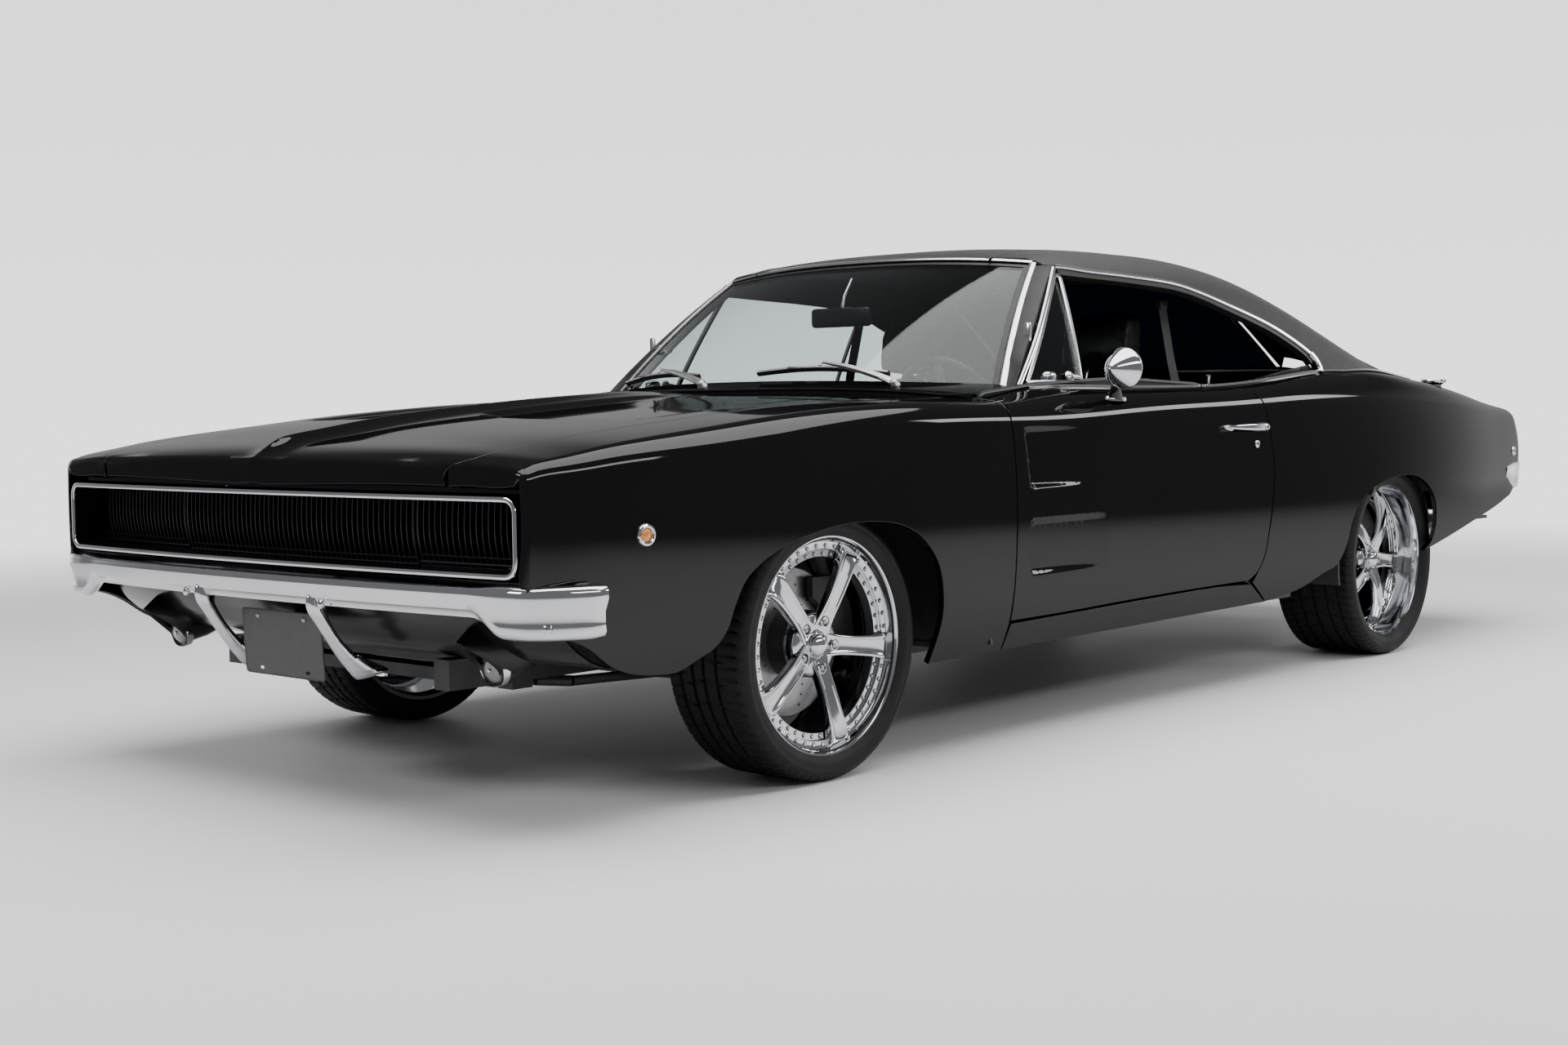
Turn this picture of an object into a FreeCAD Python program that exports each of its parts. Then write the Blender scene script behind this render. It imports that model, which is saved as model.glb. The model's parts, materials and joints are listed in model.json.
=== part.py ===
import FreeCAD, Part
import math
import os

# Two-door hardtop muscle car. Millimetres. +X forward, +Y the driver's side,
# +Z up, origin on the floor under the middle of the overall box.
# ---------------------------------------------------------------- driving dimensions
LENGTH = 5283.0          # bumper to bumper
WHEELBASE = 2972.0
FRONT_AXLE_X = 1646.5
REAR_AXLE_X = FRONT_AXLE_X - WHEELBASE
FRONT_TYRE_R = 318.0
REAR_TYRE_R = 324.0
FRONT_TYRE_Y = (627.0, 872.0)
REAR_TYRE_Y = (588.0, 874.0)
KINGPIN_Y = 700.0
STEER_RANGE = 30.0
GAP = 6.0                # shut line between panels
SKIN = 14.0              # fender and quarter wall
LID = 24.0               # hood and trunk lid with their inner frame
DOOR_INNER_Y = 792.0     # inner face of the doors
HOOD_REAR_X = 1040.0
TRUNK_FRONT_X = -1560.0
PLATE_PITCH_Y = 178.0    # licence plate screw pattern
PLATE_PITCH_Z = 121.0
PLATE_HOLE_R = 3.5
RIM_PCD = 114.3

# ---------------------------------------------------------------- shape library
def spline(knots):
    """Natural cubic spline through (x, v) knots, linear beyond the ends."""
    ks = sorted(knots)
    xs = [k[0] for k in ks]
    vs = [k[1] for k in ks]
    n = len(xs)
    h = [xs[i + 1] - xs[i] for i in range(n - 1)]
    a = [0.0] * n
    b = [1.0] * n
    c = [0.0] * n
    d = [0.0] * n
    for i in range(1, n - 1):
        a[i] = h[i - 1]
        b[i] = 2.0 * (h[i - 1] + h[i])
        c[i] = h[i]
        d[i] = 6.0 * ((vs[i + 1] - vs[i]) / h[i] - (vs[i] - vs[i - 1]) / h[i - 1])
    for i in range(1, n):
        m = a[i] / b[i - 1]
        b[i] -= m * c[i - 1]
        d[i] -= m * d[i - 1]
    m2 = [0.0] * n
    m2[n - 1] = d[n - 1] / b[n - 1]
    for i in range(n - 2, -1, -1):
        m2[i] = (d[i] - c[i] * m2[i + 1]) / b[i]

    def f(x):
        if x <= xs[0]:
            s = (vs[1] - vs[0]) / h[0] - h[0] * (2 * m2[0] + m2[1]) / 6.0
            return vs[0] + s * (x - xs[0])
        if x >= xs[-1]:
            s = (vs[-1] - vs[-2]) / h[-1] + h[-1] * (m2[-2] + 2 * m2[-1]) / 6.0
            return vs[-1] + s * (x - xs[-1])
        lo, hi = 0, n - 1
        while hi - lo > 1:
            k = (lo + hi) // 2
            if xs[k] > x:
                hi = k
            else:
                lo = k
        t = x - xs[lo]
        u = xs[hi] - x
        hh = h[lo]
        return (m2[lo] * u ** 3 + m2[hi] * t ** 3) / (6 * hh) \
            + (vs[lo] / hh - m2[lo] * hh / 6) * u + (vs[hi] / hh - m2[hi] * hh / 6) * t
    return f


def mix(a, b, t):
    return a + (b - a) * t


def step(a, b, x):
    t = max(0.0, min(1.0, (x - a) / (b - a)))
    return t * t * (3 - 2 * t)


# corner where the side and the top of the body would meet, before it is rounded
CREST_Z = spline([(2650, 722), (2592, 754), (2484, 779), (2372, 797), (2255, 811), (2133, 823), (2005, 836),
                  (1872, 850), (1733, 862), (1587, 871), (1434, 876), (1274, 877), (1105, 876), (900, 874),
                  (700, 876), (301, 893), (-158, 908), (-420, 918), (-676, 927), (-961, 933), (-1265, 934),
                  (-1592, 920), (-1944, 888), (-2323, 846), (-2560, 824), (-2660, 815)])
CREST_Y = spline([(2650, 866), (2596, 878), (2484, 895), (2300, 908), (2000, 916), (1646, 917), (1300, 913),
                  (1000, 905), (700, 897), (300, 890), (-158, 888), (-500, 892), (-900, 899), (-1300, 901),
                  (-1600, 893), (-1944, 868), (-2323, 816), (-2560, 784), (-2660, 770)])
WIDE_Y = spline([(2650, 868), (2596, 880), (2484, 905), (2303, 925), (2000, 941), (1646, 948), (1300, 944),
                 (1000, 935), (700, 927), (300, 922), (-158, 925), (-500, 932), (-900, 941), (-1300, 945),
                 (-1600, 937), (-1944, 908), (-2323, 854), (-2487, 828), (-2560, 815), (-2660, 796)])
WIDE_Z = spline([(2650, 640), (2300, 620), (1646, 600), (700, 590), (-158, 590), (-900, 600), (-1600, 625),
                 (-2323, 655), (-2660, 665)])
LOW_Z = 235.0
LOW_Y = spline([(2650, 800), (2596, 812), (2300, 850), (2000, 866), (1646, 872), (1200, 864), (700, 856),
                (0, 856), (-450, 860), (-900, 864), (-1325, 856), (-1650, 826), (-2000, 775), (-2323, 700),
                (-2560, 655), (-2660, 635)])
MID_Z = spline([(2650, 757), (2600, 779), (2540, 797), (2450, 812), (2300, 834), (2000, 864), (1646, 890),
                (1300, 906), (1090, 911), (900, 955), (780, 1000), (590, 1018), (300, 980), (0, 955),
                (-286, 946), (-558, 988), (-870, 1064), (-1200, 1040), (-1500, 980), (-1600, 968), (-1700, 957),
                (-1944, 926), (-2323, 878), (-2500, 862), (-2660, 856)])
CREST_R = spline([(2650, 26), (2484, 34), (2300, 42), (1646, 50), (1000, 48), (300, 52), (-500, 60),
                  (-1300, 66), (-1944, 58), (-2323, 46), (-2660, 30)])


def top_z(x, y):
    """Height of the hood, fender top, belt and deck before the crest is rounded."""
    zc, z0, yc = CREST_Z(x), MID_Z(x), CREST_Y(x)
    r = min(abs(y) / yc, 1.2)
    return zc + (z0 - zc) * (1.0 - r ** (3.0 + 3.0 * step(-1000.0, -1450.0, x)))


def side_y(x, z):
    """Half width of the body side at height z."""
    zc, yc, yw, zw, yl = CREST_Z(x), CREST_Y(x), WIDE_Y(x), WIDE_Z(x), LOW_Y(x)
    if z >= zw:
        r = (z - zw) / (zc - zw)
        return yw - (yw - yc) * r * r
    r = (zw - z) / (zw - LOW_Z)
    return yw - (yw - yl) * r ** 2.3


def body_section(x, y_in=0.0, nt=10, nf=7, ns=12, z_low=LOW_Z):
    """Section of the left half at x, as (y, z), from y_in over the crest down to z_low."""
    zc, yc, r = CREST_Z(x), CREST_Y(x), CREST_R(x)
    ya = yc - r
    za = top_z(x, ya)
    zb = zc - r
    yb = side_y(x, zb)
    pts = []
    for i in range(nt):
        y = mix(y_in, ya, i / float(nt))
        pts.append((y, top_z(x, y)))
    e = 1.0
    ta = (2 * e, top_z(x, ya + e) - top_z(x, ya - e))
    tb = (side_y(x, zb - e) - side_y(x, zb + e), -2 * e)
    la, lb = math.hypot(*ta), math.hypot(*tb)
    k = 0.62 * r
    c1 = (ya + ta[0] / la * k, za + ta[1] / la * k)
    c2 = (yb - tb[0] / lb * k, zb - tb[1] / lb * k)
    for i in range(nf):
        t = i / float(nf)
        a, b, c, d = (1 - t) ** 3, 3 * t * (1 - t) ** 2, 3 * t * t * (1 - t), t ** 3
        pts.append((a * ya + b * c1[0] + c * c2[0] + d * yb, a * za + b * c1[1] + c * c2[1] + d * zb))
    for i in range(ns + 1):
        z = mix(zb, z_low, i / float(ns))
        pts.append((side_y(x, z), z))
    return pts


# ---- greenhouse
ROOF_Z = spline([(480, 1300), (420, 1319), (340, 1334), (250, 1343), (100, 1349), (-100, 1351), (-280, 1347), (-450, 1333),
                 (-620, 1306), (-900, 1224), (-1185, 1120), (-1495, 1024), (-1700, 962), (-1850, 922)])
SIDE_G = spline([(960, 772), (779, 781), (400, 795), (0, 802), (-400, 812), (-870, 833), (-1200, 836),
                 (-1500, 815), (-1700, 780), (-1850, 745)])


def green_y(x, z):
    """Half width of the side glass and pillars at height z."""
    d = (z - 918.0)
    return SIDE_G(x) - 0.36 * d - 0.00028 * d * d


def roof_z(x, y):
    """Height of the roof skin, and of the filled-in line of the sail panels behind it."""
    zr = ROOF_Z(x)
    return zr - 30.0 * (abs(y) / 560.0) ** 2.6


RAIL = [(425, 1257), (228, 1254), (6, 1247), (-230, 1234), (-330, 1215), (-468, 1180), (-705, 1107),
        (-860, 1030), (-893, 1000), (-896, 982)]


def green_section(x, nt=10, nf=6, ns=8, z_low=930.0):
    """Left half section of the greenhouse from the middle over the roof edge down the side."""
    # corner where roof and side meet
    y = 640.0
    for k in range(30):
        y = green_y(x, roof_z(x, y))
    zc = roof_z(x, y)
    r = 70.0
    if zc - r < z_low + 8:
        r = max(6.0, (zc - z_low - 8))
    ya = y - r
    za = roof_z(x, ya)
    zb = zc - r
    yb = green_y(x, zb)
    pts = []
    for i in range(nt):
        t = mix(0, ya, i / float(nt))
        pts.append((t, roof_z(x, t)))
    e = 1.0
    ta = (2 * e, roof_z(x, ya + e) - roof_z(x, ya - e))
    tb = (green_y(x, zb - e) - green_y(x, zb + e), -2 * e)
    la, lb = math.hypot(*ta), math.hypot(*tb)
    k = 0.5 * r
    c1 = (ya + ta[0] / la * k, za + ta[1] / la * k)
    c2 = (yb - tb[0] / lb * k, zb - tb[1] / lb * k)
    for i in range(nf):
        t = i / float(nf)
        a, b, c, d = (1 - t) ** 3, 3 * t * (1 - t) ** 2, 3 * t * t * (1 - t), t ** 3
        pts.append((a * ya + b * c1[0] + c * c2[0] + d * yb, a * za + b * c1[1] + c * c2[1] + d * zb))
    for i in range(ns + 1):
        z = mix(zb, z_low, i / float(ns))
        pts.append((green_y(x, z), z))
    return pts


# windshield: base and top edge of the glass, as functions of t = y / half width
def ws_base(t):
    return (935.0 - 160.0 * abs(t) ** 2.4, 732.0 * t, 941.0 - 20.0 * t * t)


def ws_top(t):
    return (478.0 - 66.0 * abs(t) ** 2.3, 583.0 * t, 1297.0 - 27.0 * abs(t) ** 2.4)


def ws_point(t, w):
    """Windshield skin: t from -1 (right) to 1 (left), w from 0 (base) to 1 (top)."""
    a, b = ws_base(t), ws_top(t)
    bulge = 16.0 * 4 * w * (1 - w)
    return (mix(a[0], b[0], w) + bulge * 0.6, mix(a[1], b[1], w), mix(a[2], b[2], w) + bulge * 0.8)


# rear window between the sail panels
def rw_point(t, w):
    """Rear window skin: w from 0 (base) to 1 (top)."""
    a = (-1120.0 + 30.0 * t * t, 560.0 * t, 988.0 - 4 * t * t)
    b = (-650.0 + 10.0 * t * t, 520.0 * t, 1280.0 - 20.0 * t * t)
    bulge = 8.0 * 4 * w * (1 - w)
    return (mix(a[0], b[0], w) - bulge * 0.5, mix(a[1], b[1], w), mix(a[2], b[2], w) + bulge * 0.8)

# ---------------------------------------------------------------- solid helpers
V = FreeCAD.Vector
NODES = {}


def put(name, shape):
    NODES[name] = shape
    return shape


def box(x0, x1, y0, y1, z0, z1):
    return Part.makeBox(x1 - x0, y1 - y0, z1 - z0, V(x0, y0, z0))


def mirror(s):
    return s.mirror(V(0, 0, 0), V(0, 1, 0))


def both(s):
    return Part.makeCompound([s, mirror(s)])


def join(first, *rest):
    s = first
    for r in rest:
        s = s.fuse(r)
    return s


def trimmed(a, b):
    """Each solid of a with the solids of b taken off it."""
    out = []
    for s in a.Solids:
        for t in b.Solids:
            if s.BoundBox.intersect(t.BoundBox) and s.common(t).Volume > 0.5:
                s = max(s.cut(t).Solids, key=lambda q: q.Volume)
        out.append(s)
    return out[0] if len(out) == 1 else Part.makeCompound(out)


def poly_face(pts):
    vs = [V(*p) for p in pts]
    return Part.Face(Part.makePolygon(vs + [vs[0]]))


def prism_xz(pts, y0, y1):
    """Prism of an outline in the side view, from y0 to y1."""
    return poly_face([(x, y0, z) for x, z in pts]).extrude(V(0, y1 - y0, 0))


def prism_xy(pts, z0, z1):
    return poly_face([(x, y, z0) for x, y in pts]).extrude(V(0, 0, z1 - z0))


def prism_yz(pts, x0, x1):
    return poly_face([(x0, y, z) for y, z in pts]).extrude(V(x1 - x0, 0, 0))


def cyl_y(x, z, r, y0, y1):
    return Part.makeCylinder(r, y1 - y0, V(x, y0, z), V(0, 1, 0))


def cyl_x(y, z, r, x0, x1):
    return Part.makeCylinder(r, x1 - x0, V(x0, y, z), V(1, 0, 0))


def cyl_between(a, b, r):
    a, b = V(*a), V(*b)
    d = b - a
    return Part.makeCylinder(r, d.Length, a, d)


def revolve_y(pts, x, z):
    """Turn an outline of (radius, y) about the axis through (x, z) along Y."""
    f = poly_face([(x + r, y, z) for r, y in pts])
    return f.revolve(V(x, 0, z), V(0, 1, 0), 360)


def offset_line(pts, t):
    """Shift a 2-D line sideways to its right-hand side by t."""
    out = []
    n = len(pts)
    for i, p in enumerate(pts):
        a = pts[max(0, i - 1)]
        b = pts[min(n - 1, i + 1)]
        dx, dy = b[0] - a[0], b[1] - a[1]
        l = math.hypot(dx, dy)
        out.append((p[0] + dy / l * t, p[1] - dx / l * t))
    return out


def half_solid(xs, section, z_floor):
    """Solid under a section curve: from the middle plane out to the skin, down to z_floor."""
    grid = []
    for x in xs:
        grid.append([V(x, y, z) for y, z in section(x)])
    srf = Part.BSplineSurface()
    srf.interpolate(grid)
    u0, u1, v0, v1 = srf.bounds()
    top = srf.vIso(v0).toShape()
    low = srf.vIso(v1).toShape()
    ends = [srf.uIso(u0).toShape(), srf.uIso(u1).toShape()]
    faces = [srf.toShape()]
    a0, a1 = V(xs[0], 0, z_floor), V(xs[-1], 0, z_floor)
    mid = Part.makeLine(a0, a1)
    faces.append(Part.makeRuledSurface(top, mid))
    faces.append(Part.makeRuledSurface(low, mid))
    for e, x in zip(ends, (xs[0], xs[-1])):
        p, q = e.valueAt(e.FirstParameter), e.valueAt(e.LastParameter)
        c = V(x, 0, z_floor)
        w = Part.Wire([e, Part.makeLine(q, c), Part.makeLine(c, p)])
        faces.append(Part.Face(w))
    sh = Part.makeShell(faces)
    sh.sewShape()
    s = Part.Solid(sh)
    if s.Volume < 0:
        s.reverse()
    s.fix(0.01, 0.01, 0.01)
    return s


def slab(fn, us, vs, t):
    """Plate of thickness t behind the skin fn(u, v); t goes against the skin's normal du x dv."""
    outer, inner = [], []
    for u in us:
        ro, ri = [], []
        for v in vs:
            e = 1e-3
            p = V(*fn(u, v))
            du = V(*fn(u + e, v)) - V(*fn(u - e, v))
            dv = V(*fn(u, v + e)) - V(*fn(u, v - e))
            n = du.cross(dv)
            n.normalize()
            ro.append(p)
            ri.append(p - n * t)
        outer.append(ro)
        inner.append(ri)
    a = Part.BSplineSurface()
    a.interpolate(outer)
    b = Part.BSplineSurface()
    b.interpolate(inner)
    faces = [a.toShape(), b.toShape()]
    au, bu = a.bounds(), b.bounds()
    for k in range(2):
        faces.append(Part.makeRuledSurface(a.uIso(au[k]).toShape(), b.uIso(bu[k]).toShape()))
        faces.append(Part.makeRuledSurface(a.vIso(au[2 + k]).toShape(), b.vIso(bu[2 + k]).toShape()))
    sh = Part.makeShell(faces)
    sh.sewShape()
    s = Part.Solid(sh)
    if s.Volume < 0:
        s.reverse()
    return s


def loft(wires):
    ws = []
    for w in wires:
        vs = [V(*p) for p in w]
        ws.append(Part.makePolygon(vs + [vs[0]]))
    return Part.makeLoft(ws, True, False)


def ruled(wires):
    ws = []
    for w in wires:
        vs = [V(*p) for p in w]
        ws.append(Part.makePolygon(vs + [vs[0]]))
    return Part.makeLoft(ws, True, True)


def span(a, b, n):
    return [mix(a, b, i / float(n)) for i in range(n + 1)]


def near(shape, x0, x1, y0, y1, z0, z1):
    return shape.common(box(x0, x1, y0, y1, z0, z1))


# ---------------------------------------------------------------- body volume (left half)
XS = span(-2650.0, 2655.0, 62)


def sec_out(x):
    return body_section(x)


def sec_in(t):
    def f(x):
        p = body_section(x)
        q = offset_line(p, t)
        q[0] = (0.0, q[0][1])
        q[-1] = (q[-1][0], LOW_Z)
        return q
    return f


OUT = half_solid(XS, sec_out, LOW_Z)
INN = half_solid(XS, sec_in(SKIN), LOW_Z - 20)
INN_LID = half_solid(XS, sec_in(LID), LOW_Z - 20)


def front_x(y):
    """Front edge of the nose in plan."""
    return 2624.0 - 34.0 * (abs(y) / 852.0) ** 2


def tail_x(y):
    return -2612.0 + 14.0 * (abs(y) / 790.0) ** 2


NOSE = [(front_x(y), y) for y in (0, 200, 400, 600, 760, 850, 872)] + [(2586, 881), (2570, 1100)]
TAIL = [(tail_x(y), y) for y in (0, 250, 500, 700, 1100)]
plan_trim = prism_xy([(0, -50), (0, 1100)] + NOSE[::-1] + [(front_x(0), -50)], 100, 1500)
plan_trim = join(plan_trim, prism_xy([(1, -50), (tail_x(0), -50)] + TAIL + [(1, 1100)], 100, 1500))
SHELL = OUT.common(plan_trim).cut(INN)
SHELL_LID = OUT.common(plan_trim).cut(INN_LID)

# shut lines and openings in the side view
DOOR_FRONT = [(985, 880), (985, 822), (988, 740), (990, 657), (991, 574), (989, 490), (980, 406), (966, 318)]
DOOR_REAR = [(-280, 330), (-321, 356), (-343, 404), (-350, 480), (-368, 603), (-377, 677), (-371, 752),
             (-357, 859), (-336, 893), (-150, 925)]
DOOR_BOTTOM = [(724, 319), (314, 326), (-141, 330)]
ARCH_F = [(1262, 100), (1281, 266), (1281, 348), (1295, 410), (1332, 493), (1402, 560), (1467, 589), (1529, 602),
          (1620, 608), (1707, 605), (1792, 593), (1899, 567), (1968, 536), (2012, 503), (2040, 450), (2056, 395),
          (2086, 358), (2129, 338), (2150, 100)]
ARCH_R = [(-437, 100), (-437, 257), (-627, 276), (-760, 317), (-846, 345), (-877, 411), (-889, 477), (-929, 533),
          (-1012, 578), (-1130, 607), (-1254, 618), (-1353, 612), (-1455, 578), (-1520, 530), (-1560, 460),
          (-1580, 397), (-1572, 369), (-1530, 343), (-1521, 100)]
LOW_FRONT = [(2129, 338), (2181, 316), (2297, 322), (2367, 345), (2438, 391), (2480, 410), (2560, 430)]
LOW_REAR = [(-1530, 343), (-1649, 363), (-1983, 418), (-2320, 463), (-2466, 490), (-2700, 510)]


def fat(line, d):
    """Move a shut line along X."""
    return [(x + d, z) for x, z in line]


# ---- front fenders: from the door to the nose, top strip in to the hood shut line
def hood_y(x):
    return 742.0 - 46.0 * ((x - 1040.0) / 1560.0) ** 2


fx = fat(DOOR_FRONT, GAP)
fender_out = [(fx[0][0], 1000)] + fx + [(972, 236), (1281, 236)] + ARCH_F[2:-1] + LOW_FRONT[1:] + [(2700, 430), (2700, 1000)]
fender = SHELL.common(prism_xz(fender_out, 500, 1100))
hood_edge = [(x, hood_y(x)) for x in span(990, 2580, 14)]
fender = fender.cut(prism_xy([(900, 500)] + [(900, hood_edge[0][1] + 3)] + [(x, y + 3) for x, y in hood_edge]
                             + [(2610, 660), (2700, 655), (2700, 500)], 650, 1500))
fender = fender.cut(box(900, 2700, 400, 800, 200, 640))
# the grille opening is kept clear of the fender's front return
fender = fender.cut(box(2480, 2700, 400, 855, 300, 706))
put("front_fender_left", fender)

# ---- hood
hood_plan = [(HOOD_REAR_X, 0)] + [(HOOD_REAR_X, hood_y(HOOD_REAR_X) - 3)] + \
            [(x, hood_y(x) - 3) for x in span(1100, 2560, 12)] + [(2596, 672), (2612, 648), (2700, 640), (2700, 0)]
hood = SHELL_LID.common(prism_xy(hood_plan, 700, 1500))
hood = join(hood, mirror(hood)).removeSplitter()
lip = prism_xy([(front_x(y) - 20, y) for y in span(-636, 636, 12)] + [(front_x(y) - 2, y) for y in span(636, -636, 12)], 733, 760)
hood = hood.fuse(lip.common(box(2400, 2700, -636, 636, 733, 770)))
put("hood", hood)

# ---- nose panel: the thin lip between the hood's front edge and the grille frame
nose_plan = [(front_x(y) - 110, y) for y in span(-846, 846, 16)] + [(front_x(y) - 6, y) for y in span(846, -846, 16)]
nose = prism_xy(nose_plan, 708, 726)
nose = nose.cut(box(2400, 2700, 655, 1000, 722, 760)).cut(box(2400, 2700, -1000, -655, 722, 760))
put("nose_panel", nose)

# ---- grille frame and the walls of the recess
def ring(y0, z0, y1, z1, r, w):
    def rr(y0, z0, y1, z1, r):
        pts = []
        for cy, cz, a0 in ((y1 - r, z1 - r, 0), (y0 + r, z1 - r, 90), (y0 + r, z0 + r, 180), (y1 - r, z0 + r, 270)):
            for k in range(5):
                a = math.radians(a0 + 22.5 * k)
                pts.append((cy + r * math.cos(a), cz + r * math.sin(a)))
        return pts
    a = prism_yz(rr(y0, z0, y1, z1, r), 2490, 2640)
    b = prism_yz(rr(y0 + w, z0 + w, y1 - w, z1 - w, max(4, r - w)), 2480, 2650)
    return a.cut(b)


frame = ring(-852, 537, 852, 705, 30, 13)
keep = prism_xy([(front_x(y) - 89, y) for y in span(-860, 860, 16)] + [(front_x(y) + 1, y) for y in span(860, -860, 16)], 500, 760)
frame = frame.common(keep)
put("grille_frame", frame)


def grille_x(y):
    return front_x(y) - 96.0


def grille_part(y0, y1, z0, z1, t=12.0):
    pts = [(grille_x(y), y) for y in span(y0, y1, 8)] + [(grille_x(y) - t, y) for y in span(y1, y0, 8)]
    return prism_xy(pts, z0, z1)


put("grille", grille_part(-438, 438, 545, 698))
put("headlamp_door_left", grille_part(446, 836, 552, 694))
put("headlamp_door_right", mirror(NODES["headlamp_door_left"]))

lamps = []
for y in (548, 728):
    x0 = 2330 - (30 if y > 700 else 0)
    lamps.append(cyl_x(y, 622, 70, x0 - 70, x0))
plate = box(2245, 2262, 455, 830, 545, 700)
lamp_l = join(plate, *lamps)

# ---- front valance with its pods, parking lamps
def valance_fn(u, v):
    y = mix(-838.0, 838.0, u)
    k = (abs(y) / 838.0)
    prof = [(2566, 531), (2556, 480), (2530, 430), (2490, 385), (2440, 350), (2400, 336)]
    t = v * (len(prof) - 1)
    i = min(int(t), len(prof) - 2)
    f = t - i
    x, z = mix(prof[i][0], prof[i + 1][0], f), mix(prof[i][1], prof[i + 1][1], f)
    return (x + front_x(y) - 2624.0 - 30.0 * k ** 4, y, z)


val = slab(valance_fn, span(0, 1, 16), span(0.0, 1.0, 10), -8.0)
pods = []
for y in (602,):
    pods.append(join(cyl_between((2380, 602, 342), (2472, 602, 322), 46), cyl_between((2420, 602, 376), (2536, 602, 384), 20)))
pod = pods[0]
val = val.cut(cyl_between((2432, 602, 331), (2560, 602, 303), 37)).cut(mirror(cyl_between((2432, 602, 331), (2560, 602, 303), 37)))
pod = pod.cut(cyl_between((2432, 602, 331), (2530, 602, 310), 39))
val = join(val, pod, mirror(pod))
put("front_valance", val)
park = cyl_between((2433, 602, 330.7), (2452, 602, 326.6), 38.5)
put("front_lamps", Part.makeCompound([lamp_l, mirror(lamp_l), park, mirror(park)]))

# ---- front bumper: bar along a bowed path with taller ends, and two guards
def bumper_front():
    secs = []
    path = []
    for y in (0, 150, 300, 450, 600, 700, 780, 840, 890, 925, 945):
        t = y / 945.0
        x = 2641.5 - 60.0 * t ** 2.2
        if y > 840:
            x -= 90.0 * ((y - 840) / 105.0) ** 2.2
        path.append((x, y))
    path.append((2490.0, 953.0))
    path.append((2440.0, 950.0))
    out = []
    n = len(path)
    for i, (x, y) in enumerate(path):
        a = path[max(0, i - 1)]
        b = path[min(n - 1, i + 1)]
        tx, ty = b[0] - a[0], b[1] - a[1]
        if i == 0:
            tx, ty = 0.0, 1.0
        l = math.hypot(tx, ty)
        nx, ny = ty / l, -tx / l
        end = step(740.0, 800.0, y)
        zt = mix(522.0, 524.0, end)
        zb = mix(457.0, 418.0, end)
        d = 34.0
        prof = [(-d, zt - 6), (-12, zt), (-2, zt - 12), (0, mix(zt, zb, 0.5)), (-4, zb + 12), (-16, zb), (-d, zb + 6)]
        out.append([(x + nx * p, y + ny * p, z) for p, z in prof])
    return out


bump = ruled(bumper_front())
bump = join(bump, mirror(bump))
guards = []
gd = [[(2636, 200, 478), (2636, 234, 478), (2608, 234, 478), (2608, 200, 478)],
      [(2638, 198, 442), (2638, 236, 442), (2600, 236, 442), (2600, 198, 442)],
      [(2600, 200, 390), (2600, 236, 390), (2556, 236, 390), (2556, 200, 390)],
      [(2560, 202, 335), (2560, 238, 335), (2500, 240, 335), (2500, 202, 335)],
      [(2524, 204, 282), (2524, 236, 282), (2440, 248, 290), (2440, 204, 290)]]
g = Part.makeLoft([Part.makePolygon([V(*p) for p in w] + [V(*w[0])]) for w in gd], True, True)
bump = join(bump, g, mirror(g))
put("front_bumper", bump)

# ---- blank licence plate with its four slots as plain holes
plate = box(2552, 2556, -152.5, 152.5, 274, 426)
for sy in (-1, 1):
    for sz in (-1, 1):
        plate = plate.cut(cyl_x(sy * PLATE_PITCH_Y / 2, 350 + sz * PLATE_PITCH_Z / 2, PLATE_HOLE_R, 2540, 2570))
plate = join(plate, box(2470, 2553, -30, 30, 384, 396))
put("licence_plate", max(plate.cut(val).Solids, key=lambda q: q.Volume))

# ---- doors: the skin's volume inward to the inner face
door_out = DOOR_FRONT + DOOR_BOTTOM + DOOR_REAR + [(300, 960), (985, 960)]
# the rear edge steps forward inboard, so that it swings out past the quarter
door_in = DOOR_FRONT + DOOR_BOTTOM[:-1] + [(-127, 330)] + fat(DOOR_REAR[:-2], 14) + [(-322, 893), (-136, 925), (300, 960), (985, 960)]
door = join(OUT.common(prism_xz(door_out, 896, 1100)), OUT.common(prism_xz(door_in, DOOR_INNER_Y, 896)))
put("door_left", door)

# ---- rockers
rock = OUT.common(prism_xz([(963, 240), (-430, 246), (-300, 312), (-141, 323), (314, 319), (724, 312), (960, 309)], 780, 1100))
put("rockers", both(rock))

# ---- quarter panels
qx = fat(DOOR_REAR, -GAP)
q_out = [(-430, 246)] + [(-306, 312)] + qx[0:-1] + [(-158, 932), (-158, 1050), (-2700, 1050)] + \
        LOW_REAR[::-1] + ARCH_R[1:-2][::-1]
quarter = SHELL.common(prism_xz(q_out, 500, 1100))
quarter = quarter.cut(box(-1560, -100, 500, 770, 200, 1100))
deck_y = [(-1560, 560), (-1700, 604), (-1944, 640), (-2323, 640), (-2545, 640)]
quarter = quarter.cut(prism_xy([(-1560, 400)] + deck_y + [(-2580, 640), (-2700, 640), (-2700, 400)], 600, 1500))
quarter = quarter.cut(box(-2700, -1560, 400, 640, 300, 700))
quarter = quarter.cut(box(-1562, -1180, 500, 770, 600, 1100))
inner_q = OUT.common(prism_xz([(-400, 330), (-830, 420), (-860, 640), (-980, 900), (-980, 1050), (-170, 1050),
                               (-164, 930)] + [(x - GAP, z) for x, z in DOOR_REAR[::-1][1:]], DOOR_INNER_Y, 850))
quarter = join(quarter, inner_q)
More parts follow.
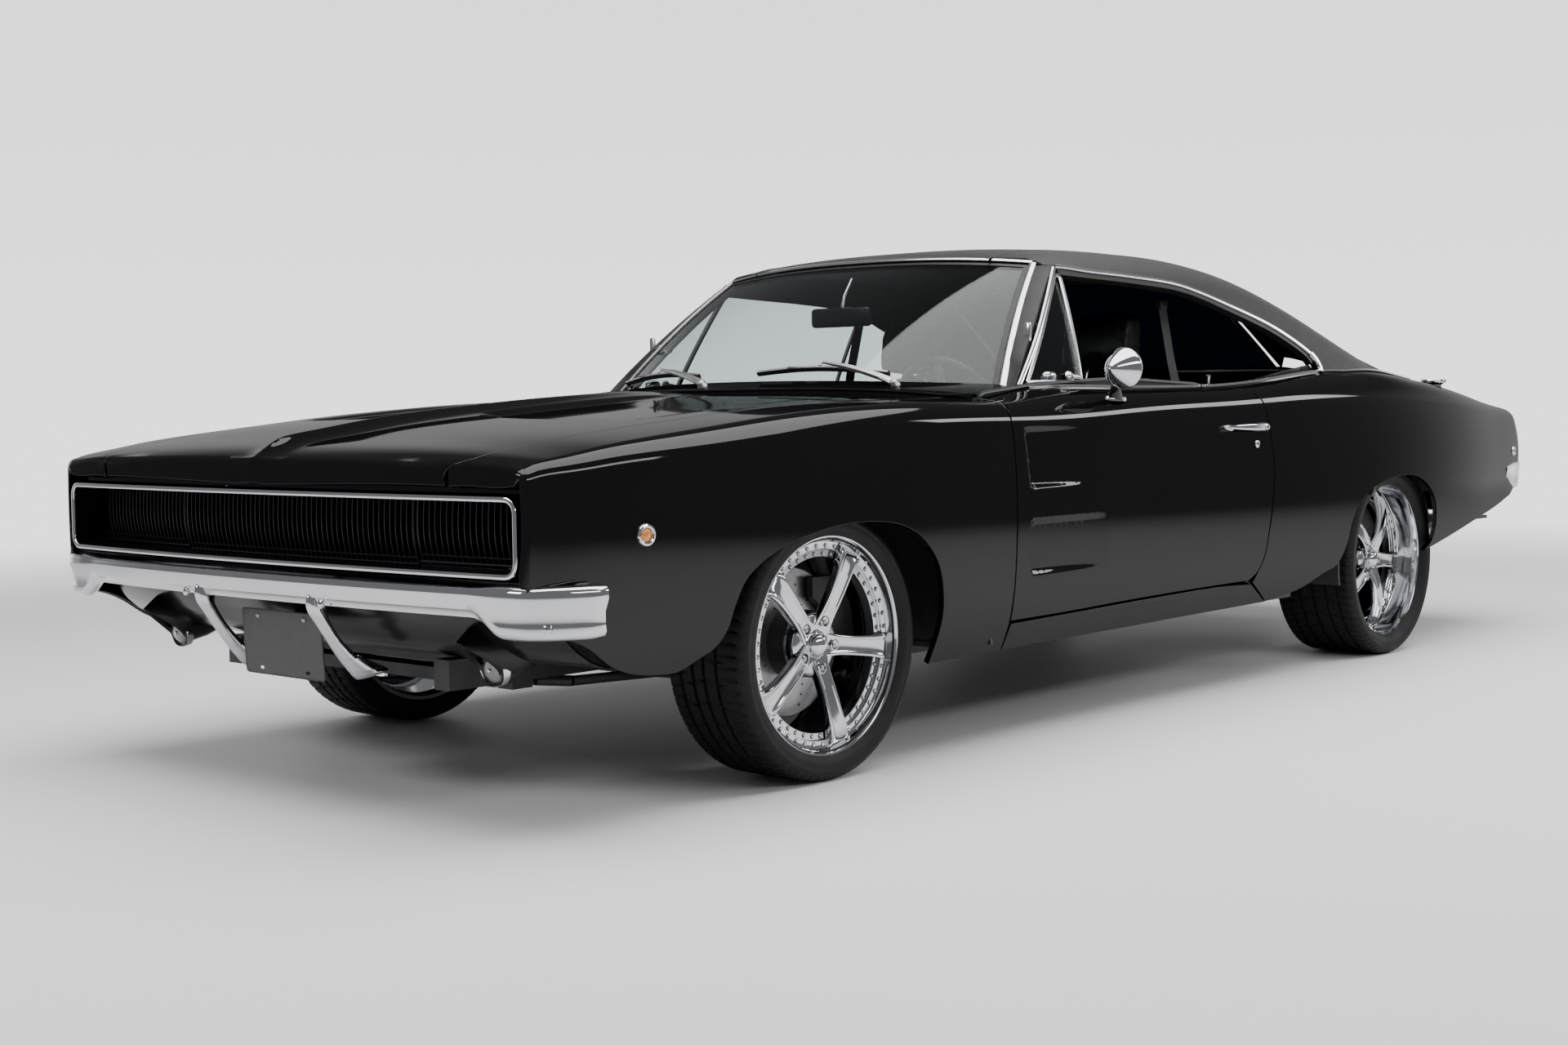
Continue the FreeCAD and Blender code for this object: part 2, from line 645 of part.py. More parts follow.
# trailing edge of the tail
tail_side = [(-2700, 1000), (-2590, 1000), (-2594, 835), (-2606, 790), (-2610, 700), (-2606, 640), (-2560, 560),
             (-2500, 490), (-2480, 400), (-2700, 400)]
quarter = quarter.cut(prism_xz(tail_side, 300, 1100))
# recess for the fuel cap
quarter = quarter.cut(cyl_between((-1868, 773, 860), (-1868, 773, 960), 52))
cup = cyl_between((-1868, 773, 868), (-1868, 773, 928), 60).cut(cyl_between((-1868, 773, 876), (-1868, 773, 960), 52))
quarter = join(quarter, cup.common(OUT))
put("quarter_left", quarter)

for n in ("front_fender", "door", "quarter"):
    put(n + "_right", mirror(NODES[n + "_left"]))

# ---- fuel cap, hinged at its inner edge
put("fuel_cap", join(cyl_between((-1868, 773, 906), (-1868, 773, 934), 34), cyl_between((-1868, 773, 932), (-1868, 773, 944), 46)))

# ---- trunk lid
lid_plan = [(TRUNK_FRONT_X - GAP, 0), (TRUNK_FRONT_X - GAP, 556)] + [(x, y - GAP) for x, y in deck_y[1:]] + [(-2583, 634), (-2583, 0)]
lid = SHELL_LID.common(prism_xy(lid_plan, 700, 1100))
lid = join(lid, mirror(lid)).removeSplitter()
put("trunk_lid", lid)

# ---------------------------------------------------------------- greenhouse
def rail_z(x):
    r = sorted(RAIL)
    if x <= r[0][0]:
        return r[0][1]
    if x >= r[-1][0]:
        return r[-1][1]
    for i in range(len(r) - 1):
        if r[i][0] <= x <= r[i + 1][0]:
            return mix(r[i][1], r[i + 1][1], (x - r[i][0]) / (r[i + 1][0] - r[i][0]))


def at_fraction(pts, v):
    """Point at a fraction of a section, by its running index."""
    t = v * (len(pts) - 1)
    i = min(int(t), len(pts) - 2)
    f = t - i
    return (mix(pts[i][0], pts[i + 1][0], f), mix(pts[i][1], pts[i + 1][1], f))


ROOF_REAR_X = -645.0


RAIL_CURVE = spline([(425, 1257), (228, 1254), (6, 1247), (-230, 1233), (-340, 1213), (-468, 1180), (-705, 1107)])


def green_at(x, s, z_low):
    """Point of the greenhouse section: s 0..1 over the roof, 1..2 round its edge, 2..3 down the side."""
    y = 640.0
    for k in range(30):
        y = green_y(x, roof_z(x, y))
    zc = roof_z(x, y)
    r = min(70.0, zc - z_low - 4.0)
    ya, zb = y - r, zc - r
    za, yb = roof_z(x, y - r), green_y(x, zc - r)
    if s <= 1.0:
        return (ya * s, roof_z(x, ya * s))
    if s >= 2.0:
        z = mix(zb, z_low, s - 2.0)
        return (green_y(x, z), z)
    ta = (2.0, roof_z(x, ya + 1.0) - roof_z(x, ya - 1.0))
    tb = (green_y(x, zb - 1.0) - green_y(x, zb + 1.0), -2.0)
    la, lb, k, t = math.hypot(*ta), math.hypot(*tb), 0.5 * r, s - 1.0
    c1 = (ya + ta[0] / la * k, za + ta[1] / la * k)
    c2 = (yb - tb[0] / lb * k, zb - tb[1] / lb * k)
    a, b, c, d = (1 - t) ** 3, 3 * t * (1 - t) ** 2, 3 * t * t * (1 - t), t ** 3
    return (a * ya + b * c1[0] + c * c2[0] + d * yb, a * za + b * c1[1] + c * c2[1] + d * zb)


def roof_fn(u, v):
    a = abs(v)
    x, y, z = 0.0, a * 300.0, 0.0
    for k in range(4):
        xf = 476.0 - 66.0 * min(abs(y) / 583.0, 1.13) ** 2.3
        x = mix(xf, ROOF_REAR_X, u)
        y, z = green_at(x, a, RAIL_CURVE(x))
    return (x, y if v >= 0 else -y, z)


half = span(0.0, 1.0, 10) + [1.5, 2.0, 2.5, 3.0]
roof = slab(roof_fn, span(0, 1, 20), [-h for h in half[:0:-1]] + half, -26.0)

# sail panels: solid fins behind the side windows
SAIL_IN = [(-560, 526), (-645, 530), (-1125, 568), (-1560, 574), (-1700, 618), (-1740, 650)]
GV = half_solid(span(-1760.0, -520.0, 27), lambda x: green_section(x, nt=8, nf=5, ns=5, z_low=760.0), 760.0)
sail_side = [(ROOF_REAR_X - 0.5, 1400), (ROOF_REAR_X - 0.5, rail_z(ROOF_REAR_X)), (-705, 1107), (-860, 1030), (-893, 1000), (-896, 982),
             (-896, 880), (-1735, 880), (-1735, 1400)]
sail = GV.common(prism_xz(sail_side, 300, 1000))
sail = sail.common(prism_xy(SAIL_IN + [(-1740, 1000), (-560, 1000)], 800, 1500))
sail = sail.cut(OUT.common(prism_xy([(-500, 770), (-1556, 770), (-1556, 400), (-1800, 400), (-1800, 1000), (-500, 1000)], 200, 1200)))

# windshield pillars
p_secs = []
for k in range(7):
    w = mix(-0.09, 0.895, k / 6.0)
    a = ws_point(1.0, w)
    cx = mix(785.0, 388.0, max(0.0, w)) + (20 * min(0.0, w) / -0.09 if w < 0 else 0)
    z = a[2]
    c = (cx, green_y(cx, z), z)
    a = (a[0] + 2, a[1] + 3, z)
    p_secs.append([a, c, (c[0] - 32, c[1] - 36, z), (a[0] - 44, a[1] - 14, z)])
pillar = ruled(p_secs)
put("roof", roof)
put("roof_pillars", Part.makeCompound([sail, mirror(sail), pillar, mirror(pillar)]))

put("windshield", slab(ws_point, span(-1, 1, 16), span(0, 1, 8), 6.0))
put("rear_window", slab(rw_point, span(-0.985, 0.985, 12), span(0.0, 0.985, 8), 5.0))


def deck_fn(u, v):
    y = v * mix(563.0, 570.0, u)
    t = y / 563.0
    xa, za = -1124.0 + 30.0 * t * t, 984.0 - 4 * t * t
    xb, zb = TRUNK_FRONT_X, top_z(TRUNK_FRONT_X, y)
    return (mix(xa, xb, u), y, mix(za, zb, u) - 3.0 * 4 * u * (1 - u))


deck = slab(deck_fn, span(0, 1, 10), span(-1, 1, 12), -14.0)
put("deck_panel", deck)

# ---- side glass: thin skin on the side surface
def side_glass(outline, t=5.0):
    def fn(u, v):
        x, z = mix(860.0, -930.0, u), mix(924.0, 1262.0, v)
        return (x, green_y(x, z) - 2.0, z)
    g = slab(fn, span(0, 1, 26), span(0, 1, 10), t)
    if g.BoundBox.YMax > 835:
        g = slab(fn, span(0, 1, 26), span(0, 1, 10), -t)
    return g.common(prism_xz(outline, 500, 1000))


VENT = [(728, 929), (402, 1236), (372, 1240), (470, 929)]
vent = side_glass(VENT, 8.0)
vent_in = side_glass([(706, 942), (408, 1216), (398, 1216), (482, 942)], 30.0)
frame_v = vent.cut(vent_in.fuse(mirror(vent_in)))
vent_glass = side_glass([(706, 942), (408, 1216), (398, 1216), (482, 942)], 5.0)
vent_all = join(frame_v, vent_glass)
# foot of the frame, down to the door's sill
foot = prism_xz([(728, 905), (728, 930), (462, 930), (462, 905)], 789.0, 797.0)
vent_all = join(vent_all, foot.cut(NODES["door_left"]))
put("vent_window_left", vent_all)
DOOR_GLASS = [(460, 926), (366, 1236), (228, 1249), (6, 1242), (-230, 1229), (-325, 1211), (-352, 1195), (-340, 926)]
QUARTER_GLASS = [(-347, 926), (-359, 1189), (-468, 1174), (-700, 1101), (-850, 1027), (-884, 998), (-886, 985), (-700, 966), (-540, 946)]
put("door_glass_right", Part.makeCompound([mirror(side_glass(DOOR_GLASS)), mirror(vent_all)]))
put("quarter_glass_right", mirror(side_glass(QUARTER_GLASS)))

# ---- cowl: panel between hood and windshield, firewall and kick panels
def cowl_fn(u, v):
    y = v * 786.0
    t = min(1.0, abs(y) / 732.0)
    b = ws_base(t)
    xa, za = b[0] + 3.0, b[2] - 2.0
    if abs(y) > 732:
        xa, za = b[0] + 3.0, mix(b[2] - 2.0, 905.0, (abs(y) - 732) / 54.0)
    xb, zb = HOOD_REAR_X - GAP, top_z(HOOD_REAR_X - GAP, y)
    if abs(y) > 738:
        zb = top_z(HOOD_REAR_X, 738.0)
    return (mix(xa, xb, u), y, mix(za, zb, u) - 9.0 * 4 * u * (1 - u))


cowl = slab(cowl_fn, span(0, 1, 8), span(-1, 1, 24), -10.0)
cowl = cowl.cut(NODES["front_fender_left"]).cut(NODES["front_fender_right"])
cowl = cowl.cut(box(985, 1100, 739, 900, 800, 1000)).cut(box(985, 1100, -900, -739, 800, 1000))
fire = box(1000, 1012, -772, 772, 256, 880)
kick = prism_xz([(1012, 256), (1012, 880), (990, 896), (800, 910), (735, 900), (760, 860), (900, 700), (900, 256)], 770, 786)
kick = kick.cut(cowl)
fire = fire.cut(cowl).cut(cyl_x(0, 300, 75, 990, 1030))
fire = fire.cut(box(990, 1020, 371, 425, 178, 332)).cut(box(990, 1020, -425, -371, 178, 332))
kick = kick.cut(NODES["front_fender_left"]).cut(NODES["rockers"])
cowl_all = join(cowl, fire, kick, mirror(kick))
cowl_all = cowl_all.cut(NODES["roof_pillars"])
put("cowl", cowl_all)

# ---- floor: front pans, tunnel, kick-up, shelf bulkhead and trunk floor
floor = box(-770, 998, -778, 778, 236, 250)
floor = floor.cut(box(-790, 1100, -118, 118, 200, 260))
tun = box(-770, 998, -130, 130, 236, 420).cut(box(-790, 1100, -118, 118, 200, 408))
tun = tun.cut(prism_xz([(-800, 350), (200, 350), (700, 420), (700, 500), (-800, 500)], -200, 200))
lidt = prism_xz([(-770, 338), (205, 338), (705, 408), (998, 408), (998, 420), (700, 420), (200, 350), (-770, 350)], -130, 130)
floor = join(floor, tun, lidt)
floor = join(floor, box(-782, -770, -556, 556, 236, 500), box(-1760, -770, -556, 556, 488, 500),
             box(-1772, -1760, -556, 556, 402, 500), box(-2548, -1772, -700, 700, 402, 414))
floor = join(floor, box(-1012, -1000, -556, 556, 500, 900), box(-1115, -1000, -556, 556, 900, 910))
floor = floor.cut(box(-790, -765, -118, 118, 200, 338))
for s in (-1, 1):
    floor = floor.cut(box(-806, -714, min(s * 440, s * 514), max(s * 440, s * 514), 249.9, 294))
    floor = floor.cut(box(-1792, -1736, min(s * 371, s * 425), max(s * 371, s * 425), 340, 472))
put("floor_pan", floor)

# ---- rear wheelhouses
wh = cyl_y(REAR_AXLE_X, 330, 366, 559, 928).cut(cyl_y(REAR_AXLE_X, 330, 354, 571, 940))
wh = wh.common(box(-1800, -900, 500, 960, 262, 720))
low = cyl_y(REAR_AXLE_X, 330, 90, 500, 600)
wh = wh.cut(low).cut(box(REAR_AXLE_X - 90, REAR_AXLE_X + 90, 500, 600, 200, 330))
wh = wh.common(INN)

# ---- inner fenders: apron and shelf over the front wheels
apr = prism_xz([(1018, 300), (1018, 860), (1300, 862), (1900, 830), (2240, 795), (2240, 420), (2080, 330), (1018, 300)][:-1], 428, 440)
apr = apr.cut(box(1560, 1740, 400, 460, 200, 420))
shelf = box(1230, 2090, 440, 900, 700, 712)
inn = join(apr, shelf).cut(NODES["front_fender_left"])
inn = inn.common(INN)
put("wheel_housings", Part.makeCompound([inn, mirror(inn), wh, mirror(wh)]))

# ---- chassis rails, crossmember, engine cradle
rail = join(box(1000, 2420, 372, 424, 262, 330), box(-700, 1052, 372, 424, 180, 235), box(1000, 1052, 372, 424, 180, 300))
rail = join(rail, prism_xz([(-690, 182), (-690, 235), (-788, 235), (-788, 480), (-1750, 480), (-1750, 430), (-850, 430), (-850, 182)],
                           372, 424))
rail = join(rail, box(-2540, -1782, 372, 424, 346, 400))
rail = join(rail, box(-1790, -1738, 372, 424, 346, 470))
cross = [box(1570, 1730, -424, 424, 215, 262), box(2240, 2300, -372, 372, 300, 330),
         join(box(2180, 2240, -372, 372, 245, 275), box(2180, 2240, -424, 424, 245, 262))]
put("chassis_rails", Part.makeCompound([rail, mirror(rail)] + cross))

# ---- radiator, engine, gearbox with driveshaft
rad = join(box(2200, 2236, -340, 340, 345, 745), box(2190, 2238, -360, 360, 745, 765), box(2190, 2238, -360, 360, 331, 345))
put("radiator", rad)
eng = join(box(1190, 1800, -150, 150, 265, 640), prism_xz([(1220, 560), (1220, 720), (1780, 720), (1780, 560)], -255, 255),
           Part.makeCylinder(170, 64, V(1500, 0, 718)), box(1800, 1900, -90, 90, 420, 560))
eng = eng.cut(box(1560, 1740, -160, 160, 200, 272))
gear = join(cyl_x(0, 330, 110, 1020, 1195), cyl_x(0, 300, 72, 640, 1020), cyl_x(0, 290, 42, -1170, 640).cut(box(-1200, -400, -60, 60, 400, 500)))
put("engine_driveline", join(eng, gear))

# ---- rear axle with leaf springs and dampers
ax = cyl_y(REAR_AXLE_X, REAR_TYRE_R, 38, -600, 600)
ax = join(ax, cyl_x(0, REAR_TYRE_R, 128, REAR_AXLE_X - 90, REAR_AXLE_X + 90), cyl_x(0, 305, 55, REAR_AXLE_X + 80, REAR_AXLE_X + 150))
leaf = prism_xz([(-760, 262), (-1050, 268), (-1330, 262), (-1620, 278), (-1900, 322), (-1900, 336), (-1620, 294), (-1330, 284),
                 (-1050, 284), (-760, 276)], 446, 508)
leaf = join(leaf, box(-800, -720, 446, 508, 250, 288), box(-1930, -1880, 446, 508, 318, 399))
leaf = join(leaf, box(REAR_AXLE_X - 45, REAR_AXLE_X + 45, 446, 508, 276, 312))
ax = join(ax, leaf, mirror(leaf))
stub = cyl_y(REAR_AXLE_X, REAR_TYRE_R, 19, 595, 745)
cal = cyl_y(REAR_AXLE_X, REAR_TYRE_R, 208, 640, 720).cut(cyl_y(REAR_AXLE_X, REAR_TYRE_R, 120, 630, 730))
cal = cal.common(box(REAR_AXLE_X - 60 - 150, REAR_AXLE_X - 60, 600, 760, REAR_TYRE_R + 20, REAR_TYRE_R + 190))
cal = cal.cut(cyl_y(REAR_AXLE_X, REAR_TYRE_R, 186, 658, 702))
brk = cyl_y(REAR_AXLE_X, REAR_TYRE_R, 150, 600, 612).common(box(REAR_AXLE_X - 150, REAR_AXLE_X + 60, 500, 700, REAR_TYRE_R - 60, REAR_TYRE_R + 170))
brk = join(brk, cyl_y(REAR_AXLE_X - 100, REAR_TYRE_R + 85, 26, 600, 645))
half = join(stub, cal, brk)
put("rear_axle", join(ax, half, mirror(half)))

# ---- front suspension
arm = loft([[(1646 - 120, 425, 226), (1646 - 120, 425, 250), (1646 + 150, 425, 250), (1646 + 150, 425, 226)],
            [(1646 - 34, 630, 214), (1646 - 34, 630, 236), (1646 + 34, 630, 236), (1646 + 34, 630, 214)]])
upp = loft([[(1646 - 80, 441, 476), (1646 - 80, 441, 498), (1646 + 80, 441, 498), (1646 + 80, 441, 476)],
            [(1646 - 26, 622, 456), (1646 - 26, 622, 474), (1646 + 26, 622, 474), (1646 + 26, 622, 456)]])
damp = cyl_between((1646, 500, 252), (1646, 452, 640), 24)
arm = join(arm, box(1646 - 120, 1646 + 150, 372, 426, 226, 250).cut(NODES["chassis_rails"]))
fs = join(arm, damp.cut(NODES["wheel_housings"]), upp)
bar = join(cyl_y(2120, 250, 13, -372, 372), cyl_between((2120, 372, 250), (2060, 425, 246), 13), cyl_between((2060, 425, 246), (1720, 500, 246), 12))
bar = join(bar, cyl_between((2120, -372, 250), (2060, -425, 246), 13), cyl_between((2060, -425, 246), (1720, -500, 246), 12))
bar = bar.cut(NODES["chassis_rails"])
fs = join(fs, mirror(fs), bar)
put("front_suspension", fs)

# ---- exhaust, fuel tank
pipe = join(cyl_between((1180, 230, 300), (1040, 250, 204), 30), cyl_between((1040, 250, 204), (-200, 250, 204), 30),
            Part.makeSphere(30, V(1040, 250, 204)))
muf = Part.makeCylinder(60, 520, V(-700, 250, 172), V(1, 0, 0))
tail = join(cyl_between((-700, 250, 172), (-1700, 400, 205), 26), cyl_between((-1700, 400, 205), (-2560, 560, 300), 28),
            Part.makeSphere(28, V(-1700, 400, 205)))
ex = join(pipe, muf, tail).cut(NODES["chassis_rails"]).cut(NODES["rear_axle"])
put("exhaust", both(max(ex.Solids, key=lambda s: s.Volume)))
tank = box(-2400, -1850, -330, 330, 250, 400)
tank = tank.makeFillet(24, tank.Edges)
put("fuel_tank", tank)

# ---- tail: recessed panel, round lamps, bumper, lower valance
tp = prism_yz([(-742, 655), (-742, 786), (742, 786), (742, 655)], -2572, -2552)
for y in (330, 560):
    for s in (-1, 1):
        tp = tp.cut(cyl_x(s * y, 727, 66, -2600, -2500))
flank = prism_xz([(-2552, 640), (-2552, 820), (-2600, 815), (-2600, 640)], 742, 756)
tp = join(tp, flank, mirror(flank), prism_yz([(-756, 640), (-756, 655), (756, 655), (756, 640)], -2600, -2552))
tp = tp.cut(NODES["quarter_left"]).cut(NODES["quarter_right"]).cut(NODES["trunk_lid"])
put("tail_panel", tp)
tl = []
for y in (330, 560):
    tl.append(cyl_x(y, 727, 65.6, -2590, -2520))
put("taillights", both(Part.makeCompound(tl)))


def bumper_rear():
    path = []
    for y in (0, 200, 400, 560, 680, 740, 780, 804, 818):
        t = y / 818.0
        x = -2641.5 + 10.0 * t ** 2
        if y > 740:
            x += 60.0 * ((y - 740) / 78.0) ** 2.0
        path.append((x, y))
    path += [(-2540.0, 827.0), (-2440.0, 838.0), (-2360.0, 850.0)]
    out = []
    n = len(path)
    for i, (x, y) in enumerate(path):
        a = path[max(0, i - 1)]
        b = path[min(n - 1, i + 1)]
        tx, ty = b[0] - a[0], b[1] - a[1]
        if i == 0:
            tx, ty = 0.0, 1.0
        l = math.hypot(tx, ty)
        nx, ny = -ty / l, tx / l
        zt, zb = 632.0, 520.0
        if x > -2560:
            zb = mix(520.0, 560.0, min(1.0, (x + 2560) / 200.0))
            zt = mix(632.0, 610.0, min(1.0, (x + 2560) / 200.0))
        prof = [(-22, zt - 5), (-8, zt), (-1, zt - 12), (0, mix(zt, zb, 0.45)), (-10, zb + 14), (-20, zb), (-30, zb + 8), (-28, mix(zt, zb, 0.5))]
        out.append([(x + nx * p, y + ny * p, z) for p, z in prof])
    return out


rb = ruled(bumper_rear())
rb = rb.cut(NODES["quarter_left"])
rb = max(rb.Solids, key=lambda s: s.Volume)
put("rear_bumper", join(rb, mirror(rb)))
rv = prism_xz([(-2590, 515), (-2560, 515), (-2520, 440), (-2530, 425), (-2560, 430), (-2600, 505)], -770, 770)
rv = join(rv, box(-2594, -2560, -112, 112, 464, 496))
rv = rv.cut(NODES["quarter_left"]).cut(NODES["quarter_right"]).cut(NODES["exhaust"])
for sy in (-1, 1):
    rv = rv.cut(cyl_x(sy * PLATE_PITCH_Y / 2, 480, PLATE_HOLE_R, -2700, -2500))
rv = rv.cut(NODES["floor_pan"]).cut(NODES["chassis_rails"])
put("rear_valance", rv)

# ---- interior
dash = prism_xz([(900, 902), (785, 908), (650, 893), (604, 868), (590, 800), (640, 690), (700, 660), (760, 660), (790, 860), (900, 880)], -764, 764)
dash = dash.cut(NODES["cowl"]).cut(NODES["windshield"]).cut(NODES["roof_pillars"])
dash = dash.cut(box(760, 966, 588, 790, 886, 930)).cut(box(760, 966, -790, -588, 886, 930))
dash = join(dash, box(620, 700, 230, 480, 855, 905).cut(NODES["cowl"]))
col = cyl_between((531, 360, 826.5), (760, 360, 719), 22)
dash = join(dash, col)
put("dashboard", dash)


def seat(yc):
    c = prism_xz([(-190, 262), (-190, 430), (180, 470), (330, 460), (345, 400), (300, 262)], yc - 240, yc + 240)
    b = prism_xz([(-190, 430), (-60, 440), (-205, 960), (-235, 975), (-330, 940)], yc - 235, yc + 235)
    h = prism_xz([(-240, 965), (-210, 968), (-240, 1150), (-300, 1165), (-345, 1140), (-325, 950)], yc - 130, yc + 130)
    return join(c, b, h)


put("front_seats", both(seat(372)))
rs = prism_xz([(-768, 252), (-768, 440), (-560, 470), (-430, 455), (-420, 252)], -540, 540)
rs = rs.cut(box(-790, -400, -132, 132, 240, 352)).cut(box(-806, -714, 438, 516, 240, 296)).cut(box(-806, -714, -516, -438, 240, 296))
rb2 = prism_xz([(-770, 502), (-850, 505), (-990, 880), (-900, 893), (-860, 860), (-745, 500), (-740, 450), (-768, 445)], -545, 545)
put("rear_seat", join(rs, rb2))
# ---- wipers, parked along the foot of the glass
wip = []
for py, ty in ((485.0, -20.0), (-170.0, -600.0)):
    a = ws_point(py / 732.0, 0.0)
    pv = (a[0] + 26, py, a[2] - 14)
    mid = ws_point(mix(py, ty, 0.42) / 732.0, 0.13)
    e0 = ws_point(mix(py, ty, 0.10) / 732.0, 0.07)
    e1 = ws_point(ty / 732.0, 0.05)
    off = (10, 0, 14)
    mid = tuple(m + o for m, o in zip(mid, off))
    e0 = tuple(m + o for m, o in zip(e0, off))
    e1 = tuple(m + o for m, o in zip(e1, off))
    w = join(cyl_between((pv[0] - 6, pv[1], pv[2] - 12), (pv[0] + 4, pv[1], pv[2] + 16), 13), cyl_between(pv, mid, 6), cyl_between(e0, e1, 5.5),
             Part.makeSphere(7, V(*mid)), Part.makeSphere(8, V(*pv)))
    w = w.cut(NODES["cowl"]).cut(NODES["windshield"])
    wip.append(max(w.Solids, key=lambda s: s.Volume))
put("wipers", Part.makeCompound(wip))

# ---- door furniture
hx0, hx1, hz = -345.0, -95.0, 795.0
hy = 912.0
h = join(box(hx0, hx1, hy + 20, hy + 32, hz - 8, hz + 8), box(hx0, hx0 + 60, hy - 20, hy + 24, hz - 12, hz + 12),
         box(hx1 - 40, hx1, hy - 20, hy + 24, hz - 10, hz + 10))
h = h.cut(NODES["door_left"])
h = max(h.Solids, key=lambda s: s.Volume)
put("door_handle_right", mirror(h))
mc = (500.0, 932.0, 967.0)
m = Part.makeCone(57, 10, 74, V(mc[0] - 12, mc[1], mc[2]), V(1, 0, 0))
m = join(m, cyl_between((mc[0] - 20, mc[1], mc[2]), (mc[0] - 12, mc[1], mc[2]), 57))
m = join(m, cyl_between((mc[0] + 10, mc[1], mc[2] - 20), (430, 872, 892), 8), cyl_between((430, 872, 885), (430, 874, 904), 22))
m = m.cut(NODES["door_left"])
put("door_fittings_left", Part.makeCompound([h, max(m.Solids, key=lambda s: s.Volume)]))

# ---------------------------------------------------------------- wheels
def tyre(x, z, r, y0, y1):
    p = [(251, y0 + 23), (251, y1 - 23), (263, y1 - 11), (285, y1), (r - 20, y1 - 1), (r - 6, y1 - 11), (r, y1 - 30),
         (r, y0 + 30), (r - 6, y0 + 11), (r - 20, y0 + 1), (285, y0), (263, y0 + 11)]
    return revolve_y(p, x, z)


def rim(x, z, y0, y1, y_hub, disc_y, disc_r):
    p = [(250, y0 + 24), (250, y1 - 24), (258.5, y1 - 15), (258.5, y1 - 9), (240, y1 - 9), (240, y0 + 9), (258.5, y0 + 9), (258.5, y0 + 15)]
    s = revolve_y(p, x, z)
    hub = cyl_y(x, z, 78, y_hub - 40, y_hub)
    s = join(s, hub)
    for k in range(5):
        a = math.radians(180 + 72 * k)
        sp = loft([[(55, y_hub - 34, -34), (55, y_hub, -34), (55, y_hub, 34), (55, y_hub - 34, 34)],
                   [(243, y1 - 58, -25), (243, y1 - 26, -25), (243, y1 - 26, 25), (243, y1 - 58, 25)]])
        sp.rotate(V(0, 0, 0), V(0, 1, 0), math.degrees(a))
        sp.translate(V(x, 0, z))
        s = join(s, sp)
    s = join(s, cyl_y(x, z, disc_r, disc_y - 14, disc_y + 14), cyl_y(x, z, 82, disc_y, y_hub - 38))
    s = s.cut(cyl_y(x, z, 25, disc_y - 60, y_hub - 20))
    for k in range(5):
        a = math.radians(180 + 72 * k)
        s = s.cut(cyl_y(x + RIM_PCD / 2 * math.cos(a), z + RIM_PCD / 2 * math.sin(a), 8, y_hub - 24, y_hub + 10))
    return s


for end, ax_x, r, (y0, y1), yh, dy, dr in (("front", FRONT_AXLE_X, FRONT_TYRE_R, FRONT_TYRE_Y, 822, 716, 178),
                                           ("rear", REAR_AXLE_X, REAR_TYRE_R, REAR_TYRE_Y, 796, 680, 175)):
    t = tyre(ax_x, r, r, y0, y1)
    w = rim(ax_x, r, y0, y1, yh, dy, dr)
    put("tyre_%s_left" % end, t)
    put("rim_%s_left" % end, w)
    put("tyre_%s_right" % end, mirror(t))
    put("rim_%s_right" % end, mirror(w))

# ---- steering knuckles with their callipers
kn = box(FRONT_AXLE_X - 34, FRONT_AXLE_X + 34, 655, 690, 200, 480)
kn = join(kn, cyl_y(FRONT_AXLE_X, FRONT_TYRE_R, 45, 655, 694), cyl_y(FRONT_AXLE_X, FRONT_TYRE_R, 19, 690, 785))
cl = cyl_y(FRONT_AXLE_X, FRONT_TYRE_R, 212, 676, 756).cut(cyl_y(FRONT_AXLE_X, FRONT_TYRE_R, 118, 670, 760))
cl = cl.common(box(FRONT_AXLE_X - 220, FRONT_AXLE_X - 60, 600, 780, FRONT_TYRE_R - 40, FRONT_TYRE_R + 150))
cl = cl.cut(cyl_y(FRONT_AXLE_X, FRONT_TYRE_R, 188, 694, 738))
kn = join(kn, box(FRONT_AXLE_X - 150, FRONT_AXLE_X - 20, 660, 682, FRONT_TYRE_R + 20, FRONT_TYRE_R + 80), cl)
put("knuckle_left", kn)
put("knuckle_right", mirror(kn))

# ---- steering wheel on a sloping column
def wheel_steer():
    c = V(500, 360, 841)
    d = V(500 - 760, 0, 841 - 719)
    d.normalize()
    ringw = Part.makeTorus(176, 13, c, d)
    hubw = Part.makeCylinder(34, 30, c - d * 26, d)
    s = hubw
    side = V(0, 1, 0)
    up = d.cross(side)
    for ang in (20, 160, 270):
        a = math.radians(ang)
        e = c + (side * math.cos(a) + up * (math.sin(a))) * 176
        s = s.fuse(Part.makeCylinder(9, (e - (c - d * 10)).Length, c - d * 10, e - (c - d * 10)))
    return ringw.fuse(s)


put("steering_wheel", wheel_steer())

# ---- neighbours trimmed to each other
for a, b in (("front_bumper", "front_fender_left"), ("front_bumper", "front_fender_right"), ("wheel_housings", "quarter_left"),
             ("wheel_housings", "quarter_right"), ("roof_pillars", "roof"), ("front_valance", "front_lamps"), ("front_valance", "licence_plate"),
             ("cowl", "front_fender_left"), ("cowl", "front_fender_right"), ("cowl", "rockers"), ("cowl", "engine_driveline"),
             ("cowl", "dashboard"), ("exhaust", "floor_pan"), ("exhaust", "chassis_rails"), ("floor_pan", "engine_driveline"),
             ("radiator", "chassis_rails")):
    NODES[a] = trimmed(NODES[a], NODES[b])

os.makedirs("parts", exist_ok=True)
for name in sorted(NODES):
    NODES[name].exportStep("parts/" + name + ".step")
    s = NODES[name]
    print(name, len(s.Solids), "valid" if s.isValid() else "INVALID", "%.0f cm3" % (s.Volume / 1000.0))
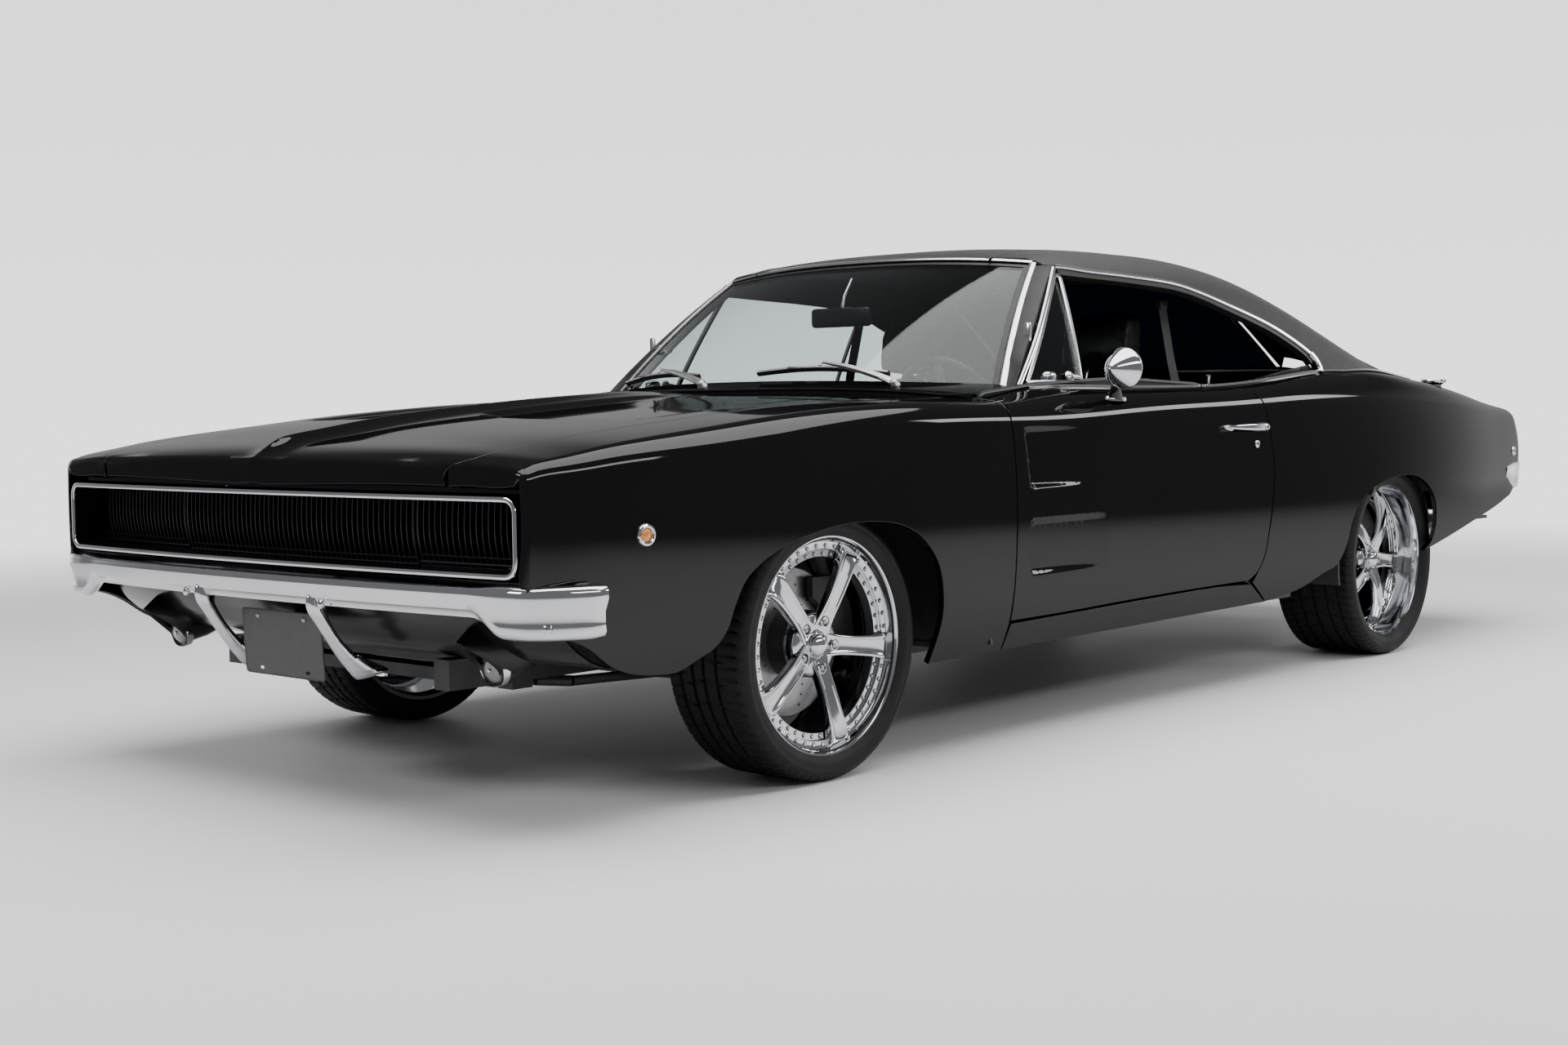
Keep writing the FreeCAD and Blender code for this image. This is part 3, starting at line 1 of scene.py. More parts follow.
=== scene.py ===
import bpy
import bmesh
import math
import numpy as np
from mathutils import Vector, Matrix, geometry
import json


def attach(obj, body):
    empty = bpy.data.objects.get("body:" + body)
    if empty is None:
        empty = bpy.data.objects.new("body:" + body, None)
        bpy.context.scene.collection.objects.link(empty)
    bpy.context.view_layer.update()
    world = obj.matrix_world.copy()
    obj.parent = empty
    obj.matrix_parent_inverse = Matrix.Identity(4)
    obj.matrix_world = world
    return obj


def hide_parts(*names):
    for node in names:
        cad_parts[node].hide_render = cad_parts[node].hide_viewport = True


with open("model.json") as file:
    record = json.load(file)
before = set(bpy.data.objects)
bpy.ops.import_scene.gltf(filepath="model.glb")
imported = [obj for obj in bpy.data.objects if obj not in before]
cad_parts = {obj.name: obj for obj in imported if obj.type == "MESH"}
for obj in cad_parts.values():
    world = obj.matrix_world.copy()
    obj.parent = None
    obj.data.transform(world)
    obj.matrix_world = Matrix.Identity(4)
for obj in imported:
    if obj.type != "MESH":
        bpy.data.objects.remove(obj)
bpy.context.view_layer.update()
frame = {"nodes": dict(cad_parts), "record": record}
NODE_BODY = {n: b for b, ns in frame["record"]["behaviour"]["bodies"].items() for n in ns}
FRONT_AXLE_X, REAR_AXLE_X = 1646.5, -1325.5
GAP = 5.0


# ---------------------------------------------------------------- shape library
def spline(knots):
    """Natural cubic spline through (x, v) knots, linear beyond the ends."""
    ks = sorted(knots)
    xs = [k[0] for k in ks]
    vs = [k[1] for k in ks]
    n = len(xs)
    h = [xs[i + 1] - xs[i] for i in range(n - 1)]
    a = [0.0] * n
    b = [1.0] * n
    c = [0.0] * n
    d = [0.0] * n
    for i in range(1, n - 1):
        a[i] = h[i - 1]
        b[i] = 2.0 * (h[i - 1] + h[i])
        c[i] = h[i]
        d[i] = 6.0 * ((vs[i + 1] - vs[i]) / h[i] - (vs[i] - vs[i - 1]) / h[i - 1])
    for i in range(1, n):
        m = a[i] / b[i - 1]
        b[i] -= m * c[i - 1]
        d[i] -= m * d[i - 1]
    m2 = [0.0] * n
    m2[n - 1] = d[n - 1] / b[n - 1]
    for i in range(n - 2, -1, -1):
        m2[i] = (d[i] - c[i] * m2[i + 1]) / b[i]

    def f(x):
        if x <= xs[0]:
            s = (vs[1] - vs[0]) / h[0] - h[0] * (2 * m2[0] + m2[1]) / 6.0
            return vs[0] + s * (x - xs[0])
        if x >= xs[-1]:
            s = (vs[-1] - vs[-2]) / h[-1] + h[-1] * (m2[-2] + 2 * m2[-1]) / 6.0
            return vs[-1] + s * (x - xs[-1])
        lo, hi = 0, n - 1
        while hi - lo > 1:
            k = (lo + hi) // 2
            if xs[k] > x:
                hi = k
            else:
                lo = k
        t = x - xs[lo]
        u = xs[hi] - x
        hh = h[lo]
        return (m2[lo] * u ** 3 + m2[hi] * t ** 3) / (6 * hh) \
            + (vs[lo] / hh - m2[lo] * hh / 6) * u + (vs[hi] / hh - m2[hi] * hh / 6) * t
    return f


def mix(a, b, t):
    return a + (b - a) * t


def step(a, b, x):
    t = max(0.0, min(1.0, (x - a) / (b - a)))
    return t * t * (3 - 2 * t)


# corner where the side and the top of the body would meet, before it is rounded
CREST_Z = spline([(2650, 722), (2592, 754), (2484, 779), (2372, 797), (2255, 811), (2133, 823), (2005, 836),
                  (1872, 850), (1733, 862), (1587, 871), (1434, 876), (1274, 877), (1105, 876), (900, 874),
                  (700, 876), (301, 893), (-158, 908), (-420, 918), (-676, 927), (-961, 933), (-1265, 934),
                  (-1592, 920), (-1944, 888), (-2323, 846), (-2560, 824), (-2660, 815)])
CREST_Y = spline([(2650, 866), (2596, 878), (2484, 895), (2300, 908), (2000, 916), (1646, 917), (1300, 913),
                  (1000, 905), (700, 897), (300, 890), (-158, 888), (-500, 892), (-900, 899), (-1300, 901),
                  (-1600, 893), (-1944, 868), (-2323, 816), (-2560, 784), (-2660, 770)])
WIDE_Y = spline([(2650, 868), (2596, 880), (2484, 905), (2303, 925), (2000, 941), (1646, 948), (1300, 944),
                 (1000, 935), (700, 927), (300, 922), (-158, 925), (-500, 932), (-900, 941), (-1300, 945),
                 (-1600, 937), (-1944, 908), (-2323, 854), (-2487, 828), (-2560, 815), (-2660, 796)])
WIDE_Z = spline([(2650, 640), (2300, 620), (1646, 600), (700, 590), (-158, 590), (-900, 600), (-1600, 625),
                 (-2323, 655), (-2660, 665)])
LOW_Z = 235.0
LOW_Y = spline([(2650, 800), (2596, 812), (2300, 850), (2000, 866), (1646, 872), (1200, 864), (700, 856),
                (0, 856), (-450, 860), (-900, 864), (-1325, 856), (-1650, 826), (-2000, 775), (-2323, 700),
                (-2560, 655), (-2660, 635)])
MID_Z = spline([(2650, 757), (2600, 779), (2540, 797), (2450, 812), (2300, 834), (2000, 864), (1646, 890),
                (1300, 906), (1090, 911), (900, 955), (780, 1000), (590, 1018), (300, 980), (0, 955),
                (-286, 946), (-558, 988), (-870, 1064), (-1200, 1040), (-1500, 980), (-1600, 968), (-1700, 957),
                (-1944, 926), (-2323, 878), (-2500, 862), (-2660, 856)])
CREST_R = spline([(2650, 26), (2484, 34), (2300, 42), (1646, 50), (1000, 48), (300, 52), (-500, 60),
                  (-1300, 66), (-1944, 58), (-2323, 46), (-2660, 30)])


def top_z(x, y):
    """Height of the hood, fender top, belt and deck before the crest is rounded."""
    zc, z0, yc = CREST_Z(x), MID_Z(x), CREST_Y(x)
    r = min(abs(y) / yc, 1.2)
    return zc + (z0 - zc) * (1.0 - r ** (3.0 + 3.0 * step(-1000.0, -1450.0, x)))


def side_y(x, z):
    """Half width of the body side at height z."""
    zc, yc, yw, zw, yl = CREST_Z(x), CREST_Y(x), WIDE_Y(x), WIDE_Z(x), LOW_Y(x)
    if z >= zw:
        r = (z - zw) / (zc - zw)
        return yw - (yw - yc) * r * r
    r = (zw - z) / (zw - LOW_Z)
    return yw - (yw - yl) * r ** 2.3


def body_section(x, y_in=0.0, nt=10, nf=7, ns=12, z_low=LOW_Z):
    """Section of the left half at x, as (y, z), from y_in over the crest down to z_low."""
    zc, yc, r = CREST_Z(x), CREST_Y(x), CREST_R(x)
    ya = yc - r
    za = top_z(x, ya)
    zb = zc - r
    yb = side_y(x, zb)
    pts = []
    for i in range(nt):
        y = mix(y_in, ya, i / float(nt))
        pts.append((y, top_z(x, y)))
    e = 1.0
    ta = (2 * e, top_z(x, ya + e) - top_z(x, ya - e))
    tb = (side_y(x, zb - e) - side_y(x, zb + e), -2 * e)
    la, lb = math.hypot(*ta), math.hypot(*tb)
    k = 0.62 * r
    c1 = (ya + ta[0] / la * k, za + ta[1] / la * k)
    c2 = (yb - tb[0] / lb * k, zb - tb[1] / lb * k)
    for i in range(nf):
        t = i / float(nf)
        a, b, c, d = (1 - t) ** 3, 3 * t * (1 - t) ** 2, 3 * t * t * (1 - t), t ** 3
        pts.append((a * ya + b * c1[0] + c * c2[0] + d * yb, a * za + b * c1[1] + c * c2[1] + d * zb))
    for i in range(ns + 1):
        z = mix(zb, z_low, i / float(ns))
        pts.append((side_y(x, z), z))
    return pts


# ---- greenhouse
ROOF_Z = spline([(480, 1300), (420, 1319), (340, 1334), (250, 1343), (100, 1349), (-100, 1351), (-280, 1347), (-450, 1333),
                 (-620, 1306), (-900, 1224), (-1185, 1120), (-1495, 1024), (-1700, 962), (-1850, 922)])
SIDE_G = spline([(960, 772), (779, 781), (400, 795), (0, 802), (-400, 812), (-870, 833), (-1200, 836),
                 (-1500, 815), (-1700, 780), (-1850, 745)])


def green_y(x, z):
    """Half width of the side glass and pillars at height z."""
    d = (z - 918.0)
    return SIDE_G(x) - 0.36 * d - 0.00028 * d * d


def roof_z(x, y):
    """Height of the roof skin, and of the filled-in line of the sail panels behind it."""
    zr = ROOF_Z(x)
    return zr - 30.0 * (abs(y) / 560.0) ** 2.6


RAIL = [(425, 1257), (228, 1254), (6, 1247), (-230, 1234), (-330, 1215), (-468, 1180), (-705, 1107),
        (-860, 1030), (-893, 1000), (-896, 982)]


def green_section(x, nt=10, nf=6, ns=8, z_low=930.0):
    """Left half section of the greenhouse from the middle over the roof edge down the side."""
    # corner where roof and side meet
    y = 640.0
    for k in range(30):
        y = green_y(x, roof_z(x, y))
    zc = roof_z(x, y)
    r = 70.0
    if zc - r < z_low + 8:
        r = max(6.0, (zc - z_low - 8))
    ya = y - r
    za = roof_z(x, ya)
    zb = zc - r
    yb = green_y(x, zb)
    pts = []
    for i in range(nt):
        t = mix(0, ya, i / float(nt))
        pts.append((t, roof_z(x, t)))
    e = 1.0
    ta = (2 * e, roof_z(x, ya + e) - roof_z(x, ya - e))
    tb = (green_y(x, zb - e) - green_y(x, zb + e), -2 * e)
    la, lb = math.hypot(*ta), math.hypot(*tb)
    k = 0.5 * r
    c1 = (ya + ta[0] / la * k, za + ta[1] / la * k)
    c2 = (yb - tb[0] / lb * k, zb - tb[1] / lb * k)
    for i in range(nf):
        t = i / float(nf)
        a, b, c, d = (1 - t) ** 3, 3 * t * (1 - t) ** 2, 3 * t * t * (1 - t), t ** 3
        pts.append((a * ya + b * c1[0] + c * c2[0] + d * yb, a * za + b * c1[1] + c * c2[1] + d * zb))
    for i in range(ns + 1):
        z = mix(zb, z_low, i / float(ns))
        pts.append((green_y(x, z), z))
    return pts


# windshield: base and top edge of the glass, as functions of t = y / half width
def ws_base(t):
    return (935.0 - 160.0 * abs(t) ** 2.4, 732.0 * t, 941.0 - 20.0 * t * t)


def ws_top(t):
    return (478.0 - 66.0 * abs(t) ** 2.3, 583.0 * t, 1297.0 - 27.0 * abs(t) ** 2.4)


def ws_point(t, w):
    """Windshield skin: t from -1 (right) to 1 (left), w from 0 (base) to 1 (top)."""
    a, b = ws_base(t), ws_top(t)
    bulge = 16.0 * 4 * w * (1 - w)
    return (mix(a[0], b[0], w) + bulge * 0.6, mix(a[1], b[1], w), mix(a[2], b[2], w) + bulge * 0.8)


# rear window between the sail panels
def rw_point(t, w):
    """Rear window skin: w from 0 (base) to 1 (top)."""
    a = (-1120.0 + 30.0 * t * t, 560.0 * t, 988.0 - 4 * t * t)
    b = (-650.0 + 10.0 * t * t, 520.0 * t, 1280.0 - 20.0 * t * t)
    bulge = 8.0 * 4 * w * (1 - w)
    return (mix(a[0], b[0], w) - bulge * 0.5, mix(a[1], b[1], w), mix(a[2], b[2], w) + bulge * 0.8)

# ---------------------------------------------------------------- materials
class Nodes:
    def __init__(self, name):
        self.m = bpy.data.materials.new(name)
        self.m.use_nodes = True
        self.t = self.m.node_tree
        self.t.nodes.clear()
        self.out = self.t.nodes.new("ShaderNodeOutputMaterial")
        tc = self.t.nodes.new("ShaderNodeTexCoord")
        self.obj = tc.outputs["Object"]

    def n(self, kind, **ins):
        q = self.t.nodes.new(kind)
        for k, v in ins.items():
            if k.startswith("_"):
                setattr(q, k[1:], v)
                continue
            key = k.replace("_", " ")
            s = q.inputs[int(key[1:])] if key[0] == "i" and key[1:].isdigit() else q.inputs[key]
            if isinstance(v, bpy.types.NodeSocket):
                self.t.links.new(v, s)
            else:
                s.default_value = v
        return q

    def noise(self, scale, detail=3.0, rough=0.5, dist=0.0, vec=None):
        q = self.n("ShaderNodeTexNoise", Scale=scale, Detail=detail, Roughness=rough, Distortion=dist)
        self.t.links.new(vec or self.obj, q.inputs["Vector"])
        return q.outputs["Fac"]

    def voronoi(self, scale, feature="F1", vec=None):
        q = self.n("ShaderNodeTexVoronoi", Scale=scale, _feature=feature)
        self.t.links.new(vec or self.obj, q.inputs["Vector"])
        return q.outputs["Distance"]

    def span(self, fac, a, b, lo=0.0, hi=1.0):
        q = self.n("ShaderNodeMapRange", Value=fac)
        q.inputs["From Min"].default_value = lo
        q.inputs["From Max"].default_value = hi
        q.inputs["To Min"].default_value = a
        q.inputs["To Max"].default_value = b
        return q.outputs["Result"]

    def blend(self, fac, a, b):
        q = self.n("ShaderNodeMix", _data_type="RGBA")
        for s, v in ((q.inputs[0], fac), (q.inputs[6], a), (q.inputs[7], b)):
            if isinstance(v, bpy.types.NodeSocket):
                self.t.links.new(v, s)
            else:
                s.default_value = v if not isinstance(v, tuple) else (tuple(v) + (1.0,))[:4]
        return q.outputs[2]

    def bump(self, height, strength, dist=0.001, normal=None):
        q = self.n("ShaderNodeBump", Height=height, Strength=strength, Distance=dist)
        if normal is not None:
            self.t.links.new(normal, q.inputs["Normal"])
        return q.outputs["Normal"]

    def math(self, op, a, b=0.0):
        q = self.n("ShaderNodeMath", _operation=op)
        for s, v in ((q.inputs[0], a), (q.inputs[1], b)):
            if isinstance(v, bpy.types.NodeSocket):
                self.t.links.new(v, s)
            else:
                s.default_value = v
        return q.outputs[0]

    def bsdf(self, color, rough, metal=0.0, normal=None, **k):
        q = self.t.nodes.new("ShaderNodeBsdfPrincipled")
        for key, v in (("Base Color", color), ("Roughness", rough), ("Metallic", metal)):
            s = q.inputs[key]
            if isinstance(v, bpy.types.NodeSocket):
                self.t.links.new(v, s)
            else:
                s.default_value = (tuple(v) + (1.0,))[:4] if isinstance(v, tuple) else v
        if normal is not None:
            self.t.links.new(normal, q.inputs["Normal"])
        for key, v in k.items():
            s = q.inputs[key.replace("_", " ")]
            if isinstance(v, bpy.types.NodeSocket):
                self.t.links.new(v, s)
            else:
                s.default_value = v
        self.t.links.new(q.outputs[0], self.out.inputs["Surface"])
        return q

    def done(self, name):
        MATS[name] = self.m
        return self.m


MATS = {}

# deep gloss black lacquer with a faint orange peel
m = Nodes("paint")
peel = m.bump(m.noise(260.0, 2.0), 0.012, 0.001)
haze = m.noise(3.0, 4.0)
under = m.bsdf(m.blend(haze, (0.0014, 0.0014, 0.0016), (0.0026, 0.0026, 0.0028)), 0.45, 0.0, None, Specular_IOR_Level=0.0)
clear = m.n("ShaderNodeBsdfGlossy", Color=(1.0, 1.0, 1.0, 1.0), Roughness=m.span(m.noise(9.0, 5.0), 0.02, 0.06), Normal=peel)
lw = m.n("ShaderNodeLayerWeight", Blend=0.5)
mx = m.n("ShaderNodeMixShader", i0=m.span(m.math("POWER", lw.outputs["Facing"], 4.0), 0.031, 0.15))
m.t.links.new(under.outputs[0], mx.inputs[1])
m.t.links.new(clear.outputs[0], mx.inputs[2])
m.t.links.new(mx.outputs[0], m.out.inputs["Surface"])
m.done("paint")

# satin black trim
m = Nodes("trim")
m.bsdf(m.blend(m.noise(40.0), (0.004, 0.004, 0.004), (0.008, 0.008, 0.008)), m.span(m.noise(25.0, 5.0), 0.36, 0.5), 0.0,
       m.bump(m.noise(900.0, 2.0), 0.06, 0.0006), Specular_IOR_Level=0.3)
m.done("trim")

# gloss black painted trim
m = Nodes("gloss")
m.bsdf(m.blend(m.noise(12.0), (0.0022, 0.0022, 0.0024), (0.0042, 0.0042, 0.0044)), m.span(m.noise(30.0, 4.0), 0.16, 0.26), 0.0,
       m.bump(m.noise(500.0, 2.0), 0.02, 0.0006), Specular_IOR_Level=0.35)
m.done("gloss")

# bright plating
m = Nodes("chrome")
m.bsdf(m.blend(m.noise(6.0, 4.0), (0.54, 0.55, 0.57), (0.64, 0.64, 0.66)), m.span(m.noise(22.0, 6.0, 0.6), 0.025, 0.085), 1.0,
       m.bump(m.noise(35.0, 2.0), 0.02, 0.001))
m.done("chrome")

# bright anodised trim, a little duller than the plating
m = Nodes("bright")
m.bsdf(m.blend(m.noise(14.0, 4.0), (0.56, 0.55, 0.54), (0.68, 0.68, 0.67)), m.span(m.noise(60.0, 5.0), 0.12, 0.22), 1.0,
       m.bump(m.noise(220.0, 2.0), 0.03, 0.0006))
m.done("bright")

# grained vinyl of the roof
m = Nodes("vinyl")
big = m.voronoi(520.0, "F1")
fine_ = m.noise(1400.0, 3.0)
h = m.math("ADD", m.math("MULTIPLY", big, 0.8), m.math("MULTIPLY", fine_, 0.5))
col = m.blend(m.noise(5.0, 5.0), (0.007, 0.007, 0.0074), (0.012, 0.012, 0.0125))
# colour darker where the grain bump is low: painted shade in the pits of the grain
m.bsdf(m.blend(m.span(big, 0.0, 1.0, 0.0, 0.7), (0.005, 0.005, 0.0053), col), m.span(m.noise(18.0, 4.0), 0.42, 0.56), 0.0,
       m.bump(h, 0.55, 0.0009), Specular_IOR_Level=0.28)
m.done("vinyl")

# leather of the seats
m = Nodes("leather")
cell = m.voronoi(380.0, "F1")
crease = m.noise(28.0, 6.0, 0.62, 0.6)
h = m.math("ADD", m.math("MULTIPLY", cell, 0.6), m.math("MULTIPLY", crease, 0.9))
m.bsdf(m.blend(m.noise(7.0, 5.0), (0.006, 0.006, 0.0064), (0.011, 0.0107, 0.0107)), m.span(crease, 0.34, 0.5), 0.0, m.bump(h, 0.4, 0.001), Specular_IOR_Level=0.35)
m.done("leather")

# carpet
m = Nodes("carpet")
m.bsdf(m.blend(m.noise(300.0, 4.0), (0.004, 0.004, 0.0045), (0.013, 0.013, 0.0135)), 0.95, 0.0, m.bump(m.noise(900.0, 3.0), 0.9, 0.002),
       Sheen_Weight=0.3)
m.done("carpet")

# moulded dashboard plastic
m = Nodes("dash")
m.bsdf(m.blend(m.noise(30.0), (0.006, 0.006, 0.006), (0.011, 0.011, 0.011)), m.span(m.noise(15.0), 0.45, 0.6), 0.0,
       m.bump(m.voronoi(700.0), 0.25, 0.0006))
m.done("dash")

# tyre rubber
m = Nodes("rubber")
m.bsdf(m.blend(m.noise(16.0, 6.0, 0.6), (0.0040, 0.0040, 0.0040), (0.0085, 0.0082, 0.0080)), m.span(m.noise(34.0, 6.0), 0.5, 0.72), 0.0,
       m.bump(m.noise(1200.0, 3.0), 0.22, 0.0006), Specular_IOR_Level=0.25)
m.done("rubber")

# polished forged alloy
m = Nodes("alloy")
m.bsdf(m.blend(m.noise(9.0, 4.0), (0.50, 0.51, 0.53), (0.62, 0.62, 0.64)), m.span(m.noise(50.0, 6.0, 0.6), 0.05, 0.14), 1.0,
       m.bump(m.noise(420.0, 2.0), 0.02, 0.0005))
m.done("alloy")

# brushed rotor face
m = Nodes("rotor")
mp = m.n("ShaderNodeMapping")
m.t.links.new(m.obj, mp.inputs["Vector"])
mp.inputs["Scale"].default_value = (1.0, 60.0, 1.0)
m.bsdf(m.blend(m.noise(30.0, 4.0), (0.30, 0.30, 0.31), (0.48, 0.48, 0.48)), m.span(m.noise(80.0, 5.0), 0.22, 0.4), 1.0,
       m.bump(m.noise(600.0, 2.0, vec=mp.outputs["Vector"]), 0.12, 0.0005), Anisotropic=0.5)
m.done("rotor")

# cast and machined dark metal of callipers and knuckles
m = Nodes("castiron")
m.bsdf(m.blend(m.noise(30.0, 6.0, 0.65), (0.030, 0.030, 0.032), (0.075, 0.072, 0.068)), m.span(m.noise(60.0, 5.0), 0.5, 0.75), 0.6,
       m.bump(m.noise(420.0, 5.0, 0.65), 0.5, 0.001))
m.done("castiron")

m = Nodes("chassis")
m.bsdf(m.blend(m.noise(14.0, 6.0, 0.6), (0.008, 0.008, 0.008), (0.026, 0.025, 0.024)), m.span(m.noise(22.0, 5.0), 0.35, 0.62), 0.0,
       m.bump(m.noise(260.0, 4.0), 0.18, 0.001))
m.done("chassis")

m = Nodes("steel")
m.bsdf(m.blend(m.noise(12.0, 6.0, 0.6), (0.30, 0.29, 0.28), (0.50, 0.50, 0.49)), m.span(m.noise(30.0, 6.0), 0.28, 0.5), 1.0,
       m.bump(m.noise(300.0, 4.0), 0.12, 0.0008))
m.done("steel")

m = Nodes("plate")
m.bsdf(m.blend(m.noise(120.0, 4.0), (0.060, 0.060, 0.062), (0.085, 0.085, 0.088)), m.span(m.noise(50.0, 4.0), 0.38, 0.5), 0.55,
       m.bump(m.noise(1500.0, 2.0), 0.06, 0.0004))
m.done("plate")

# amber, red and clear lenses
for nm, ca, cb in (("red", (0.16, 0.004, 0.004), (0.30, 0.008, 0.006)), ("amber", (0.55, 0.16, 0.01), (0.75, 0.28, 0.02))):
    m = Nodes(nm)
    m.bsdf(m.blend(m.voronoi(260.0), ca, cb), m.span(m.noise(60.0), 0.08, 0.16), 0.0, m.bump(m.voronoi(240.0), 0.35, 0.0008),
           Coat_Weight=1.0, Coat_Roughness=0.03)
    m.done(nm)
m = Nodes("lamp")
m.bsdf(m.blend(m.noise(90.0), (0.62, 0.63, 0.64), (0.75, 0.76, 0.77)), m.span(m.noise(40.0), 0.05, 0.12), 0.35, m.bump(m.voronoi(150.0), 0.4, 0.001),
       Coat_Weight=1.0, Coat_Roughness=0.02)
m.done("lamp")


def thin_glass(name, tint, gloss=0.05):
    m = Nodes(name)
    tr = m.n("ShaderNodeBsdfTransparent")
    smear = m.noise(5.0, 5.0, 0.6)
    tcol = m.blend(smear, tint, tuple(min(1.0, c * 1.03) for c in tint))
    m.t.links.new(tcol, tr.inputs["Color"])
    gl = m.n("ShaderNodeBsdfGlossy")
    m.t.links.new(m.span(smear, 0.0, 0.03), gl.inputs["Roughness"])
    lw = m.n("ShaderNodeLayerWeight", Blend=0.5)
    f5 = m.math("POWER", lw.outputs["Facing"], 5.5)
    f2 = m.span(f5, gloss, 0.92)
    mx = m.n("ShaderNodeMixShader")
    m.t.links.new(f2, mx.inputs[0])
    m.t.links.new(tr.outputs[0], mx.inputs[1])
    m.t.links.new(gl.outputs[0], mx.inputs[2])
    m.t.links.new(mx.outputs[0], m.out.inputs["Surface"])
    m.done(name)


thin_glass("glass", (0.80, 0.83, 0.83), 0.03)
thin_glass("darkglass", (0.020, 0.024, 0.042), 0.04)

# pale studio floor that fades into the pale room far from the car
m = Nodes("floor")
q = m.bsdf(m.blend(m.noise(0.6, 5.0), (0.70, 0.70, 0.70), (0.74, 0.74, 0.735)), m.span(m.noise(2.0, 5.0), 0.55, 0.65), 0.0,
           m.bump(m.noise(60.0, 3.0), 0.02, 0.001), Specular_IOR_Level=0.25)
ln = m.n("ShaderNodeVectorMath", _operation="LENGTH", i0=m.obj)
sm = m.n("ShaderNodeMapRange", _interpolation_type="SMOOTHSTEP", Value=ln.outputs["Value"])
sm.inputs["From Min"].default_value = 3.6
sm.inputs["From Max"].default_value = 9.5
cl = m.n("ShaderNodeBsdfTransparent")
mx = m.n("ShaderNodeMixShader")
m.t.links.new(sm.outputs["Result"], mx.inputs[0])
m.t.links.new(q.outputs[0], mx.inputs[1])
m.t.links.new(cl.outputs[0], mx.inputs[2])
m.t.links.new(mx.outputs[0], m.out.inputs["Surface"])
m.done("floor")


# clear parking lamp lens over a dark bowl, and a lighter grey for the front edges of the grille blades, a painted
# highlight
m = Nodes("lampdark")
m.bsdf(m.blend(m.voronoi(170.0), (0.10, 0.10, 0.10), (0.24, 0.24, 0.24)), m.span(m.noise(40.0), 0.06, 0.14), 0.5, m.bump(m.voronoi(150.0), 0.5, 0.001),
       Coat_Weight=0.7, Coat_Roughness=0.03)
m.done("lampdark")
m = Nodes("edge")
m.bsdf(m.blend(m.noise(30.0), (0.030, 0.030, 0.030), (0.055, 0.055, 0.055)), m.span(m.noise(40.0), 0.3, 0.42), 0.0, m.bump(m.noise(600.0), 0.1, 0.0005))
m.done("edge")

# woven belt webbing
m = Nodes("webbing")
wv = m.n("ShaderNodeTexWave", Scale=420.0, Distortion=0.3, _bands_direction="DIAGONAL")
m.t.links.new(m.obj, wv.inputs["Vector"])
m.bsdf(m.blend(m.noise(60.0, 4.0), (0.010, 0.010, 0.011), (0.024, 0.024, 0.025)), m.span(m.noise(40.0), 0.6, 0.8), 0.0,
       m.bump(wv.outputs["Fac"], 0.5, 0.0008))
m.done("webbing")

# ---------------------------------------------------------------- mesh helpers (millimetres in, metres out)

BUILT = {}


def put(name, verts, faces, mat, body="car_body", replaces=(), normals=None, sharp=38.0, mats=None, face_mat=None):
    me = bpy.data.meshes.new(name)
    v = np.asarray(verts, dtype=float) * 0.001
    me.from_pydata(v.tolist(), [], [tuple(int(i) for i in f) for f in faces])
    me.update()
    me.shade_smooth()
    if normals is not None:
        me.normals_split_custom_set_from_vertices([tuple(n) for n in np.asarray(normals, dtype=float)])
    elif sharp:
        me.set_sharp_from_angle(angle=math.radians(sharp))
    ob = bpy.data.objects.new(name, me)
    bpy.context.scene.collection.objects.link(ob)
    for m in (mats or [mat]):
        me.materials.append(MATS[m])
    if face_mat is not None:
        me.polygons.foreach_set("material_index", list(face_mat))
    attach(ob, body)
    if replaces:
        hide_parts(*replaces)
    BUILT[name] = ob
    return ob


class Mesh:
    """Growing mesh of several parts, each with its own material index."""

    def __init__(self):
        self.v, self.f, self.m = [], [], []

    def add(self, verts, faces, m=0):
        o = len(self.v)
        self.v.extend([tuple(float(c) for c in p) for p in verts])
        self.f.extend([tuple(int(i) + o for i in f) for f in faces])
        self.m.extend([m] * len(faces))
        return self

    def mirrored(self):
        o = len(self.v)
        n = len(self.f)
        self.v.extend([(x, -y, z) for x, y, z in self.v[:o]])
        self.f.extend([tuple(i + o for i in f[::-1]) for f in self.f[:n]])
        self.m.extend(self.m[:n])
        return self

    def flipped(self):
        q = Mesh()
        q.v = [(x, -y, z) for x, y, z in self.v]
        q.f = [f[::-1] for f in self.f]
        q.m = list(self.m)
        return q

    def out(self, name, mats, body="car_body", replaces=(), sharp=38.0):
        if isinstance(mats, str):
            mats = [mats]
        return put(name, self.v, self.f, mats[0], body, replaces, None, sharp, mats, self.m if len(mats) > 1 else None)


def unit(v):
    v = np.asarray(v, dtype=float)
    return v / max(1e-12, np.linalg.norm(v))


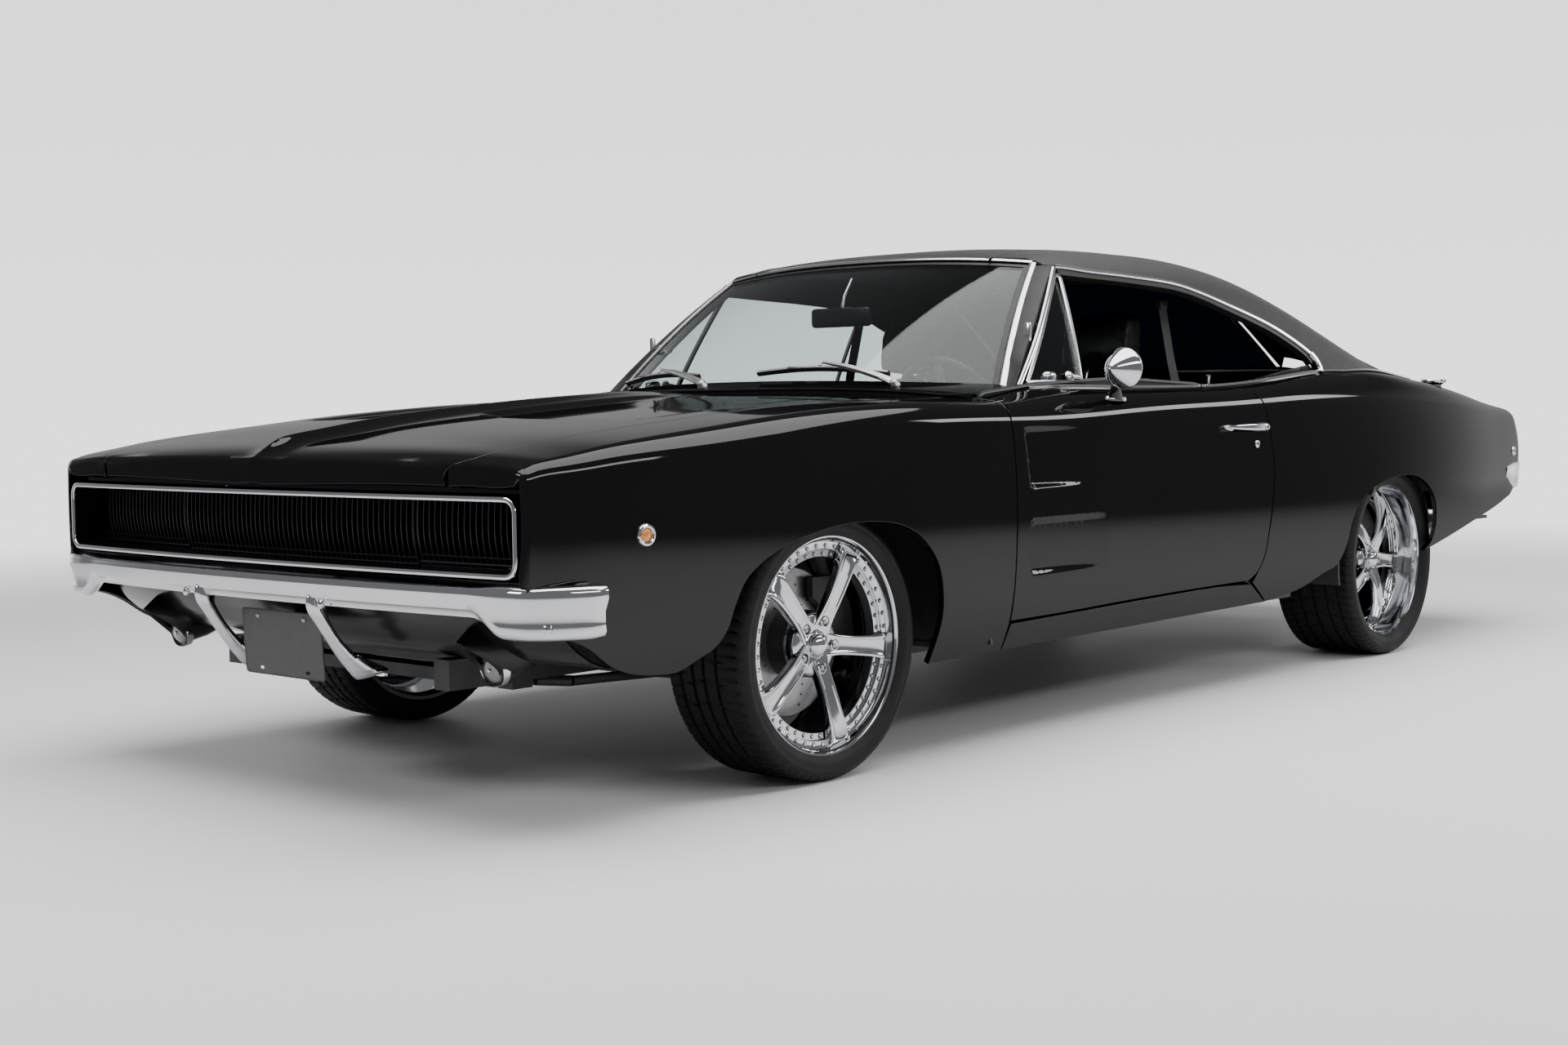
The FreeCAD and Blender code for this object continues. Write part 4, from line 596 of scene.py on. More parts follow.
def smooth_line(pts, step_mm=12.0, closed=False):
    """Curve through points (centripetal Catmull-Rom), resampled."""
    p = [np.asarray(q, dtype=float) for q in pts]
    if len(p) < 3:
        n = max(1, int(np.linalg.norm(p[1] - p[0]) / step_mm))
        return np.array([p[0] + (p[1] - p[0]) * i / n for i in range(n + 1)])
    if closed:
        q = [p[-1]] + p + [p[0], p[1]]
    else:
        q = [2 * p[0] - p[1]] + p + [2 * p[-1] - p[-2]]
    out = []
    for i in range(1, len(q) - 2):
        p0, p1, p2, p3 = q[i - 1], q[i], q[i + 1], q[i + 2]
        t0 = 0.0
        t1 = t0 + max(1e-6, np.linalg.norm(p1 - p0) ** 0.5)
        t2 = t1 + max(1e-6, np.linalg.norm(p2 - p1) ** 0.5)
        t3 = t2 + max(1e-6, np.linalg.norm(p3 - p2) ** 0.5)
        n = max(1, int(math.ceil(np.linalg.norm(p2 - p1) / step_mm)))
        for k in range(n):
            t = t1 + (t2 - t1) * k / n
            a1 = (t1 - t) / (t1 - t0) * p0 + (t - t0) / (t1 - t0) * p1
            a2 = (t2 - t) / (t2 - t1) * p1 + (t - t1) / (t2 - t1) * p2
            a3 = (t3 - t) / (t3 - t2) * p2 + (t - t2) / (t3 - t2) * p3
            b1 = (t2 - t) / (t2 - t0) * a1 + (t - t0) / (t2 - t0) * a2
            b2 = (t3 - t) / (t3 - t1) * a2 + (t - t1) / (t3 - t1) * a3
            out.append((t2 - t) / (t2 - t1) * b1 + (t - t1) / (t2 - t1) * b2)
    if not closed:
        out.append(p[-1])
    return np.array(out)


def frames_along(path, up=(0, 0, 1), closed=False):
    p = np.asarray(path, dtype=float)
    n = len(p)
    if closed:
        t = np.roll(p, -1, 0) - np.roll(p, 1, 0)
    else:
        t = np.empty_like(p)
        t[1:-1] = p[2:] - p[:-2]
        t[0] = p[1] - p[0]
        t[-1] = p[-1] - p[-2]
    t /= np.maximum(1e-9, np.linalg.norm(t, axis=1))[:, None]
    u = np.asarray(up, dtype=float)
    if u.ndim == 1:
        u = np.tile(u, (n, 1))
    s = np.cross(t, u)
    l = np.linalg.norm(s, axis=1)
    bad = l < 1e-3
    s[bad] = np.cross(t[bad], np.array([1.0, 0.1, 0.0]))
    s /= np.linalg.norm(s, axis=1)[:, None]
    u = np.cross(s, t)
    return p, t, s, u


def sweep(path, profile, up=(0, 0, 1), closed=False, caps=True, scale=None):
    """Profile of (side, up) points carried along a path."""
    p, t, s, u = frames_along(path, up, closed)
    pr = np.asarray(profile, dtype=float)
    n, k = len(p), len(pr)
    v = []
    for i in range(n):
        c = 1.0 if scale is None else scale[i]
        for a, b in pr * c:
            v.append(p[i] + s[i] * a + u[i] * b)
    f = []
    for i in range(n if closed else n - 1):
        j = (i + 1) % n
        for m in range(k):
            q = (m + 1) % k
            f.append((i * k + m, i * k + q, j * k + q, j * k + m))
    if caps and not closed:
        f.append(tuple(range(k))[::-1])
        f.append(tuple((n - 1) * k + m for m in range(k)))
    return v, f


def circle(r, n=16, a0=0.0):
    return [(r * math.cos(a0 + 2 * math.pi * i / n), r * math.sin(a0 + 2 * math.pi * i / n)) for i in range(n)]


def tube(path, r, n=12, closed=False):
    return sweep(path, circle(r, n), (0.13, 0.21, 0.97), closed)


def lathe(profile, origin, axis, n=48, closed=False, start=0.0, turn=2 * math.pi):
    """Profile of (radius, distance along the axis) turned about the axis."""
    a = unit(axis)
    b = unit(np.cross(a, (0.3, 0.2, 0.93) if abs(a[2]) < 0.9 else (1, 0, 0)))
    c = np.cross(a, b)
    o = np.asarray(origin, dtype=float)
    v, f = [], []
    k = len(profile)
    full = abs(turn - 2 * math.pi) < 1e-6
    m = n if full else n + 1
    for i in range(m):
        t = start + turn * i / n
        d = b * math.cos(t) + c * math.sin(t)
        for r, h in profile:
            v.append(o + d * r + a * h)
    for i in range(n):
        j = (i + 1) % m if full else i + 1
        for q in range(k - 1 + (1 if closed else 0)):
            w = (q + 1) % k
            f.append((i * k + q, j * k + q, j * k + w, i * k + w))
    return v, f


def loft(rings, closed=True, caps=True):
    k = len(rings[0])
    v = [p for r in rings for p in r]
    f = []
    for i in range(len(rings) - 1):
        for m in range(k if closed else k - 1):
            q = (m + 1) % k
            f.append((i * k + m, i * k + q, (i + 1) * k + q, (i + 1) * k + m))
    if caps and closed:
        f.append(tuple(range(k))[::-1])
        f.append(tuple((len(rings) - 1) * k + m for m in range(k)))
    return v, f


def block(lo, hi, r=3.0, seg=2):
    """Box with rounded edges."""
    bm = bmesh.new()
    bmesh.ops.create_cube(bm, size=1.0)
    for q in bm.verts:
        q.co = Vector([lo[i] + (q.co[i] + 0.5) * (hi[i] - lo[i]) for i in range(3)])
    if r > 0:
        r = min(r, 0.49 * min(hi[i] - lo[i] for i in range(3)))
        bmesh.ops.bevel(bm, geom=list(bm.edges), offset=r, segments=seg, profile=0.5, affect="EDGES")
    v = [tuple(q.co) for q in bm.verts]
    f = [tuple(x.index for x in g.verts) for g in bm.faces]
    bm.free()
    return v, f


def turned(vf, origin, axis, deg):
    v, f = vf
    m = Matrix.Rotation(math.radians(deg), 3, Vector(axis))
    o = Vector(origin)
    return [tuple(m @ (Vector(p) - o) + o) for p in v], f


def moved(vf, d):
    v, f = vf
    return [(p[0] + d[0], p[1] + d[1], p[2] + d[2]) for p in v], f


# ---------------------------------------------------------------- smooth skins
_X = np.arange(-2760.0, 2761.0, 1.0)


def lut(f):
    vals = np.array([f(x) for x in _X])
    return lambda x: np.interp(x, _X, vals)


CZ, CY, WY, WZ, LY, MZ, CR = [lut(f) for f in (CREST_Z, CREST_Y, WIDE_Y, WIDE_Z, LOW_Y, MID_Z, CREST_R)]
RZ, SG = lut(ROOF_Z), lut(SIDE_G)


def n_step(a, b, x):
    t = np.clip((x - a) / (b - a), 0, 1)
    return t * t * (3 - 2 * t)


def n_top(x, y):
    zc, z0, yc = CZ(x), MZ(x), CY(x)
    r = np.minimum(np.abs(y) / yc, 1.2)
    return zc + (z0 - zc) * (1.0 - r ** (3.0 + 3.0 * n_step(-1000.0, -1450.0, x)))


def n_side(x, z):
    zc, yc, yw, zw, yl = CZ(x), CY(x), WY(x), WZ(x), LY(x)
    r1 = (z - zw) / (zc - zw)
    r2 = np.clip((zw - z) / (zw - LOW_Z), 0, None)
    return np.where(z >= zw, yw - (yw - yc) * r1 * r1, yw - (yw - yl) * r2 ** 2.3)


def bez(t, a, b, c, d):
    return a * (1 - t) ** 3 + b * 3 * t * (1 - t) ** 2 + c * 3 * t * t * (1 - t) + d * t ** 3


def body_yz(x, s):
    """Body skin: s 0..1 over the top, 1..2 round the crest, 2..3 down the side; negative on the right."""
    sg = np.where(s < 0, -1.0, 1.0)
    s = np.abs(s)
    yc, r = CY(x), CR(x)
    zc = CZ(x)
    ya = yc - r
    za = n_top(x, ya)
    zb = zc - r
    yb = n_side(x, zb)
    e = 1.0
    tay, taz = 2 * e, n_top(x, ya + e) - n_top(x, ya - e)
    la = np.hypot(tay, taz)
    tby, tbz = n_side(x, zb - e) - n_side(x, zb + e), -2 * e
    lb = np.hypot(tby, tbz)
    k = 0.62 * r
    t = np.clip(s - 1, 0, 1)
    y1 = bez(t, ya, ya + tay / la * k, yb - tby / lb * k, yb)
    z1 = bez(t, za, za + taz / la * k, zb - tbz / lb * k, zb)
    y0 = ya * np.minimum(s, 1)
    z0 = n_top(x, y0)
    z2 = zb + (LOW_Z - zb) * np.clip(s - 2, 0, 2)
    y2 = n_side(x, z2)
    y = np.where(s < 1, y0, np.where(s < 2, y1, y2))
    z = np.where(s < 1, z0, np.where(s < 2, z1, z2))
    return y * sg, z


def n_green(x, z):
    d = z - 918.0
    return SG(x) - 0.36 * d - 0.00028 * d * d


def n_roof(x, y):
    return RZ(x) - 30.0 * (np.abs(y) / 560.0) ** 2.6


G_LOW = 880.0


def green_yz(x, s):
    sg = np.where(s < 0, -1.0, 1.0)
    s = np.abs(s)
    y = np.full(np.shape(x), 640.0)
    for _ in range(30):
        y = n_green(x, n_roof(x, y))
    zc = n_roof(x, y)
    r = np.minimum(70.0, np.maximum(6.0, zc - 930.0 - 8.0))
    ya = y - r
    za = n_roof(x, ya)
    zb = zc - r
    yb = n_green(x, zb)
    e = 1.0
    tay, taz = 2 * e, n_roof(x, ya + e) - n_roof(x, ya - e)
    la = np.hypot(tay, taz)
    tby, tbz = n_green(x, zb - e) - n_green(x, zb + e), -2 * e
    lb = np.hypot(tby, tbz)
    k = 0.5 * r
    t = np.clip(s - 1, 0, 1)
    y1 = bez(t, ya, ya + tay / la * k, yb - tby / lb * k, yb)
    z1 = bez(t, za, za + taz / la * k, zb - tbz / lb * k, zb)
    y0 = ya * np.minimum(s, 1)
    z0 = n_roof(x, y0)
    z2 = zb + (G_LOW - zb) * np.clip(s - 2, 0, 2)
    y2 = n_green(x, z2)
    y = np.where(s < 1, y0, np.where(s < 2, y1, y2))
    z = np.where(s < 1, z0, np.where(s < 2, z1, z2))
    return y * sg, z


QT, QC, QS = 880.0, 100.0, 620.0


def q_of(s):
    a = np.abs(s)
    q = np.where(a < 1, QT * a, np.where(a < 2, QT + QC * (a - 1), QT + QC + QS * (a - 2)))
    return np.where(s < 0, -q, q)


def s_of(q):
    a = np.abs(q)
    s = np.where(a < QT, a / QT, np.where(a < QT + QC, 1 + (a - QT) / QC, 2 + (a - QT - QC) / QS))
    return np.where(q < 0, -s, s)


_S = np.linspace(0, 3, 1201)


def find(skin, kind, x, val):
    """q on the skin at x where y (over the top) or z (down the side) has this value."""
    y, z = skin(np.full(_S.shape, float(x)), _S)
    if kind == "y":
        k = np.where(y[:-1] <= val)[0]
        m = _S[:-1] <= 2.0
        k = [i for i in k if m[i] and y[i + 1] >= val]
        i = k[-1] if len(k) else 0
        t = (val - y[i]) / max(1e-9, y[i + 1] - y[i])
    else:
        i0 = int(np.argmax(z[200:])) + 200 if kind == "z" else 0
        i0 = 380
        k = [i for i in range(i0, len(z) - 1) if z[i] >= val >= z[i + 1]]
        if not k:
            i, t = (i0, 0.0) if val > z[i0] else (len(z) - 2, 1.0)
        else:
            i = k[0]
            t = (z[i] - val) / max(1e-9, z[i] - z[i + 1])
    return float(q_of(np.array(_S[i] + (_S[i + 1] - _S[i]) * t)))


def on(skin, pts):
    """(kind, x, value) points to (x, q)."""
    return [(x, v if k == "q" else find(skin, k, x, v)) for k, x, v in pts]


def lines(skin, *curves, step_mm=11.0):
    """Outline in (x, q) from smooth curves joined at corners."""
    out = []
    for c in curves:
        l = smooth_line(on(skin, c), step_mm)
        out.extend(l if not len(out) or np.linalg.norm(l[0] - out[-1]) > 0.5 else l[1:])
    out = np.array(out)
    if np.linalg.norm(out[0] - out[-1]) < 0.5:
        out = out[:-1]
    return out


def inside(poly, pts):
    x, y = pts[:, 0], pts[:, 1]
    c = np.zeros(len(pts), dtype=bool)
    n = len(poly)
    j = n - 1
    for i in range(n):
        xi, yi = poly[i]
        xj, yj = poly[j]
        m = (yi > y) != (yj > y)
        with np.errstate(divide="ignore", invalid="ignore"):
            c ^= m & (x < (xj - xi) * (y - yi) / (yj - yi + 1e-30) + xi)
        j = i
    return c


def area2(poly):
    x, y = poly[:, 0], poly[:, 1]
    return float(np.sum(x * np.roll(y, -1) - np.roll(x, -1) * y))


class Skin:
    """A skin yz(x, s) with a displacement field along its normal; d(x, y, z, s) in mm."""

    def __init__(self, yz, field=None):
        self.yz, self.field = yz, field

    def raw(self, x, q):
        y, z = self.yz(x, s_of(q))
        return np.stack([x, y, z], -1)

    def raw_n(self, x, q, e=1.5):
        a = self.raw(x + e, q) - self.raw(x - e, q)
        b = self.raw(x, q + e) - self.raw(x, q - e)
        n = np.cross(a, b)
        n /= np.maximum(1e-9, np.linalg.norm(n, axis=-1))[..., None]
        return n

    def pos(self, x, q):
        p = self.raw(x, q)
        if self.field is None:
            return p
        return p + self.raw_n(x, q) * self.field(p[..., 0], p[..., 1], p[..., 2])[..., None]

    def nrm(self, x, q, e=1.5):
        a = self.pos(x + e, q) - self.pos(x - e, q)
        b = self.pos(x, q + e) - self.pos(x, q - e)
        n = np.cross(a, b)
        n /= np.maximum(1e-9, np.linalg.norm(n, axis=-1))[..., None]
        return n


def panel_data(skin, outline, holes=(), dx=24.0, qs=None, depth=14.0, lip=1.8, back=False, fine=None):
    """Panel on a skin: triangles inside the outline, rounded edge turned in by depth, optional inner face."""
    loops = [np.asarray(outline, dtype=float)] + [np.asarray(h, dtype=float) for h in holes]
    for i, l in enumerate(loops):
        if (area2(l) > 0) != (i == 0):
            loops[i] = l[::-1].copy()
    # pull the outline in by the lip radius
    base = []
    for l in loops:
        t = np.roll(l, -1, 0) - np.roll(l, 1, 0)
        t /= np.maximum(1e-9, np.linalg.norm(t, axis=1))[:, None]
        base.append(l + np.stack([-t[:, 1], t[:, 0]], -1) * lip)
    bound = np.concatenate(base)
    lo, hi = bound.min(0), bound.max(0)
    xs = np.arange(lo[0] - dx, hi[0] + dx, dx)
    if qs is None:
        qa = np.concatenate([np.arange(0, QT - 6, 24.0), np.linspace(QT, QT + QC, 15), np.arange(QT + QC + 12, QT + QC + QS, 22.0)])
        qs = np.concatenate([-qa[1:][::-1], qa])
    qs = qs[(qs > lo[1] - 30) & (qs < hi[1] + 30)]
    gx, gq = np.meshgrid(xs, qs)
    g = np.stack([gx.ravel(), gq.ravel()], -1)
    if fine is not None:
        g = np.concatenate([g, fine])
    keep = inside(base[0], g)
    for b in base[1:]:
        keep &= ~inside(b, g)
    g = g[keep]
    if len(g):
        d = np.full(len(g), 1e9)
        for k in range(0, len(bound), 64):
            dd = np.sqrt(((g[:, None, :] - bound[None, k:k + 64, :]) ** 2).sum(-1)).min(1)
            d = np.minimum(d, dd)
        g = g[d > 5.0]
    pts = np.concatenate([bound, g])
    edges = []
    o = 0
    for b in base:
        n = len(b)
        edges += [(o + i, o + (i + 1) % n) for i in range(n)]
        o += n
    vv, ee, ff, ov, oe, of = geometry.delaunay_2d_cdt([Vector((float(a), float(b))) for a, b in pts], edges, [], 0, 0.01, True)
    vv = np.array([(a.x, a.y) for a in vv])
    idx = {}
    for i, o_ in enumerate(ov):
        for k in o_:
            idx[k] = i
    tri = np.array([f for f in ff if len(f) == 3])
    cen = vv[tri].mean(1)
    keep = inside(base[0], cen)
    for b in base[1:]:
        keep &= ~inside(b, cen)
    tri = tri[keep]
    P = skin.pos(vv[:, 0], vv[:, 1])
    N = skin.nrm(vv[:, 0], vv[:, 1])
    # orientation so that triangles face along N
    a, b, c = P[tri[0][0]], P[tri[0][1]], P[tri[0][2]]
    flip = np.dot(np.cross(b - a, c - a), N[tri[0][0]]) < 0
    faces = [tuple(t[::-1]) if flip else tuple(t) for t in tri]
    V_ = [tuple(p) for p in P]
    NN = [tuple(n) for n in N]
    e = 1.0
    off = 0
    rims = []
    for l, b in zip(loops, base):
        n = len(b)
        ids = [idx[off + i] for i in range(n)]
        off += n
        pb = P[ids]
        nb = N[ids]
        t = np.roll(b, -1, 0) - np.roll(b, 1, 0)
        o2 = np.stack([t[:, 1], -t[:, 0]], -1)
        o2 /= np.maximum(1e-9, np.linalg.norm(o2, axis=1))[:, None]
        out = skin.pos(b[:, 0] + o2[:, 0] * e, b[:, 1] + o2[:, 1] * e) - pb
        t3 = np.roll(pb, -1, 0) - np.roll(pb, 1, 0)
        t3 /= np.maximum(1e-9, np.linalg.norm(t3, axis=1))[:, None]
        out -= nb * (out * nb).sum(1)[:, None]
        out -= t3 * (out * t3).sum(1)[:, None]
        out /= np.maximum(1e-9, np.linalg.norm(out, axis=1))[:, None]
        rows = [ids]
        for ang in (30, 60, 90):
            r = math.radians(ang)
            p = pb + out * (lip * math.sin(r)) - nb * (lip * (1 - math.cos(r)))
            m = nb * math.cos(r) + out * math.sin(r)
            s0 = len(V_)
            V_.extend(map(tuple, p))
            NN.extend(map(tuple, m))
            rows.append(list(range(s0, s0 + n)))
        p = pb + out * lip - nb * depth
        s0 = len(V_)
        V_.extend(map(tuple, p))
        NN.extend(map(tuple, out))
        rows.append(list(range(s0, s0 + n)))
        for r0, r1 in zip(rows[:-1], rows[1:]):
            for i in range(n):
                j = (i + 1) % n
                f = (r0[i], r0[j], r1[j], r1[i])
                faces.append(f if flip else f)
        rims.append((pb + out * lip - nb * depth, nb))
    # check the rim's winding against its normals
    k0 = len(tri)
    q = faces[k0]
    a, b, c = (np.array(V_[i]) for i in q[:3])
    mm = np.array(NN[q[2]]) + np.array(NN[q[3]])
    if np.dot(np.cross(b - a, c - a), mm) < 0:
        faces = faces[:k0] + [f[::-1] for f in faces[k0:]]
    if back:
        s0 = len(V_)
        V_.extend(map(tuple, P - N * depth))
        NN.extend(map(tuple, -N))
        faces += [tuple(i + s0 for i in f[::-1]) for f in faces[:k0]]
    return V_, faces, NN


def flip_y(v, f, n):
    return [(a, -b, c) for a, b, c in v], [q[::-1] for q in f], [(a, -b, c) for a, b, c in n]


def panel(name, mat, data, body="car_body", replaces=()):
    v, f, n = data
    return put(name, v, f, mat, body, replaces, n)


# ---------------------------------------------------------------- body panels
def front_x(y):
    return 2624.0 - 34.0 * (np.minimum(np.abs(y), 872.0) / 852.0) ** 2


ROLL = 11.0


def hood_y(x):
    return 742.0 - 46.0 * ((x - 1040.0) / 1560.0) ** 2


def spine(x, y):
    """Raised spine along the middle of the hood, from the beak at the nose back to the cowl."""
    h = 23.0 * n_step(2640.0, 2530.0, x) + 7.0 * n_step(2600.0, 2640.0, x)
    w = 30.0 + 40.0 * n_step(2620.0, 1500.0, x)
    a = np.abs(y) / w
    return h * np.exp(-a ** 1.35) * n_step(1020.0, 1500.0, x) * (0.55 + 0.45 * n_step(1040.0, 1900.0, x))


def hood_scallop(x, y):
    """Shallow wedges in the hood, sharp at the front and fading out towards the glass."""
    a = np.abs(y)
    xf = 2008.0 + 92.0 * np.sin(np.clip((a - 60.0) / 560.0, 0, 1) * math.pi * 0.86) ** 0.8
    d = n_step(xf + 8, xf - 46, x) * n_step(66.0, 104.0, a) * n_step(646.0, 598.0, a)
    return -10.0 * d * n_step(1180.0, 1700.0, x)


def sc_mask(x, z, x0, x1, z0, z1, slope=0.0):
    """Door scallop: sharp rounded front edge at x1, fading rearward to x0."""
    xe = x1 - slope * (z1 - z)
    r = 24.0
    zc, hz = (z0 + z1) / 2.0, (z1 - z0) / 2.0
    qx = (x - xe) + r
    qz = np.abs(z - zc) - (hz - r)
    sd = np.hypot(np.maximum(qx, 0), np.maximum(qz, 0)) + np.minimum(np.maximum(qx, qz), 0) - r
    return n_step(1.0, -17.0, sd) * np.clip((x - x0) / (x1 - 20.0 - x0), 0, 1) ** 0.8


def body_field(x, y, z):
    top = n_step(CZ(x) - 14, CZ(x) - 4, z)
    f = (spine(x, y) + hood_scallop(x, y)) * top * (x > 1000)
    side = (np.abs(y) > 800) & (x < 960) & (x > 100)
    f = f + np.where(side, -10.0 * sc_mask(x, z, 600.0, 937.0, 655.0, 818.0, 0.02), 0.0)
    f = f + np.where(side, -10.0 * sc_mask(x, z, 560.0, 933.0, 430.0, 580.0, 0.06), 0.0)
    return f


class Body(Skin):
    """Body skin that rolls over at the nose and at the tail."""

    def raw(self, x, q):
        s = s_of(q)
        y0, z0 = self.yz(x, s)
        xf = front_x(y0) - ROLL
        xr = np.full_like(xf, -2583.0 + ROLL)
        xc = np.clip(x, xr, xf)
        y, z = self.yz(xc, s)
        e = 1.0
        ya, za = self.yz(xc, s_of(q + e))
        yb, zb = self.yz(xc, s_of(q - e))
        ny, nz = -(za - zb), (ya - yb)
        l = np.maximum(1e-9, np.hypot(ny, nz))
        ny, nz = ny / l, nz / l
        a = np.abs(x - xc)
        sg = np.sign(x - xc)
        th = np.minimum(a / ROLL, math.pi / 2)
        drop = ROLL * (1 - np.cos(th)) + np.maximum(0, a - ROLL * math.pi / 2)
        return np.stack([xc + sg * ROLL * np.sin(th), y - ny * drop, z - nz * drop], -1)

    def pos(self, x, q):
        p = self.raw(x, q)
        f = self.field(p[..., 0], p[..., 1], p[..., 2] + 0 * x)
        y0, z0 = self.yz(np.minimum(x, 2608.0), s_of(q))
        f = body_field(np.minimum(x, front_x(p[..., 1]) - ROLL), p[..., 1], np.where(np.abs(q) < QT + 10, z0 + 50, p[..., 2]))
        n = Skin.raw_n(self, np.minimum(x, front_x(p[..., 1]) - ROLL - 3), q)
        return p + n * f[..., None]


BODY = Body(body_yz, body_field)


def front_end(y, drop):
    """x parameter where the rolled nose edge has come down by drop."""
    return float(front_x(y)) - ROLL + ROLL * math.pi / 2 + max(0.0, drop - ROLL)


DOOR_FRONT = [(985, 880), (985, 822), (988, 740), (990, 657), (991, 574), (989, 490), (980, 406), (966, 318)]
DOOR_REAR = [(-280, 330), (-321, 356), (-343, 404), (-350, 480), (-368, 603), (-377, 677), (-371, 752), (-357, 859)]
DOOR_BOTTOM = [(966, 318), (724, 319), (314, 326), (-141, 330), (-280, 330)]
ARCH_F = [(1281, 236), (1281, 266), (1281, 348), (1295, 410), (1332, 493), (1402, 560), (1467, 589), (1529, 602), (1620, 608), (1707, 605),
          (1792, 593), (1899, 567), (1968, 536), (2012, 503), (2040, 450), (2056, 395), (2086, 358), (2129, 338)]
ARCH_R = [(-437, 257), (-627, 276), (-760, 317), (-846, 345), (-877, 411), (-889, 477), (-929, 533), (-1012, 578), (-1130, 607),
          (-1254, 618), (-1353, 612), (-1455, 578), (-1520, 530), (-1560, 460), (-1580, 397), (-1572, 369), (-1530, 343)]
LOW_FRONT = [(2129, 338), (2181, 316), (2297, 322), (2367, 345), (2438, 391), (2480, 410), (2560, 430)]
LOW_REAR = [(-1530, 343), (-1649, 363), (-1983, 418), (-2320, 463), (-2466, 490)]


def Z(pts, d=0.0):
    return [("z", x + d, z) for x, z in pts]


def Y(pts):
    return [("y", x, y) for x, y in pts]


def hood_line(off, n=14, x0=991.0, x1=2580.0):
    return [(x, hood_y(x) + off) for x in np.linspace(x0, x1, n)]


# front fender
qe = [find(body_yz, "z", 2575.0, z) for z in (430, 520, 620, 700)]
qb = find(body_yz, "z", 2575.0, 500)
fr = [("q", 2548.0, qe[0]), ("q", 2552.0, qb), ("q", front_end(872, 22), qe[1]), ("q", front_end(872, 22), qe[2]), ("q", front_end(872, 22), qe[3]),
      ("q", front_end(872, 26), QT + 60.0), ("q", front_end(845, 38), QT - 2.0), ("q", front_end(820, 42), QT - 30.0)]
fr2 = [("q", front_end(800, 44), QT - 50.0), ("q", front_end(720, 46), 730.0), ("q", front_end(662, 48), find(body_yz, "y", 2600, 662))]
inner_edge = [("q", front_end(662, 48), find(body_yz, "y", 2600, 662)), ("y", 2606, 663), ("y", 2600, 676), ("y", 2588, 689), ("y", 2566, 699)]
FENDER = lines(BODY.yz,
               Z([(991, 868)] + [(x + GAP, z) for x, z in DOOR_FRONT[1:-1]] + [(972, 312)]),
               Z([(972, 312), (970, 240)]),
               Z([(970, 240), (1281, 238)]),
               Z(ARCH_F),
               Z(LOW_FRONT[:-1]) + [("z", 2548, 428)],
               fr + fr2,
               inner_edge + Y(hood_line(3.0)[::-1][1:]),
               Y([(991, 745), (991, 800)]) + [("q", 991, QT), ("z", 991, 868)])
d = panel_data(BODY, FENDER, depth=16.0)
panel("fender_skin_left", "paint", d, "car_body", ["front_fender_left"])
panel("fender_skin_right", "paint", flip_y(*d), "car_body", ["front_fender_right"])

# door: outer skin over the side, the crest and the belt top
sill = [("z", -336, 893), ("q", -300, QT + 40), ("q", -240, QT + 4), ("y", -185, 822), ("y", -146, 794)]
DOOR = lines(BODY.yz,
             [("q", 985, QT + 2), ("z", 985, 870)] + Z(DOOR_FRONT[1:]),
             Z(DOOR_BOTTOM),
             Z(DOOR_REAR) + sill,
             Y([(-146, 794), (985, 794)]),
             Y([(985, 794), (985, 830)]) + [("q", 985, QT + 2)])
f1 = [(x, q) for x in np.arange(896, 946, 4.0) for q in np.arange(QT + 110, QT + QC + 420, 14.0)]
f2 = [(x, find(body_yz, "z", x, z)) for x in np.arange(560, 930, 14.0) for z in (430, 435, 440, 445, 450, 562, 567, 572, 577, 582, 655, 660, 665, 670, 675, 800, 805, 810, 815, 820)]
d = panel_data(BODY, DOOR, depth=16.0, fine=np.array(f1 + f2))
panel("door_skin_left", "paint", d, "door_left_body", ["door_left"])
panel("door_skin_right", "paint", flip_y(*d), "door_right_body", ["door_right"])

# rocker below the door
ROCK = lines(BODY.yz,
             Z([(965, 240), (961, 309)]),
             Z([(961, 309), (724, 312), (314, 319), (-141, 323), (-300, 318)]),
             Z([(-300, 318), (-428, 252)]),
             Z([(-428, 252), (0, 248), (500, 243), (965, 240)]))
d = panel_data(BODY, ROCK, depth=40.0)
panel("rocker_skin_left", "paint", d, "car_body", ["rockers"])
panel("rocker_skin_right", "paint", flip_y(*d), "car_body")

# quarter panel
sill2 = [("z", -342, 897), ("q", -306, QT + 44), ("q", -246, QT + 10), ("y", -191, 827), ("y", -152, 794)]
back_ = [(-2466, 490), (-2510, 500), (-2560, 560), (-2588, 640), (-2590, 700), (-2588, 790), (-2586, 818)]
QUART = lines(BODY.yz,
              Z([(-434, 252), (-308, 322)]),
              Z([(-308, 322)] + [(x - GAP, z) for x, z in DOOR_REAR[1:]]) + sill2,
              Y([(-152, 794), (-152, 772)]),
              Y([(-152, 772), (-1500, 772)]),
              Y([(-1500, 772), (-1500, 572)]),
              Y([(-1500, 572), (-1560, 563), (-1700, 607), (-1944, 643), (-2323, 643), (-2560, 640)]),
              [("q", -2600, find(body_yz, "y", -2560, 640)), ("q", -2600, QT - 30), ("q", -2600, QT + 60)] + Z([(-2600, 780)]),
              Z([(-2600, 780), (-2600, 640), (-2566, 560), (-2510, 500), (-2466, 490)]),
              Z(LOW_REAR[::-1]),
              Z(ARCH_R[::-1]),
              Z([(-437, 257), (-434, 252)]))
cap = [(-1868 + 50 * math.cos(a), 0) for a in np.linspace(0, 2 * math.pi, 40, endpoint=False)]
